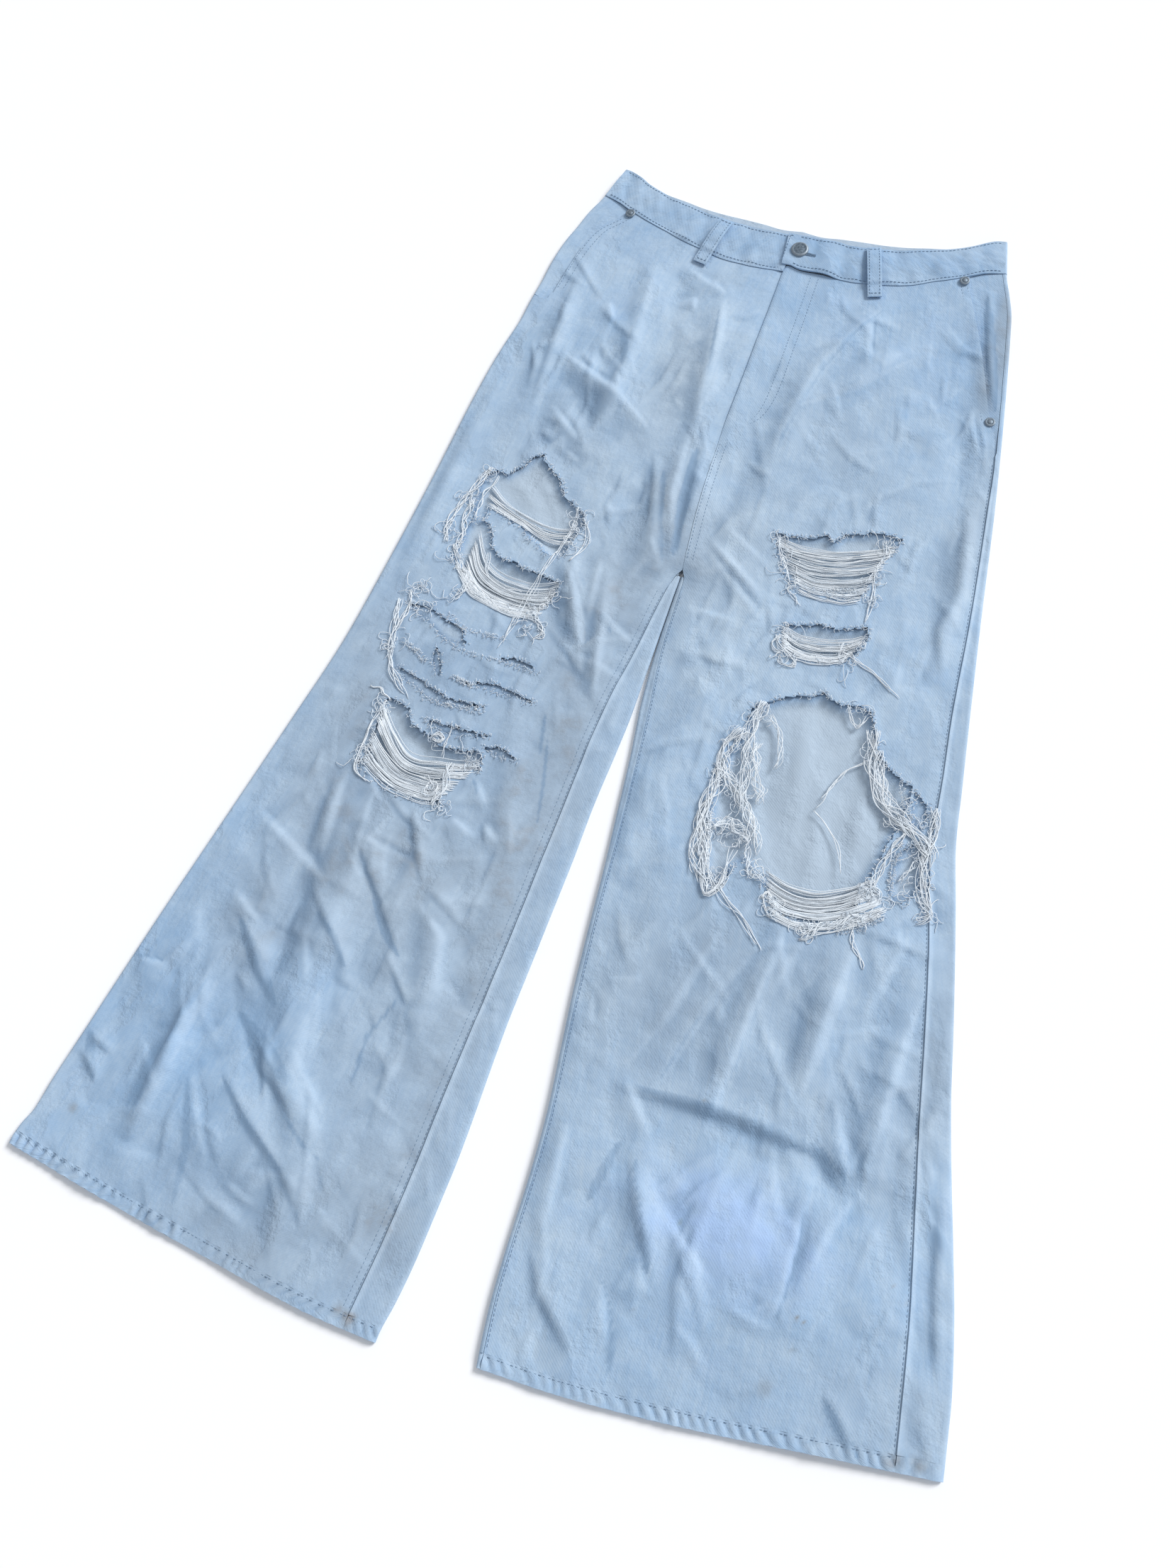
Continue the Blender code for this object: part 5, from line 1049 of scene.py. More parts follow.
def wash_and_shade_of(points, inside):
    """Red: how blue, deeper in painted shade. Green: grime and painted shade. Blue: worn crests (1),
    troughs (0) and painted light. Alpha: the cloth's inner side.
    """
    x, down, height = points[..., 0], -points[..., 1], points[..., 2]
    blue = 0.5 + 0.5 * spread_of(x, down, BLUE_TONE_AND_SHADE) + 0.06 * soft_noise(x, down, 0.030, 31)
    into_rip = read_map(RIP_DEPTH, x, down)
    near_rip = np.exp(-(np.minimum(into_rip, 0) / 0.0035) ** 2)
    near_rip = near_rip * (0.6 + 0.4 * soft_noise(x, down, 0.006, 34))
    # Painted shade: the inner side turns deeper blue just inside each rip's rim, where the torn edge's
    # shadow falls
    painted_rim_shade = np.exp(-(into_rip / 0.0050) ** 2) * inside
    blue = blue + 0.35 * near_rip * (1 - inside) + 0.8 * painted_rim_shade
    # Grime, with painted shade in the shadowed crotch folds and inside the pocket mouth
    grime_and_shade = np.minimum(spread_of(x, down, SOIL_AND_SHADE) + 0.10 * soft_noise(x, down, 0.022, 32), 0.80)
    for spot_x, spot_down, radius, amount in SPOTS:
        ragged = 1 + 0.35 * soft_noise(x, down, radius, 33)
        reach = radius * ragged
        stain = 1.4 * amount * np.exp(
            -(((x - spot_x) / reach) ** 2 + ((down - spot_down) / reach) ** 2) ** 1.5)
        grime_and_shade = np.where(stain > 0.05, np.maximum(grime_and_shade, stain), grime_and_shade)
    # Wear: paler on crests, darker in troughs; painted highlight and shade are added below
    crest_wear_and_light = np.clip((height - blurred(height, 24)) / 0.0008, -1, 1)
    # Painted highlight and painted shade from how each slope turns to the sun
    painted_light = np.where(inside > 0.5, read_map(BACK_PAINTED_LIGHT, x, down), read_map(FRONT_PAINTED_LIGHT, x, down))
    crest_wear_and_light = (np.where(inside > 0.5, 0.0, 0.45 * crest_wear_and_light) + 0.75 * painted_light) * (1 - 0.8 * near_rip)
    # Painted shade and painted highlight along the listed facets
    crest_wear_and_light -= facet_shade_and_highlight_of(x, down) * (inside < 0.5)
    return np.stack((blue, np.clip(grime_and_shade, -1.2, 1.4), np.clip(0.5 + 0.5 * crest_wear_and_light, 0, 1),
                     inside * (1 - 0.8 * np.clip(painted_rim_shade, 0, 1))), -1)


# Materials

def colour(text):
    """A hex sRGB colour as linear red, green, blue and alpha."""
    parts = [int(text[at:at + 2], 16) / 255 for at in (1, 3, 5)]
    linear = [part / 12.92 if part <= 0.04045 else ((part + 0.055) / 1.055) ** 2.4
              for part in parts]
    return (*linear, 1.0)


def add_node(material, kind, inputs, **settings):
    """Add a node; an input takes a value or another node's output."""
    node = material.node_tree.nodes.new(kind)
    for name, value in settings.items():
        setattr(node, name, value)
    for name, value in inputs.items():
        if isinstance(value, bpy.types.NodeSocket):
            material.node_tree.links.new(value, node.inputs[name])
        else:
            node.inputs[name].default_value = value
    return node


def new_material(name, roughness):
    material = bpy.data.materials.new(name)
    material.use_nodes = True
    shader = material.node_tree.nodes["Principled BSDF"]
    shader.inputs["Roughness"].default_value = roughness
    return material, shader


def blend_colours(material, factor, first, second):
    """The output of a colour mix."""
    return add_node(material, "ShaderNodeMix", {0: factor, 6: first, 7: second},
                    data_type="RGBA", clamp_factor=True).outputs[2]


def ramp(material, value, low, high, low_to, high_to):
    return add_node(material, "ShaderNodeMapRange", {
        "Value": value, "From Min": low, "From Max": high, "To Min": low_to, "To Max": high_to,
    }).outputs[0]


def tinted(material, base, value, limits, shares, tone):
    """The base colour mixed with a tone; its share runs between shares as value does in limits."""
    share = ramp(material, value, *limits, *shares)
    return blend_colours(material, share, base, colour(tone))


def noise(material, vector, scale, detail, roughness=0.5):
    return add_node(material, "ShaderNodeTexNoise", {
        "Vector": vector, "Scale": scale, "Detail": detail, "Roughness": roughness,
    })


def arithmetic(material, operation, *values):
    inputs = dict(enumerate(values))
    return add_node(material, "ShaderNodeMath", inputs, operation=operation).outputs[0]


TWILL_SPACING = 0.0019      # real ribs are 0.7 mm apart, drawn coarser so that they show
DIAGONAL_WAVE = 0.444       # spacing of diagonal waves at scale 1


def washed_denim(name, tone):
    """Stone-washed cotton twill: matt, chalky blue, with pale worn crests, grey grime, and painted
    highlight and shade.
    """
    material, shader = new_material(name, 0.93)
    shader.inputs["Sheen Weight"].default_value = 0.12
    shader.inputs["Specular IOR Level"].default_value = 0.20
    zones = add_node(material, "ShaderNodeAttribute", {}, attribute_name="wash_and_shade")
    parts = add_node(material, "ShaderNodeSeparateColor", {"Color": zones.outputs["Color"]})
    grain = add_node(material, "ShaderNodeAttribute", {}, attribute_name="grain").outputs["Vector"]
    streak_map = add_node(material, "ShaderNodeMapping", {"Vector": grain, "Scale": (420, 34, 1)})
    streaks = noise(material, streak_map.outputs[0], 1.0, 2.0, 0.6)
    clouds = noise(material, grain, 38.0, 5.0, 0.62)
    mottle = noise(material, grain, 210.0, 3.0, 0.6)
    blue = parts.outputs[0]
    for pattern, swing in ((clouds, 0.20), (streaks, 0.10), (mottle, 0.07)):
        swung = ramp(material, pattern.outputs[0], 0.3, 0.7, -swing, swing)
        blue = arithmetic(material, "ADD", blue, swung)
    cloth = blend_colours(material, blue, colour(tone[0]), colour(tone[1]))
    blotches = ramp(material, clouds.outputs[0], 0.35, 0.65, 0.6, 1.3)
    grime_and_shade = arithmetic(material, "MULTIPLY", parts.outputs[1], blotches)
    crest_wear_and_light = parts.outputs[2]
    inner_side = zones.outputs["Alpha"]
    # Grime with painted shade, a bluing stain, worn crests with painted highlight, troughs with
    # painted shade, inner side
    for value, limits, shares, tint in (
        (grime_and_shade, (0.0, 1.0), (0.0, 0.85), "#97A5B3"), (grime_and_shade, (0.85, 1.8), (0.0, 0.7), "#857668"),
        (grime_and_shade, (0.0, -1.0), (0.0, 0.85), "#ACC7EE"), (crest_wear_and_light, (0.56, 1.0), (0.0, 0.20), "#D3E2F0"),
        (crest_wear_and_light, (0.47, 0.0), (0.0, 0.60), "#6F8DAC"), (inner_side, (0.0, 1.0), (0.0, 0.80), "#B6C5D3"),
    ):
        cloth = tinted(material, cloth, value, limits, shares, tint)
    twill = add_node(material, "ShaderNodeTexWave", {
        "Vector": grain, "Scale": DIAGONAL_WAVE / TWILL_SPACING, "Distortion": 1.2,
        "Detail": 1.0, "Detail Scale": 2.0,
    }, wave_type="BANDS", bands_direction="DIAGONAL")
    cloth = tinted(material, cloth, twill.outputs[1], (0.0, 1.0), (0.06, 0.0), "#7F9BB8")
    material.node_tree.links.new(cloth, shader.inputs["Base Color"])
    weave = arithmetic(material, "MULTIPLY_ADD", twill.outputs[1], mottle.outputs[0], 0.5)
    bump = add_node(material, "ShaderNodeBump", {
        "Height": weave, "Distance": 0.00012, "Strength": 0.8,
    })
    puckers = add_node(material, "ShaderNodeBump", {
        "Height": clouds.outputs[0], "Distance": 0.0034, "Strength": 0.6,
        "Normal": bump.outputs[0],
    })
    bent = add_node(material, "ShaderNodeVectorMath", {
        0: clouds.outputs["Color"], 1: (0.030, 0.030, 0.0), 2: grain,
    }, operation="MULTIPLY_ADD")
    facet_size = add_node(material, "ShaderNodeMapping", {
        "Vector": bent.outputs[0], "Scale": (1 / 0.026, 1 / 0.044, 1),
    })
    facets = add_node(material, "ShaderNodeTexVoronoi", {
        "Vector": facet_size.outputs[0], "Scale": 1.0,
    }, voronoi_dimensions="2D")
    patches = noise(material, grain, 11.0, 1.0)
    creases = add_node(material, "ShaderNodeBump", {
        "Height": facets.outputs["Distance"], "Distance": 0.0040,
        "Strength": ramp(material, patches.outputs[0], 0.42, 0.66, 0.0, 0.65),
        "Normal": puckers.outputs[0],
    })
    material.node_tree.links.new(creases.outputs[0], shader.inputs["Normal"])
    return material


def cotton_yarn(name, pale, deep):
    """Bare cotton yarn: fuzzy, nearly white, with some strands still blue."""
    material, shader = new_material(name, 0.95)
    shader.inputs["Sheen Weight"].default_value = 0.10
    shader.inputs["Specular IOR Level"].default_value = 0.15
    strand = add_node(material, "ShaderNodeAttribute", {}, attribute_name="strand")
    place_of = add_node(material, "ShaderNodeTexCoord", {}).outputs["Object"]
    fuzz = noise(material, place_of, 900.0, 2.0)
    yarn = blend_colours(material, strand.outputs["Fac"], colour(pale), colour(deep))
    yarn = tinted(material, yarn, fuzz.outputs[0], (0.35, 0.7), (0.0, 0.12), "#C3D0DC")
    material.node_tree.links.new(yarn, shader.inputs["Base Color"])
    bump = add_node(material, "ShaderNodeBump", {
        "Height": fuzz.outputs[0], "Distance": 0.0002, "Strength": 0.7,
    })
    material.node_tree.links.new(bump.outputs[0], shader.inputs["Normal"])
    return material


def aged_nickel(name):
    """Nickel-plated brass, tumbled dull: grey-blue, with rubbed edges and dark pits."""
    material, shader = new_material(name, 0.55)
    shader.inputs["Metallic"].default_value = 0.85
    place_of = add_node(material, "ShaderNodeTexCoord", {}).outputs["Object"]
    pits = noise(material, place_of, 700.0, 4.0, 0.7)
    plate = tinted(material, colour("#4E5C69"), pits.outputs[0], (0.35, 0.65), (0, 1), "#7F8D9A")
    edges = add_node(material, "ShaderNodeNewGeometry", {}).outputs["Pointiness"]
    plate = tinted(material, plate, edges, (0.5, 0.56), (0, 1), "#A9B3BC")
    material.node_tree.links.new(plate, shader.inputs["Base Color"])
    rough = ramp(material, pits.outputs[0], 0.3, 0.7, 0.45, 0.70)
    material.node_tree.links.new(rough, shader.inputs["Roughness"])
    bump = add_node(material, "ShaderNodeBump", {
        "Height": pits.outputs[0], "Distance": 0.0001, "Strength": 0.5,
    })
    material.node_tree.links.new(bump.outputs[0], shader.inputs["Normal"])
    return material


denim = washed_denim("stone_washed_denim", ("#BBCDDD", "#8EAECF"))
bare_yarn = cotton_yarn("bare_cotton_yarn", "#EEF2F5", "#B0C8DF")
sewing_yarn = cotton_yarn("sewing_cotton", "#8399B0", "#6A849F")
metal = aged_nickel("aged_nickel_plate")


# Cloth pieces

def finish_piece(piece, material, slot, *nodes):
    piece.data.materials.clear()
    piece.data.materials.append(material)
    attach(piece, "root")
    if nodes:
        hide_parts(*nodes)
    return piece


def layer(leg, v, across, cloth, upper):
    """Points of one layer, rows by columns."""
    away, down = place(leg, v, across)
    if upper:
        height = top_height(leg, away, down, cloth)
    else:
        height = np.full(away.shape, cloth.wall / 2)
    return np.stack((leg.side * away, -down, height), -1)


def fold_layer(leg, v, cloth, edge, rising):
    """Points round a side fold; edge is 0 outside and 1 inside."""
    away, down = place(leg, v, np.full(v.shape, float(edge)))
    inward = 1 if edge else -1
    middle = away + inward * (cloth.wall / 2 + cloth.radius)
    angles = np.pi * (np.arange(1, FOLD_STEPS) / FOLD_STEPS - 0.5)
    x = middle - inward * cloth.radius * np.cos(angles)
    z = np.broadcast_to(cloth.wall / 2 + cloth.radius * (1 + np.sin(angles)), x.shape)
    points = np.stack((leg.side * x, np.broadcast_to(-down, x.shape), z), -1)
    return points if rising else points[:, ::-1]


def tangent(leg, v, cloth, edge):
    _, down = place(leg, v, np.full(v.shape, float(edge)))
    width = along(leg.outer, down) - along(leg.inner, down)
    inset = (cloth.wall / 2 + cloth.radius) / width
    return 1 - inset if edge else inset


def front_inner_edge(leg):
    def away(down):
        above = leg.side * along(CENTRE_FRONT, down)
        return np.where(down < CROTCH_DOWN, above, along(leg.inseam, down)) + SEAM_GAP / 2
    return away


def inset_share(leg, v, inset):
    _, down = place(leg, v, np.zeros(v.shape))
    return inset / (along(leg.outer, down) - along(leg.inner, down))


def spread(start, end, count):
    """Columns from start to end, for rows of v."""
    return start + (end - start) * np.linspace(0, 1, count + 1)


def left_side(down):
    return along(LEFT_SIDE, down)


def left_seam(down):
    inset = along(LEFT.outer, down) - SIDE_SEAM_INSET
    return np.where(down < POCKET_END, inset, left_side(down) + SEAM_GAP)


def right_front_points(v, cloth, columns):
    start = inset_share(RIGHT, v, WRAP_UNDER)
    bend = tangent(RIGHT, v, cloth, 0)
    end = across_at(RIGHT, v, front_inner_edge(RIGHT))
    parts = (
        layer(RIGHT, v, spread(start, bend, 2), cloth, False),
        fold_layer(RIGHT, v, cloth, 0, True),
        layer(RIGHT, v, spread(bend, end, columns), cloth, True),
    )
    return np.concatenate(parts, 1)


def left_front_points(v, cloth, columns):
    start = across_at(LEFT, v, left_side)
    end = across_at(LEFT, v, front_inner_edge(LEFT))
    return layer(LEFT, v, spread(start, end, columns), cloth, True)


def back_inner_points(leg, v, cloth, start):
    """Lower layer to the middle seam above the crotch, or round the inner fold below it."""
    turned = v[:, 0] > v_at(leg, CROTCH_DOWN, 1.0)
    flat_end = across_at(leg, v, lambda down: np.full(np.shape(down), SEAM_GAP / 2))
    strip = np.linspace(0, 1, FOLD_STEPS + STRIP_COLUMNS)
    near = mix(flat_end, start, 0.06)
    flat_columns = np.concatenate((spread(start, near, BACK_COLUMNS),
                                   near + (flat_end - near) * strip[1:]), 1)
    flat = layer(leg, v, flat_columns, cloth, False)
    bend = tangent(leg, v, cloth, 1)
    end = across_at(leg, v, lambda down: along(leg.inseam, down) - SEAM_GAP / 2)
    folded = np.concatenate((
        layer(leg, v, spread(start, bend, BACK_COLUMNS), cloth, False),
        fold_layer(leg, v, cloth, 1, True),
        layer(leg, v, spread(bend, end, STRIP_COLUMNS - 1), cloth, True),
    ), 1)
    return np.where(turned[:, None, None], folded, flat)


def v_at(leg, down, across):
    """v of the place that is this far down, where across is 0 outside and 1 in the middle."""
    top = along(leg.waist, across)
    return (down - top) / (along(leg.hem, across) - top)


def right_back_points(v, cloth):
    return back_inner_points(RIGHT, v, cloth, inset_share(RIGHT, v, WRAP_UNDER + SEAM_GAP))


def left_back_points(v, cloth):
    bend = tangent(LEFT, v, cloth, 0)
    start = across_at(LEFT, v, left_seam)
    parts = (
        layer(LEFT, v, spread(start, bend, STRIP_COLUMNS), cloth, True),
        fold_layer(LEFT, v, cloth, 0, False),
        back_inner_points(LEFT, v, cloth, bend),
    )
    return np.concatenate(parts, 1)


def panel_rows(leg, count):
    """v of each row, with rows on both sides of the turn at the crotch."""
    turn = v_at(leg, CROTCH_DOWN, 1.0)
    turned = turn + CROTCH_TURN / 1.02
    above = round(count * turn)
    rows = np.concatenate((
        np.linspace(SEAM_GAP, turn, above),
        np.linspace(turned, 1 - HEM_DEPTH, count - above),
    ))
    return rows[:, None]


def cloth_mesh(name, points, inside, wall, rings=()):
    """A sheet of cloth through rows of points, cut along the rings, with a wall round it."""
    rows, columns = points.shape[:2]
    points = points.copy()
    x, down = points[..., 0], -points[..., 1]
    gone = np.zeros((rows - 1, columns - 1), bool)
    for ring in rings:
        within = in_ring(x, down, ring)
        middle_x = (x[1:, 1:] + x[:-1, :-1] + x[1:, :-1] + x[:-1, 1:]) / 4
        middle_down = (down[1:, 1:] + down[:-1, :-1] + down[1:, :-1] + down[:-1, 1:]) / 4
        gone |= in_ring(middle_x, middle_down, ring)
        _, ring_x, ring_down = nearest_on_ring(x[within], down[within], ring)
        kept = np.zeros((rows, columns), bool)
        kept[:-1, :-1] |= ~gone
        kept[1:, :-1] |= ~gone
        kept[:-1, 1:] |= ~gone
        kept[1:, 1:] |= ~gone
        snap = kept[within]
        target = np.argwhere(within)[snap]
        points[target[:, 0], target[:, 1], 0] = ring_x[snap]
        points[target[:, 0], target[:, 1], 1] = -ring_down[snap]
    wash_and_shade = wash_and_shade_of(points, inside)
    run = np.linalg.norm(np.diff(points, axis=1), axis=2)
    over = np.concatenate((np.zeros((rows, 1)), np.cumsum(run, 1)), 1)
    grain = np.stack((over - over[:, columns // 2:columns // 2 + 1], -points[..., 1],
                      np.zeros((rows, columns))), -1)
    index = np.arange(rows * columns).reshape(rows, columns)
    quads = np.stack((index[:-1, :-1], index[1:, :-1], index[1:, 1:], index[:-1, 1:]), -1)
    quads = quads[~gone]
    used, packed = np.unique(quads, return_inverse=True)
    mesh = bpy.data.meshes.new(name)
    mesh.from_pydata((points.reshape(-1, 3)[used] + MOVE).tolist(), [],
                     packed.reshape(-1, 4).tolist())
    mesh.attributes.new("grain", "FLOAT_VECTOR", "POINT").data.foreach_set(
        "vector", grain.reshape(-1, 3)[used].ravel())
    mesh.color_attributes.new("wash_and_shade", "FLOAT_COLOR", "POINT").data.foreach_set(
        "color", wash_and_shade.reshape(-1, 4)[used].ravel())
    mesh.polygons.foreach_set("use_smooth", [True] * len(mesh.polygons))
    piece = bpy.data.objects.new(name, mesh)
    bpy.context.scene.collection.objects.link(piece)
    solidify = piece.modifiers.new("wall", "SOLIDIFY")
    solidify.thickness = wall
    solidify.offset = 0.0
    bpy.ops.object.select_all(action="DESELECT")
    piece.select_set(True)
    bpy.context.view_layer.objects.active = piece
    bpy.ops.object.modifier_apply(modifier=solidify.name)
    bpy.ops.object.shade_smooth_by_angle(angle=math.radians(50))
    return piece


def no_inside(points):
    return np.zeros(points.shape[:2])


def lower_part(points):
    """1 on the lower layer, whose upper side is the cloth's inner face."""
    return (points[..., 2] < LOWER_LAYER_TOP).astype(float)


def raise_in_rips(points, inside):
    """The back's inner side swells a little where it shows through the rips."""
    x, down = points[..., 0], -points[..., 1]
    shows = smooth_step((read_map(RIP_DEPTH, x, down) + 0.012) / 0.012) * inside
    points[..., 2] += shows * (inner_back_top(x, down) - DENIM.wall)
    return points


def add_cloth(name, points, inside, wall, node, rings=(), **facts):
    """One cut piece of denim, laid flat in place of its solid."""
    piece = finish_piece(cloth_mesh(name, points, inside, wall, rings), denim, "denim", node)


def seam_rope(points, period, height, slant):
    """Puckers that sewing pulls up along a band."""
    rows = len(points)
    along_row = np.cumsum(np.concatenate((np.zeros((rows, 1)), np.linalg.norm(
        np.diff(points[..., :2], axis=1), axis=2)), 1), 1)
    across_row = np.linspace(0, 1, rows)[:, None]
    uneven = soft_noise(points[..., 0], points[..., 1], 0.022, 51)
    strength = np.clip(0.7 + 0.5 * soft_noise(points[..., 0], points[..., 1], 0.040, 52), 0.15, 1.2)
    wave = np.cos(2 * np.pi * (along_row / period + slant * across_row) + 3.5 * uneven)
    fullness = np.sin(np.pi * np.clip(across_row, 0, 1))
    raised = height * (wave - 0.5 * np.clip(-wave, 0, 1) ** 3) * strength * fullness ** 0.7
    points[..., 2] += raised * (points[..., 2] > UPPER_LAYER_FROM)
    return points


def lift_fly(points):
    """The left front's fly laps over the right front with a thick folded edge."""
    x, down = points[..., 0], -points[..., 1]
    from_edge = x - along(CENTRE_FRONT, down)
    lap = smooth_step((FLY_END - down) / 0.05)
    points[..., 2] += lap * 0.0011 * (1 - smooth_step(from_edge / 0.030))
    points[..., 2] -= lap * 0.0009 * np.exp(-(from_edge / 0.0012) ** 2)
    return points


def lift_lips(points):
    """Torn edges stand up a little from the cloth under them."""
    x, down = points[..., 0], -points[..., 1]
    near_rip = np.exp(-(np.minimum(read_map(RIP_DEPTH, x, down), 0) / 0.004) ** 2)
    points[..., 2] += 0.0006 * near_rip * (0.5 + 0.5 * soft_noise(x, down, 0.009, 35))
    return points


def sink_at_fly(points):
    """The right front slips under the fly's edge."""
    x, down = points[..., 0], -points[..., 1]
    from_edge = along(CENTRE_FRONT, down) - x
    lap = smooth_step((FLY_END - down) / 0.05)
    points[..., 2] -= lap * 0.0010 * np.exp(-(from_edge / 0.006) ** 2)
    return points


def raise_seams(points, leg):
    """The back's edge stands up along the seams that show."""
    away, down, height = np.abs(points[..., 0]), -points[..., 1], points[..., 2]
    upper = (height > UPPER_LAYER_FROM) & (down > INSEAM_FROM)
    from_inseam = along(leg.inseam, down) - away
    points[..., 2] += 0.0013 * upper * np.exp(-(from_inseam / 0.0026) ** 2)
    if leg is LEFT:
        upper = (height > UPPER_LAYER_FROM) & (down > POCKET_END) & (away > 0.2)
        from_side = away - left_side(down)
        points[..., 2] += 0.0012 * upper * np.exp(-(from_side / 0.0026) ** 2)
    return points


def sink_seams(points, leg):
    """The front's edges dip into the seams that show."""
    away, down = np.abs(points[..., 0]), -points[..., 1]
    from_inseam = away - along(leg.inseam, down)
    points[..., 2] -= 0.0003 * (down > INSEAM_FROM) * np.exp(-(from_inseam / 0.0020) ** 2)
    if leg is LEFT:
        from_side = left_side(down) - away
        points[..., 2] -= 0.0003 * (down > POCKET_END) * np.exp(-(from_side / 0.0020) ** 2)
        gape = smooth_step((down - 0.060) / 0.05) * smooth_step((0.205 - down) / 0.04)
        points[..., 2] += 0.0026 * gape * np.exp(-(from_side / 0.0080) ** 2)
    return points


def add_panels():
    """The two fronts with their rips, and the two backs."""
    rows = panel_rows(RIGHT, FRONT_ROWS)
    points = sink_at_fly(right_front_points(rows, DENIM, FRONT_COLUMNS))
    points = sink_seams(lift_lips(points), RIGHT)
    mouth = [(-away, down) for down, away in RIGHT_MOUTH]
    corner_v = v_at(RIGHT, RIGHT_MOUTH_END, 0.0)
    corner = across_at(RIGHT, np.array(corner_v),
                       lambda down: np.full(np.shape(down), RIGHT_MOUTH_CORNER))
    for across in (float(corner), float(corner) / 2, 0.0):
        away, down = place(RIGHT, corner_v, across)
        mouth.append((-float(away), float(down)))
    mouth += [(-0.2600, RIGHT_MOUTH_END), (-0.2600, 0.020)]
    add_cloth("front_panel_right", points, no_inside(points), DENIM.wall, "front_right",
              RINGS + [np.array(mouth)], flat=(0.36, 1.04), area=0.255,
              rests_on=["back_panel_right"])

    points = left_front_points(panel_rows(LEFT, FRONT_ROWS), DENIM, FRONT_COLUMNS - 6)
    points = sink_seams(lift_lips(lift_fly(points)), LEFT)
    add_cloth("front_panel_left", points, no_inside(points), DENIM.wall, "front_left", RINGS,
              flat=(0.36, 1.03), area=0.225, rests_on=["back_panel_left"])

    for name, leg, points, node, flat, area in (
        ("back_panel_right", RIGHT, right_back_points(panel_rows(RIGHT, BACK_ROWS), DENIM),
         "back_right", (0.37, 1.05), 0.285),
        ("back_panel_left", LEFT, left_back_points(panel_rows(LEFT, BACK_ROWS), DENIM),
         "back_left", (0.42, 1.04), 0.305),
    ):
        inside = lower_part(points)
        points = raise_seams(raise_in_rips(points, inside), leg)
        add_cloth(name, points, inside, DENIM.wall, node, flat=flat, area=area)


def add_hems():
    """Turned-up hems with the roping that washing gives them."""
    rows = np.linspace(1 - HEM_DEPTH, 1.0, 8)[:, None]
    for name, points, flat, node in (
        ("hem_band_front_right", right_front_points(rows, HEM, 220), (0.34, 0.0110),
         "hem_front_right"),
        ("hem_band_front_left", left_front_points(rows, HEM, 210), (0.32, 0.0110),
         "hem_front_left"),
        ("hem_band_back_right", right_back_points(rows, HEM), (0.36, 0.0110), "hem_back_right"),
        ("hem_band_back_left", left_back_points(rows, HEM), (0.39, 0.0110), "hem_back_left"),
    ):
        points = seam_rope(points, 0.0095, 0.0011, 0.5)
        add_cloth(name, points, no_inside(points), HEM.wall, node, flat=flat)


def add_facings():
    """Pocket facings beside the mouths, running on under the fronts."""
    def sloped(leg, v, columns, mouth):
        points = layer(leg, v, columns, DENIM, True)
        away = leg.side * points[..., 0]
        down = -points[..., 1]
        outer = along(leg.outer, down)
        drop = smooth_step((outer - away) / np.maximum(outer - mouth(down), 0.001))
        points[..., 2] = mix(points[..., 2], FACING_LEVEL, drop)
        fold = ((0.188, 0.066), (0.203, 0.130), (0.219, 0.185))
        points[..., 2] += line_relief(points[..., 0], down, fold, 0.0035, 0.0026, 0.4)
        return points

    v = np.linspace(SEAM_GAP, v_at(LEFT, POCKET_END, 0.0), 70)[:, None]
    start = across_at(LEFT, v, lambda down: left_seam(down) - SEAM_GAP)
    end = across_at(LEFT, v, lambda down: left_side(down) - FACING_LAP)
    points = sloped(LEFT, v, spread(start, end, 18), lambda down: left_side(down) + 0.001)
    add_cloth("pocket_facing_cloth_left", points, no_inside(points), DENIM.wall,
              "pocket_facing_left", flat=(0.038, 0.190), area=0.0062,
              rests_on=["back_panel_left"])

    def right_mouth(down):
        corner = smooth_step((down - RIGHT_MOUTH[-1][0]) / 0.008)
        return mix(along(RIGHT_MOUTH, down), RIGHT_MOUTH_CORNER, corner) + 0.001

    v = np.linspace(SEAM_GAP, v_at(RIGHT, RIGHT_MOUTH_END - 2 * SEAM_GAP, 0.0), 50)[:, None]
    bend = tangent(RIGHT, v, DENIM, 0)
    end = across_at(RIGHT, v, lambda down: along(RIGHT_MOUTH, down) - FACING_LAP)
    points = np.concatenate((
        layer(RIGHT, v, spread(inset_share(RIGHT, v, WRAP_UNDER), bend, 2), DENIM, False),
        fold_layer(RIGHT, v, DENIM, 0, True),
        sloped(RIGHT, v, spread(bend, end, 18), right_mouth),
    ), 1)
    add_cloth("pocket_facing_cloth_right", points, no_inside(points), DENIM.wall,
              "pocket_facing_right", flat=(0.070, 0.135), area=0.0064,
              rests_on=["back_panel_right"])


BAND_TOP_HEIGHT = BAND.wall / 2 + 2 * BAND.radius


def band_rise(leg, x):
    return OVERLAP_RISE * smooth_step((OVERLAP_RAMP - x) / 0.015) if leg is LEFT else 0.0


def band_relief(x, down, part):
    """Swell of the waistband's front, and the dents that wear leaves in it."""
    if not 0 < part < 1:
        return 0.0
    dents = 0.0011 * soft_noise(x, down * 0.4, 0.011, 61) + 0.0005 * soft_noise(x, down, 0.007, 62)
    return 0.0007 * math.sin(math.pi * part) + float(dents)


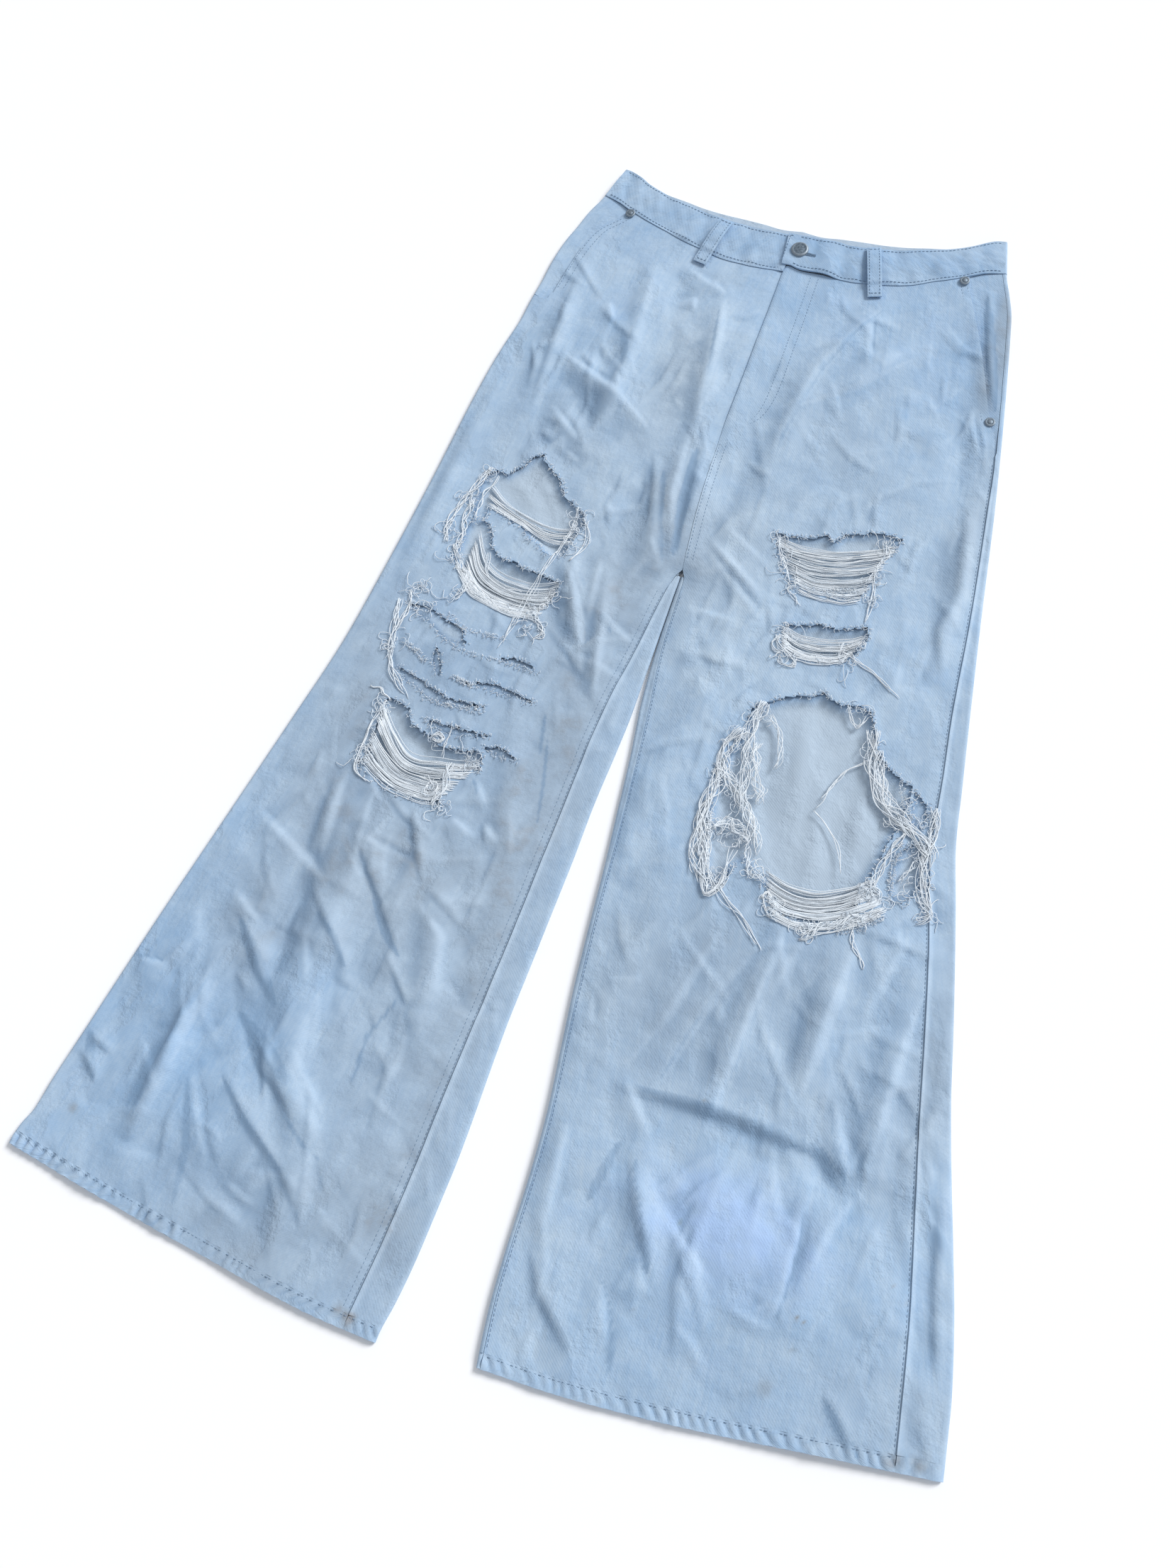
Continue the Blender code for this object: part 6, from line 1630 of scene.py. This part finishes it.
def band_point(layer_name, leg, across, part):
    """A point of the waistband's middle; part is 0 at its top edge and 1 at the seam."""
    base = BAND.wall / 2
    if layer_name == "under":
        down = mix(along(FRONT_BAND_TOP, 1.0), UNDERLAP_BOTTOM, part)
        return mix(*across, part), -down, BAND_TOP_HEIGHT
    top_line = BACK_BAND_TOP if layer_name == "lower" else FRONT_BAND_TOP
    at = 0.0 if layer_name == "fold" else across
    seam_away, seam_down = place(leg, 0.0, at)
    top_away = along(leg.outer, along(top_line, 0.0)) * (1 - at)
    away = mix(top_away, seam_away, part)
    down = mix(along(top_line, at), seam_down, part)
    if layer_name == "fold":
        angle = math.pi * (across - 0.5)
        away -= base + BAND.radius * (1 - math.cos(angle))
        return leg.side * away, -down, base + BAND.radius * (1 + math.sin(angle))
    if layer_name == "lower":
        return leg.side * away, -down, base
    x = leg.side * away
    if layer_name == "over":
        x = mix(*OVERLAP_END, part)
    return x, -down, BAND_TOP_HEIGHT + band_rise(leg, x) + band_relief(x, down, part)


def add_waistband():
    """One strip from the end under the button, round the back, to the buttoned end."""
    one = np.array([[0.0]])
    right_bend = float(tangent(RIGHT, one, DENIM, 0)[0, 0])
    left_bend = float(tangent(LEFT, one, DENIM, 0)[0, 0])
    right_end = float(across_at(RIGHT, one, front_inner_edge(RIGHT))[0, 0])
    left_end = float(across_at(LEFT, one, front_inner_edge(LEFT))[0, 0])
    folds = np.arange(1, FOLD_STEPS) / FOLD_STEPS
    stations = [("under", RIGHT, at) for at in UNDERLAP]
    stations += [("upper", RIGHT, at) for at in np.linspace(right_end, right_bend, 90)]
    stations += [("fold", RIGHT, at) for at in folds[::-1]]
    stations += [("lower", RIGHT, at) for at in np.linspace(right_bend, 0.995, 40)]
    stations += [("lower", LEFT, at) for at in np.linspace(1.0, left_bend, 40)]
    stations += [("fold", LEFT, at) for at in folds]
    stations += [("upper", LEFT, at) for at in np.linspace(left_bend, left_end, 90)]
    stations += [("over", LEFT, left_end)]
    points = np.array([[band_point(*station, part) for station in stations]
                       for part in np.linspace(0, 1, 15)], float)
    points = seam_rope(points, 0.0140, 0.00025, 0.5)
    inside = np.array([[1.0 if station[0] == "lower" else 0.0 for station in stations]] * 15)
    add_cloth("waistband_strip", points, inside, BAND.wall, "waistband", flat=(0.80, 0.045),
              rests_on=["back_panel_left", "back_panel_right"])


def band_top(x, down):
    """Top of the waistband's front at a spot, or of the front panels below it."""
    leg = LEFT if x > 0 or x > OVERLAP_END[0] else RIGHT
    across = min(1.0, max(0.0, 1 - abs(x) / float(along(leg.outer, down))))
    seam = float(place(leg, 0.0, across)[1])
    edge = float(along(FRONT_BAND_TOP, across))
    relief = band_relief(x, down, min(0.99, max(0.01, (down - edge) / (seam - edge))))
    on_band = BAND_TOP_HEIGHT + BAND.wall / 2 + float(band_rise(leg, x)) + relief + 0.0003
    on_front = float(cloth_top(np.array([x]), np.array([down]))[0])
    return mix(on_band, on_front, float(smooth_step((down - seam + 0.001) / 0.004)))


def loop_line(top, bottom):
    """A loop's direction, its sideways direction and its length."""
    run = np.array(bottom) - np.array(top)
    length = np.linalg.norm(run)
    run /= length
    return run, np.array((-run[1], run[0])), length


def loop_underside(middle, side, part):
    """Height of a loop's arched underside; part is 0 at its top end and 1 at its lower end."""
    reach = [band_top(*(middle + side * step)) for step in (-0.006, 0, 0.006)]
    return max(reach) + 0.0004 + LOOP_ARCH * math.sin(math.pi * min(1, max(0, part))) ** 0.5


def add_belt_loops():
    """Belt loops lie over the waistband and step down to the fronts under it."""
    for name, (top, bottom) in LOOPS.items():
        run, side, length = loop_line(top, bottom)
        rows = []
        for part in np.linspace(0, 1, 36):
            middle = np.array(top) + run * length * part
            under = loop_underside(middle, side, part)
            row = []
            for step in np.linspace(-1, 1, 11):
                spot = middle + side * step * LOOP_WIDTH / 2
                edge_ridge = 0.00025 * math.exp(-((abs(step) - 0.75) / 0.1) ** 2)
                crown = 0.0005 * (1 - step ** 4) + edge_ridge
                row.append((spot[0], -spot[1], under + LOOP_WALL / 2 + crown))
            rows.append(row)
        points = np.array(rows)
        add_cloth(name + "_strip", points, no_inside(points), LOOP_WALL, name,
                  flat=(0.013, 0.055), rests_on=["waistband_strip"])


# Torn threads

def strand_mesh(name, points, faces, tints, material, *nodes):
    """One piece of many strands, each with its own tint."""
    mesh = bpy.data.meshes.new(name)
    mesh.from_pydata((points + MOVE).tolist(), [], faces)
    mesh.attributes.new("strand", "FLOAT", "POINT").data.foreach_set("value", tints)
    mesh.polygons.foreach_set("use_smooth", [True] * len(mesh.polygons))
    piece = bpy.data.objects.new(name, mesh)
    bpy.context.scene.collection.objects.link(piece)
    bpy.context.view_layer.update()
    return finish_piece(piece, material, "torn_thread", *nodes)


class Yarns:
    """Strands that become one mesh of thin tubes."""

    def __init__(self, sides=4):
        self.sides = sides
        self.points = []
        self.faces = []
        self.tints = []
        self.count = 0

    def add(self, line, radius, tint):
        """A strand along x, y, z points, thinning at both ends."""
        line = np.asarray(line)
        ahead = np.gradient(line, axis=0)
        ahead /= np.linalg.norm(ahead, axis=1, keepdims=True) + 1e-12
        side = np.cross(ahead, (0, 0, 1.0))
        side /= np.linalg.norm(side, axis=1, keepdims=True) + 1e-12
        up = np.cross(side, ahead)
        angles = 2 * np.pi * np.arange(self.sides) / self.sides
        offset = (side[:, None] * np.cos(angles)[None, :, None]
                  + up[:, None] * np.sin(angles)[None, :, None])
        girth = np.full(len(line), radius)
        girth[0] = girth[-1] = radius * 0.45
        ring = line[:, None] + offset * girth[:, None, None]
        self.points.append(ring.reshape(-1, 3))
        steps = np.arange(len(line) - 1)[:, None] * self.sides
        corner = np.arange(self.sides)[None]
        after = (corner + 1) % self.sides
        start = self.count
        quads = np.stack((steps + corner, steps + self.sides + corner,
                          steps + self.sides + after, steps + after), -1) + start
        self.faces += quads.reshape(-1, 4).tolist()
        self.faces.append([start + at for at in range(self.sides)])
        last = start + (len(line) - 1) * self.sides
        self.faces.append([last + at for at in reversed(range(self.sides))])
        self.tints.append(np.full(len(line) * self.sides, tint))
        self.count += len(line) * self.sides

    def piece(self, name, material, *nodes):
        strand_mesh(name, np.concatenate(self.points), self.faces, np.concatenate(self.tints),
                    material, *nodes)


def smooth_line(points, count):
    """Evenly spaced points on a smooth curve through the given ones."""
    points = np.array(points, float)
    lengths = np.concatenate(([0], np.cumsum(np.linalg.norm(np.diff(points, axis=0), axis=1))))
    lengths += np.arange(len(lengths)) * 1e-6
    at = np.linspace(0, lengths[-1], count)
    return np.stack([along(np.stack((lengths, points[:, axis]), 1), at) for axis in (0, 1)], 1)


def wander(count, size):
    """A smooth random wander that starts at 0."""
    steps = draw.normal(0, 1, count)
    steps = np.convolve(steps, np.ones(4) / 4, mode="same")
    walk = np.cumsum(steps)
    return size * (walk - np.linspace(walk[0], walk[-1], count)) / 3


def lay(flat, keep, lift):
    """Put x, down points on the cloth, with lift above it."""
    z = cloth_top(flat[:, 0], flat[:, 1], keep) + lift
    return np.stack((flat[:, 0], -flat[:, 1], z), 1)


def add_wefts(yarns, group):
    """Rows of weft threads from the first line to the last one."""
    rows, strands, first, last = group
    count = 26
    for row in np.linspace(0, 1, rows):
        share = row + draw.normal(0, 0.35 / rows)
        line = mix(np.array(first), np.array(last), share)
        middle = smooth_line(line, count)
        shared = wander(count, 0.0013)
        for _ in range(strands):
            shift = draw.normal(0, 0.0017)
            flat = middle + np.stack((np.zeros(count), shift + shared + wander(count, 0.0010)), 1)
            flat = flat[draw.integers(0, 2):count - draw.integers(0, 2)]
            lift = YARN_RADIUS + draw.uniform(0, 0.0008)
            yarns.add(lay(flat, draw.uniform(0.25, 0.7), lift),
                      YARN_RADIUS * draw.uniform(0.75, 1.1), draw.uniform(0, 0.3))


def add_rope(yarns, rope):
    """Strands that twist loosely round one line."""
    strands, width, *line = rope
    count = max(14, round(sum(math.dist(a, b) for a, b in zip(line, line[1:])) / 0.003))
    middle = smooth_line(line, count)
    ahead = np.gradient(middle, axis=0)
    side = np.stack((-ahead[:, 1], ahead[:, 0]), 1)
    side /= np.linalg.norm(side, axis=1, keepdims=True) + 1e-9
    part = np.linspace(0, 1, count)
    for _ in range(strands):
        phase = draw.uniform(0, 2 * np.pi)
        turns = draw.uniform(0.8, 2.6) * draw.choice((-1, 1))
        swing = width * draw.uniform(0.3, 1.1) * np.sin(2 * np.pi * turns * part + phase)
        swing = swing + wander(count, 0.0010)
        height = 0.5 + 0.5 * np.cos(2 * np.pi * turns * part + phase)
        flat = middle + side * swing[:, None]
        line_points = lay(flat, 0.6, YARN_RADIUS + 0.0002 + width * 0.5 * height)
        trim = draw.integers(0, max(1, count // 5))
        yarns.add(line_points[:count - trim], YARN_RADIUS * draw.uniform(0.75, 1.1),
                  draw.uniform(0, 0.3))


def add_curl(yarns, x, down, length, turn, radius, tint, lift):
    """A loose end that curls as it lies."""
    count = 12
    step = length / count
    heading = draw.uniform(0, 2 * np.pi) + np.cumsum(
        np.full(count, turn * draw.choice((-1, 1)) / count) + draw.normal(0, 0.35, count))
    flat = np.stack((x + np.cumsum(np.cos(heading)) * step,
                     down + np.cumsum(np.sin(heading)) * step), 1)
    rise = lift * np.sin(np.linspace(0.2, np.pi, count))
    yarns.add(lay(flat, 0.5, radius + 0.0002 + rise), radius, tint)


def add_clump(yarns, clump):
    x, down, radius, strands = clump
    for _ in range(strands):
        angle = draw.uniform(0, 2 * np.pi)
        away = radius * math.sqrt(draw.uniform(0, 1))
        add_curl(yarns, x + away * math.cos(angle), down + away * math.sin(angle),
                 draw.uniform(0.008, 0.024), draw.uniform(2.0, 7.0), FIBRE_RADIUS,
                 draw.uniform(0, 0.5), draw.uniform(0.0004, 0.0030))


def add_end(yarns, root, aim, long, tint):
    """A short torn end that bends as it leaves the cloth."""
    part = np.linspace(0, 1, 6)
    angle = math.atan2(aim[1], aim[0]) + draw.normal(0, 1.0) * part + draw.normal(0, 0.2, 6)
    flat = np.stack((root[0] + np.cumsum(np.cos(angle)) * long / 6,
                     root[1] + np.cumsum(np.sin(angle)) * long / 6), 1)
    lift = FRAY_RADIUS + 0.0002 + draw.uniform(0, 0.0014) * np.sin(part * 2.4)
    yarns.add(lay(flat, 0.8, lift), FRAY_RADIUS * draw.uniform(0.8, 1.2), tint)


def add_fray(yarns, ring):
    """Short ends all round a rip: pale weft at its sides, bluish warp above and below."""
    size = ring.max(0) - ring.min(0)
    longest = 0.0024 if size[1] < 0.030 else 0.0055
    for first, second in zip(ring, np.roll(ring, -1, 0)):
        run = second - first
        length = np.linalg.norm(run)
        if length < 1e-6:
            continue
        inward = np.array((run[1], -run[0])) / length
        spot = first + inward * 0.001
        if not in_ring(spot[:1], spot[1:], ring)[0]:
            inward = -inward
        for _ in range(draw.poisson(length / FRAY_SPACING)):
            outward = draw.uniform(0, 1) < 0.55
            root = first + run * draw.uniform(0, 1) - inward * draw.uniform(0, 0.0012)
            aim = inward * (-1 if outward else 1) + draw.normal(0, 0.6, 2)
            tint = draw.uniform(0, 0.3) if abs(inward[0]) > 0.5 else draw.uniform(0.1, 0.7)
            long = draw.uniform(0.0016, 0.0042 if outward else longest)
            add_end(yarns, root, aim, long, tint)


def add_fringe_line(yarns, line):
    """Short ends that stand along a line on the cloth."""
    middle = smooth_line(line, 40)
    ahead = np.gradient(middle, axis=0)
    for spot, step in zip(middle, ahead):
        for _ in range(draw.poisson(2.5)):
            aim = np.array((-step[1], step[0])) * draw.choice((-1, 1)) / np.linalg.norm(step)
            root = spot + step * draw.uniform(-0.5, 0.5)
            add_end(yarns, root, aim + draw.normal(0, 0.5, 2), draw.uniform(0.0015, 0.0042),
                    draw.uniform(0, 0.6))


def add_threads():
    """All torn threads, in one piece for each bundle of the solids."""
    for bundle, node in (
        ("left thigh", "threads_left_thigh"),
        ("left thigh low", "threads_left_thigh_low"),
        ("left knee inner", "threads_left_knee_inner"),
        ("left knee outer", "threads_left_knee_outer"),
        ("left knee bridge", "threads_left_knee_bridge"),
        ("right side", "threads_right_thigh_side"),
        ("right strip", "threads_right_thigh"),
        ("right knee", "threads_right_knee"),
    ):
        yarns = Yarns()
        for group in WEFTS.get(bundle, ()):
            add_wefts(yarns, group)
        for rope in ROPES.get(bundle, ()):
            add_rope(yarns, rope)
        for clump in CLUMPS.get(bundle, ()):
            add_clump(yarns, clump)
        yarns.piece("torn_threads_" + bundle.replace(" ", "_"), bare_yarn, node)
    yarns = Yarns()
    for group in WEFTS["right thigh"]:
        add_wefts(yarns, group)
    for x, down in ((-0.205, 0.519), (-0.215, 0.520)):
        add_clump(yarns, (x, down, 0.005, 5))
    yarns.piece("torn_threads_right_slot", bare_yarn, "threads_right_slot_side")
    fray = Yarns(sides=3)
    for ring in RINGS:
        add_fray(fray, ring)
    for line in FRINGED:
        add_fringe_line(fray, line)
    fray.piece("frayed_edges", bare_yarn)


# Sewing

STITCH_LENGTH = 0.0028
STITCH_STEP = 0.0036
STITCH_RADIUS = 0.00032
FINE_STITCH_RADIUS = 0.00026
TACK_RADIUS = 0.0004
BUTTONHOLE = (0.0120, 0.0205)
BUTTONHOLE_DOWN = 0.0641


class Stitches:
    """Short raised stitches along lines, made one mesh."""

    def __init__(self):
        self.points = []
        self.faces = []

    def sew(self, flat, height_of, radius=STITCH_RADIUS):
        """Stitch along a dense line of x, down points."""
        flat = np.array(flat, float)
        lengths = np.concatenate(([0], np.cumsum(np.linalg.norm(np.diff(flat, axis=0), axis=1))))
        for start in np.arange(0, lengths[-1] - STITCH_LENGTH, STITCH_STEP):
            ends = []
            for at in (start, start + STITCH_LENGTH):
                x = float(np.interp(at, lengths, flat[:, 0]))
                down = float(np.interp(at, lengths, flat[:, 1]))
                ends.append(np.array((x, -down, height_of(x, down))))
            self.add(*ends, radius)

    def add(self, start, end, radius):
        ahead = (end - start) / np.linalg.norm(end - start)
        side = np.cross(ahead, (0, 0, 1.0))
        side = side / np.linalg.norm(side) * radius
        up = np.array((0, 0, radius))
        first = len(self.points)
        quarter = (end - start) * 0.22
        self.points.append(start - up * 0.8)
        for centre in (start + quarter, end - quarter):
            self.points += [centre + side, centre + up, centre - side, centre - up * 0.6]
        self.points.append(end - up * 0.8)
        near, far = first + 1, first + 5
        for corner in range(4):
            after = (corner + 1) % 4
            self.faces.append((first, near + after, near + corner))
            self.faces.append((near + corner, near + after, far + after, far + corner))
            self.faces.append((far + corner, far + after, first + 9))

    def piece(self, name):
        tints = draw.uniform(0, 1, len(self.points))
        strand_mesh(name, np.array(self.points), self.faces, tints, sewing_yarn)


def cloth_at(x, down):
    return float(cloth_top(np.array([x]), np.array([down]))[0])


def hem_top(x, down):
    leg = LEFT if x > 0 else RIGHT
    height = top_height(leg, np.array([abs(x)]), np.array([down]), HEM)
    return float(height[0]) + HEM.wall / 2


def waist_line(leg, part, start, end, count=160):
    """x, down along the band's front, part of the way from its top edge to its seam."""
    line = []
    for across in np.linspace(start, end, count):
        x, y, _ = band_point("upper", leg, across, part)
        line.append((float(x), float(-y)))
    return line


def add_sewing():
    """Rows of stitches: hems, waistband, pocket mouths, fly and side seams."""
    hems = Stitches()
    for leg, low, high in ((RIGHT, 0.02, 0.985), (LEFT, 0.11, 0.985)):
        across = np.linspace(low, high, 120)
        away, down = place(leg, 1 - HEM_DEPTH + 0.0018, across)
        hems.sew(np.stack((leg.side * away, down), 1), hem_top)
    hems.piece("hem_stitches")

    band = Stitches()
    for leg, end in ((RIGHT, 0.97), (LEFT, 1.0)):
        for part in (0.055, 0.93):
            band.sew(waist_line(leg, part, 0.03, end), band_top)
    end_row = mix(*OVERLAP_END, 0.05) + 0.0022
    band.sew([(end_row, down) for down in np.linspace(0.0450, 0.0800, 20)], band_top)
    for x in np.linspace(*BUTTONHOLE, 13):
        height = band_top(x, BUTTONHOLE_DOWN) + 0.0001
        for side in (-1, 1):
            ends = [np.array((x, -(BUTTONHOLE_DOWN + side * off), height))
                    for off in (0.0004, 0.0019)]
            band.add(*ends, 0.00036)
    band.piece("waistband_stitches")
    # Painted shadow: a dark strand of sewing cotton lies in the buttonhole's slit, where there is only
    # shade
    slit = Yarns(sides=6)
    slit.add([(x, -BUTTONHOLE_DOWN, band_top(x, BUTTONHOLE_DOWN) + 0.0001)
              for x in np.linspace(0.0118, 0.0212, 8)], 0.00045, 4.0)
    slit.piece("buttonhole_slit_shadow", sewing_yarn)

    fly = Stitches()
    for inset in (0.0, 0.0075):
        line = smooth_line(((0.030 - inset, 0.086), (0.030 - inset, 0.160),
                            (0.029 - inset, 0.225), (0.022 - inset * 0.7, 0.252),
                            (0.008 - inset * 0.3, 0.266 - inset * 0.2),
                            (-0.004, 0.272 - inset)), 120)
        fly.sew(line, cloth_at)
    for inset in (0.0020, 0.0075):
        down = np.linspace(0.086, 0.410, 140)
        keep = down > 0.268 if inset > 0.005 else down > 0
        x = along(CENTRE_FRONT, down) + inset
        fly.sew(np.stack((x, down), 1)[keep], cloth_at)
    fly.piece("fly_stitches")

    pockets = Stitches()
    for inset in (0.0018, 0.0078):
        down = np.linspace(0.062, 0.205, 90)
        pockets.sew(np.stack((left_side(down) - inset, down), 1), cloth_at)
        down = np.linspace(0.062, 0.160, 70)
        pockets.sew(np.stack((-along(RIGHT_MOUTH, down) + inset, down), 1), cloth_at)
    pockets.piece("pocket_stitches")

    seams = Stitches()
    for table, side, inset, start, end in (
        (RIGHT_INSEAM, -1, -0.0016, 0.445, 1.085), (RIGHT_INSEAM, -1, -0.0066, 0.445, 1.085),
        (LEFT_INSEAM, 1, 0.0016, 0.445, 1.078), (LEFT_SIDE, 1, -0.0016, 0.245, 1.045),
    ):
        down = np.linspace(start, end, 400)
        x = side * along(table, down) + inset
        seams.sew(np.stack((x, down), 1), cloth_at, FINE_STITCH_RADIUS)
    seams.piece("seam_stitches")

    loops = Stitches()
    for top, bottom in LOOPS.values():
        run, side, length = loop_line(top, bottom)

        def loop_top(x, down):
            spot = np.array((x, down)) - top
            part = float(spot @ run / length)
            step = float(spot @ side) / (LOOP_WIDTH / 2)
            under = loop_underside(np.array(top) + run * length * part, side, part)
            return under + LOOP_WALL + 0.0005 * (1 - step ** 4) + 0.00025

        for step in (-0.72, 0.72):
            line = [np.array(top) + run * at + side * step * LOOP_WIDTH / 2
                    for at in np.linspace(0.001, length - 0.001, 30)]
            loops.sew(line, loop_top)
        for at in (0.0030, length - 0.0030):
            line = [np.array(top) + run * at + side * step * LOOP_WIDTH / 2
                    for step in np.linspace(-0.9, 0.9, 14)]
            loops.sew(line, loop_top, TACK_RADIUS)
    loops.piece("belt_loop_stitches")


# Metal

def select_faces(test):
    bpy.ops.object.mode_set(mode="OBJECT")
    mesh = bpy.context.object.data
    for edge in mesh.edges:
        edge.select = False
    for vertex in mesh.vertices:
        vertex.select = False
    for face in mesh.polygons:
        face.select = test(face)
    bpy.ops.object.mode_set(mode="EDIT")


def turned_metal(name, node, radius, steps):
    """A round piece pressed from a disc: rings pressed in and drawn up one inside another."""
    low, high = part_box(node)
    centre = (low + high) / 2
    height = high.z - low.z
    bpy.ops.object.select_all(action="DESELECT")
    bpy.ops.mesh.primitive_cylinder_add(vertices=40, radius=radius, depth=height * 0.5,
                                        location=(centre.x, centre.y, low.z + height * 0.25))
    piece = bpy.context.object
    piece.name = name
    bpy.ops.object.mode_set(mode="EDIT")
    bpy.ops.mesh.select_mode(type="FACE")
    for inset, rise in steps:
        select_faces(lambda face: face.normal.z > 0.99 and len(face.vertices) > 20)
        bpy.ops.mesh.inset(thickness=inset, depth=0)
        bpy.ops.transform.translate(value=(0, 0, rise * height))
    bpy.ops.object.mode_set(mode="OBJECT")
    bevel = piece.modifiers.new("worn edge", "BEVEL")
    bevel.width = 0.0002
    bevel.segments = 2
    bevel.limit_method = "ANGLE"
    bpy.ops.object.modifier_apply(modifier=bevel.name)
    bpy.ops.object.transform_apply(location=True, rotation=True, scale=True)
    bpy.ops.object.shade_smooth_by_angle(angle=math.radians(40))
    return finish_piece(piece, metal, "aged_metal", node)


def add_metal():
    turned_metal("button_cap", "waist_button", 0.0084,
                 ((0.0007, 0.26), (0.0007, 0.10), (0.0006, 0.02), (0.0008, -0.08),
                  (0.0012, 0.03), (0.0005, 0.04), (0.0018, -0.02), (0.0012, 0.05)))
    for node in ("rivet_right_waist", "rivet_left_waist", "rivet_left_side"):
        turned_metal(node + "_cap", node, 0.0047,
                     ((0.0005, 0.20), (0.0010, 0.05), (0.0006, -0.10), (0.0007, 0.20),
                      (0.0008, 0.10)))


# Floor, light and camera

def add_floor():
    material, shader = new_material("white_paper_board", 0.9)
    shader.inputs["Base Color"].default_value = colour("#FCFCFD")
    shader.inputs["Specular IOR Level"].default_value = 0.1
    bpy.ops.object.select_all(action="DESELECT")
    bpy.ops.mesh.primitive_plane_add(size=14, location=(0, 0, CAD_BOX[0].z))
    floor = bpy.context.object
    floor.name = "floor"
    floor.data.materials.append(material)


def add_light():
    """Soft daylight from the plan's upper right, and an even pale room."""
    world = bpy.data.worlds.new("studio")
    bpy.context.scene.world = world
    world.use_nodes = True
    background = world.node_tree.nodes["Background"]
    background.inputs["Color"].default_value = colour("#F1F5FB")
    background.inputs["Strength"].default_value = 0.55
    lamp = bpy.data.lights.new("window", "SUN")
    lamp.energy = 2.9
    lamp.angle = math.radians(24)
    window = bpy.data.objects.new("window", lamp)
    window.location = (1.5, 1.8, 1.6)
    window.rotation_euler = Vector((-0.55, -0.62, -0.60)).to_track_quat("-Z", "Y").to_euler()
    bpy.context.scene.collection.objects.link(window)


def add_camera():
    """The photograph's view, on a picture 1659 wide and 2212 high."""
    data = bpy.data.cameras.new("photo_view")
    data.lens = 33.84
    data.sensor_width = 36.0
    camera = bpy.data.objects.new("photo_view", data)
    turn = (Matrix.Rotation(math.radians(33.2), 4, "Z")
            @ Matrix.Rotation(math.radians(21.95), 4, "X")
            @ Matrix.Rotation(math.radians(-15.52), 4, "Z"))
    at = Vector((0.2370, -1.0202, 1.1487)) + Vector((*MOVE[:2], 0))
    camera.matrix_world = Matrix.Translation(at) @ turn
    bpy.context.scene.collection.objects.link(camera)
    bpy.context.scene.camera = camera


add_floor()
add_light()
add_camera()
add_panels()
add_hems()
add_facings()
add_waistband()
add_belt_loops()
add_threads()
add_sewing()
add_metal()
bpy.context.scene.view_settings.view_transform = "Standard"
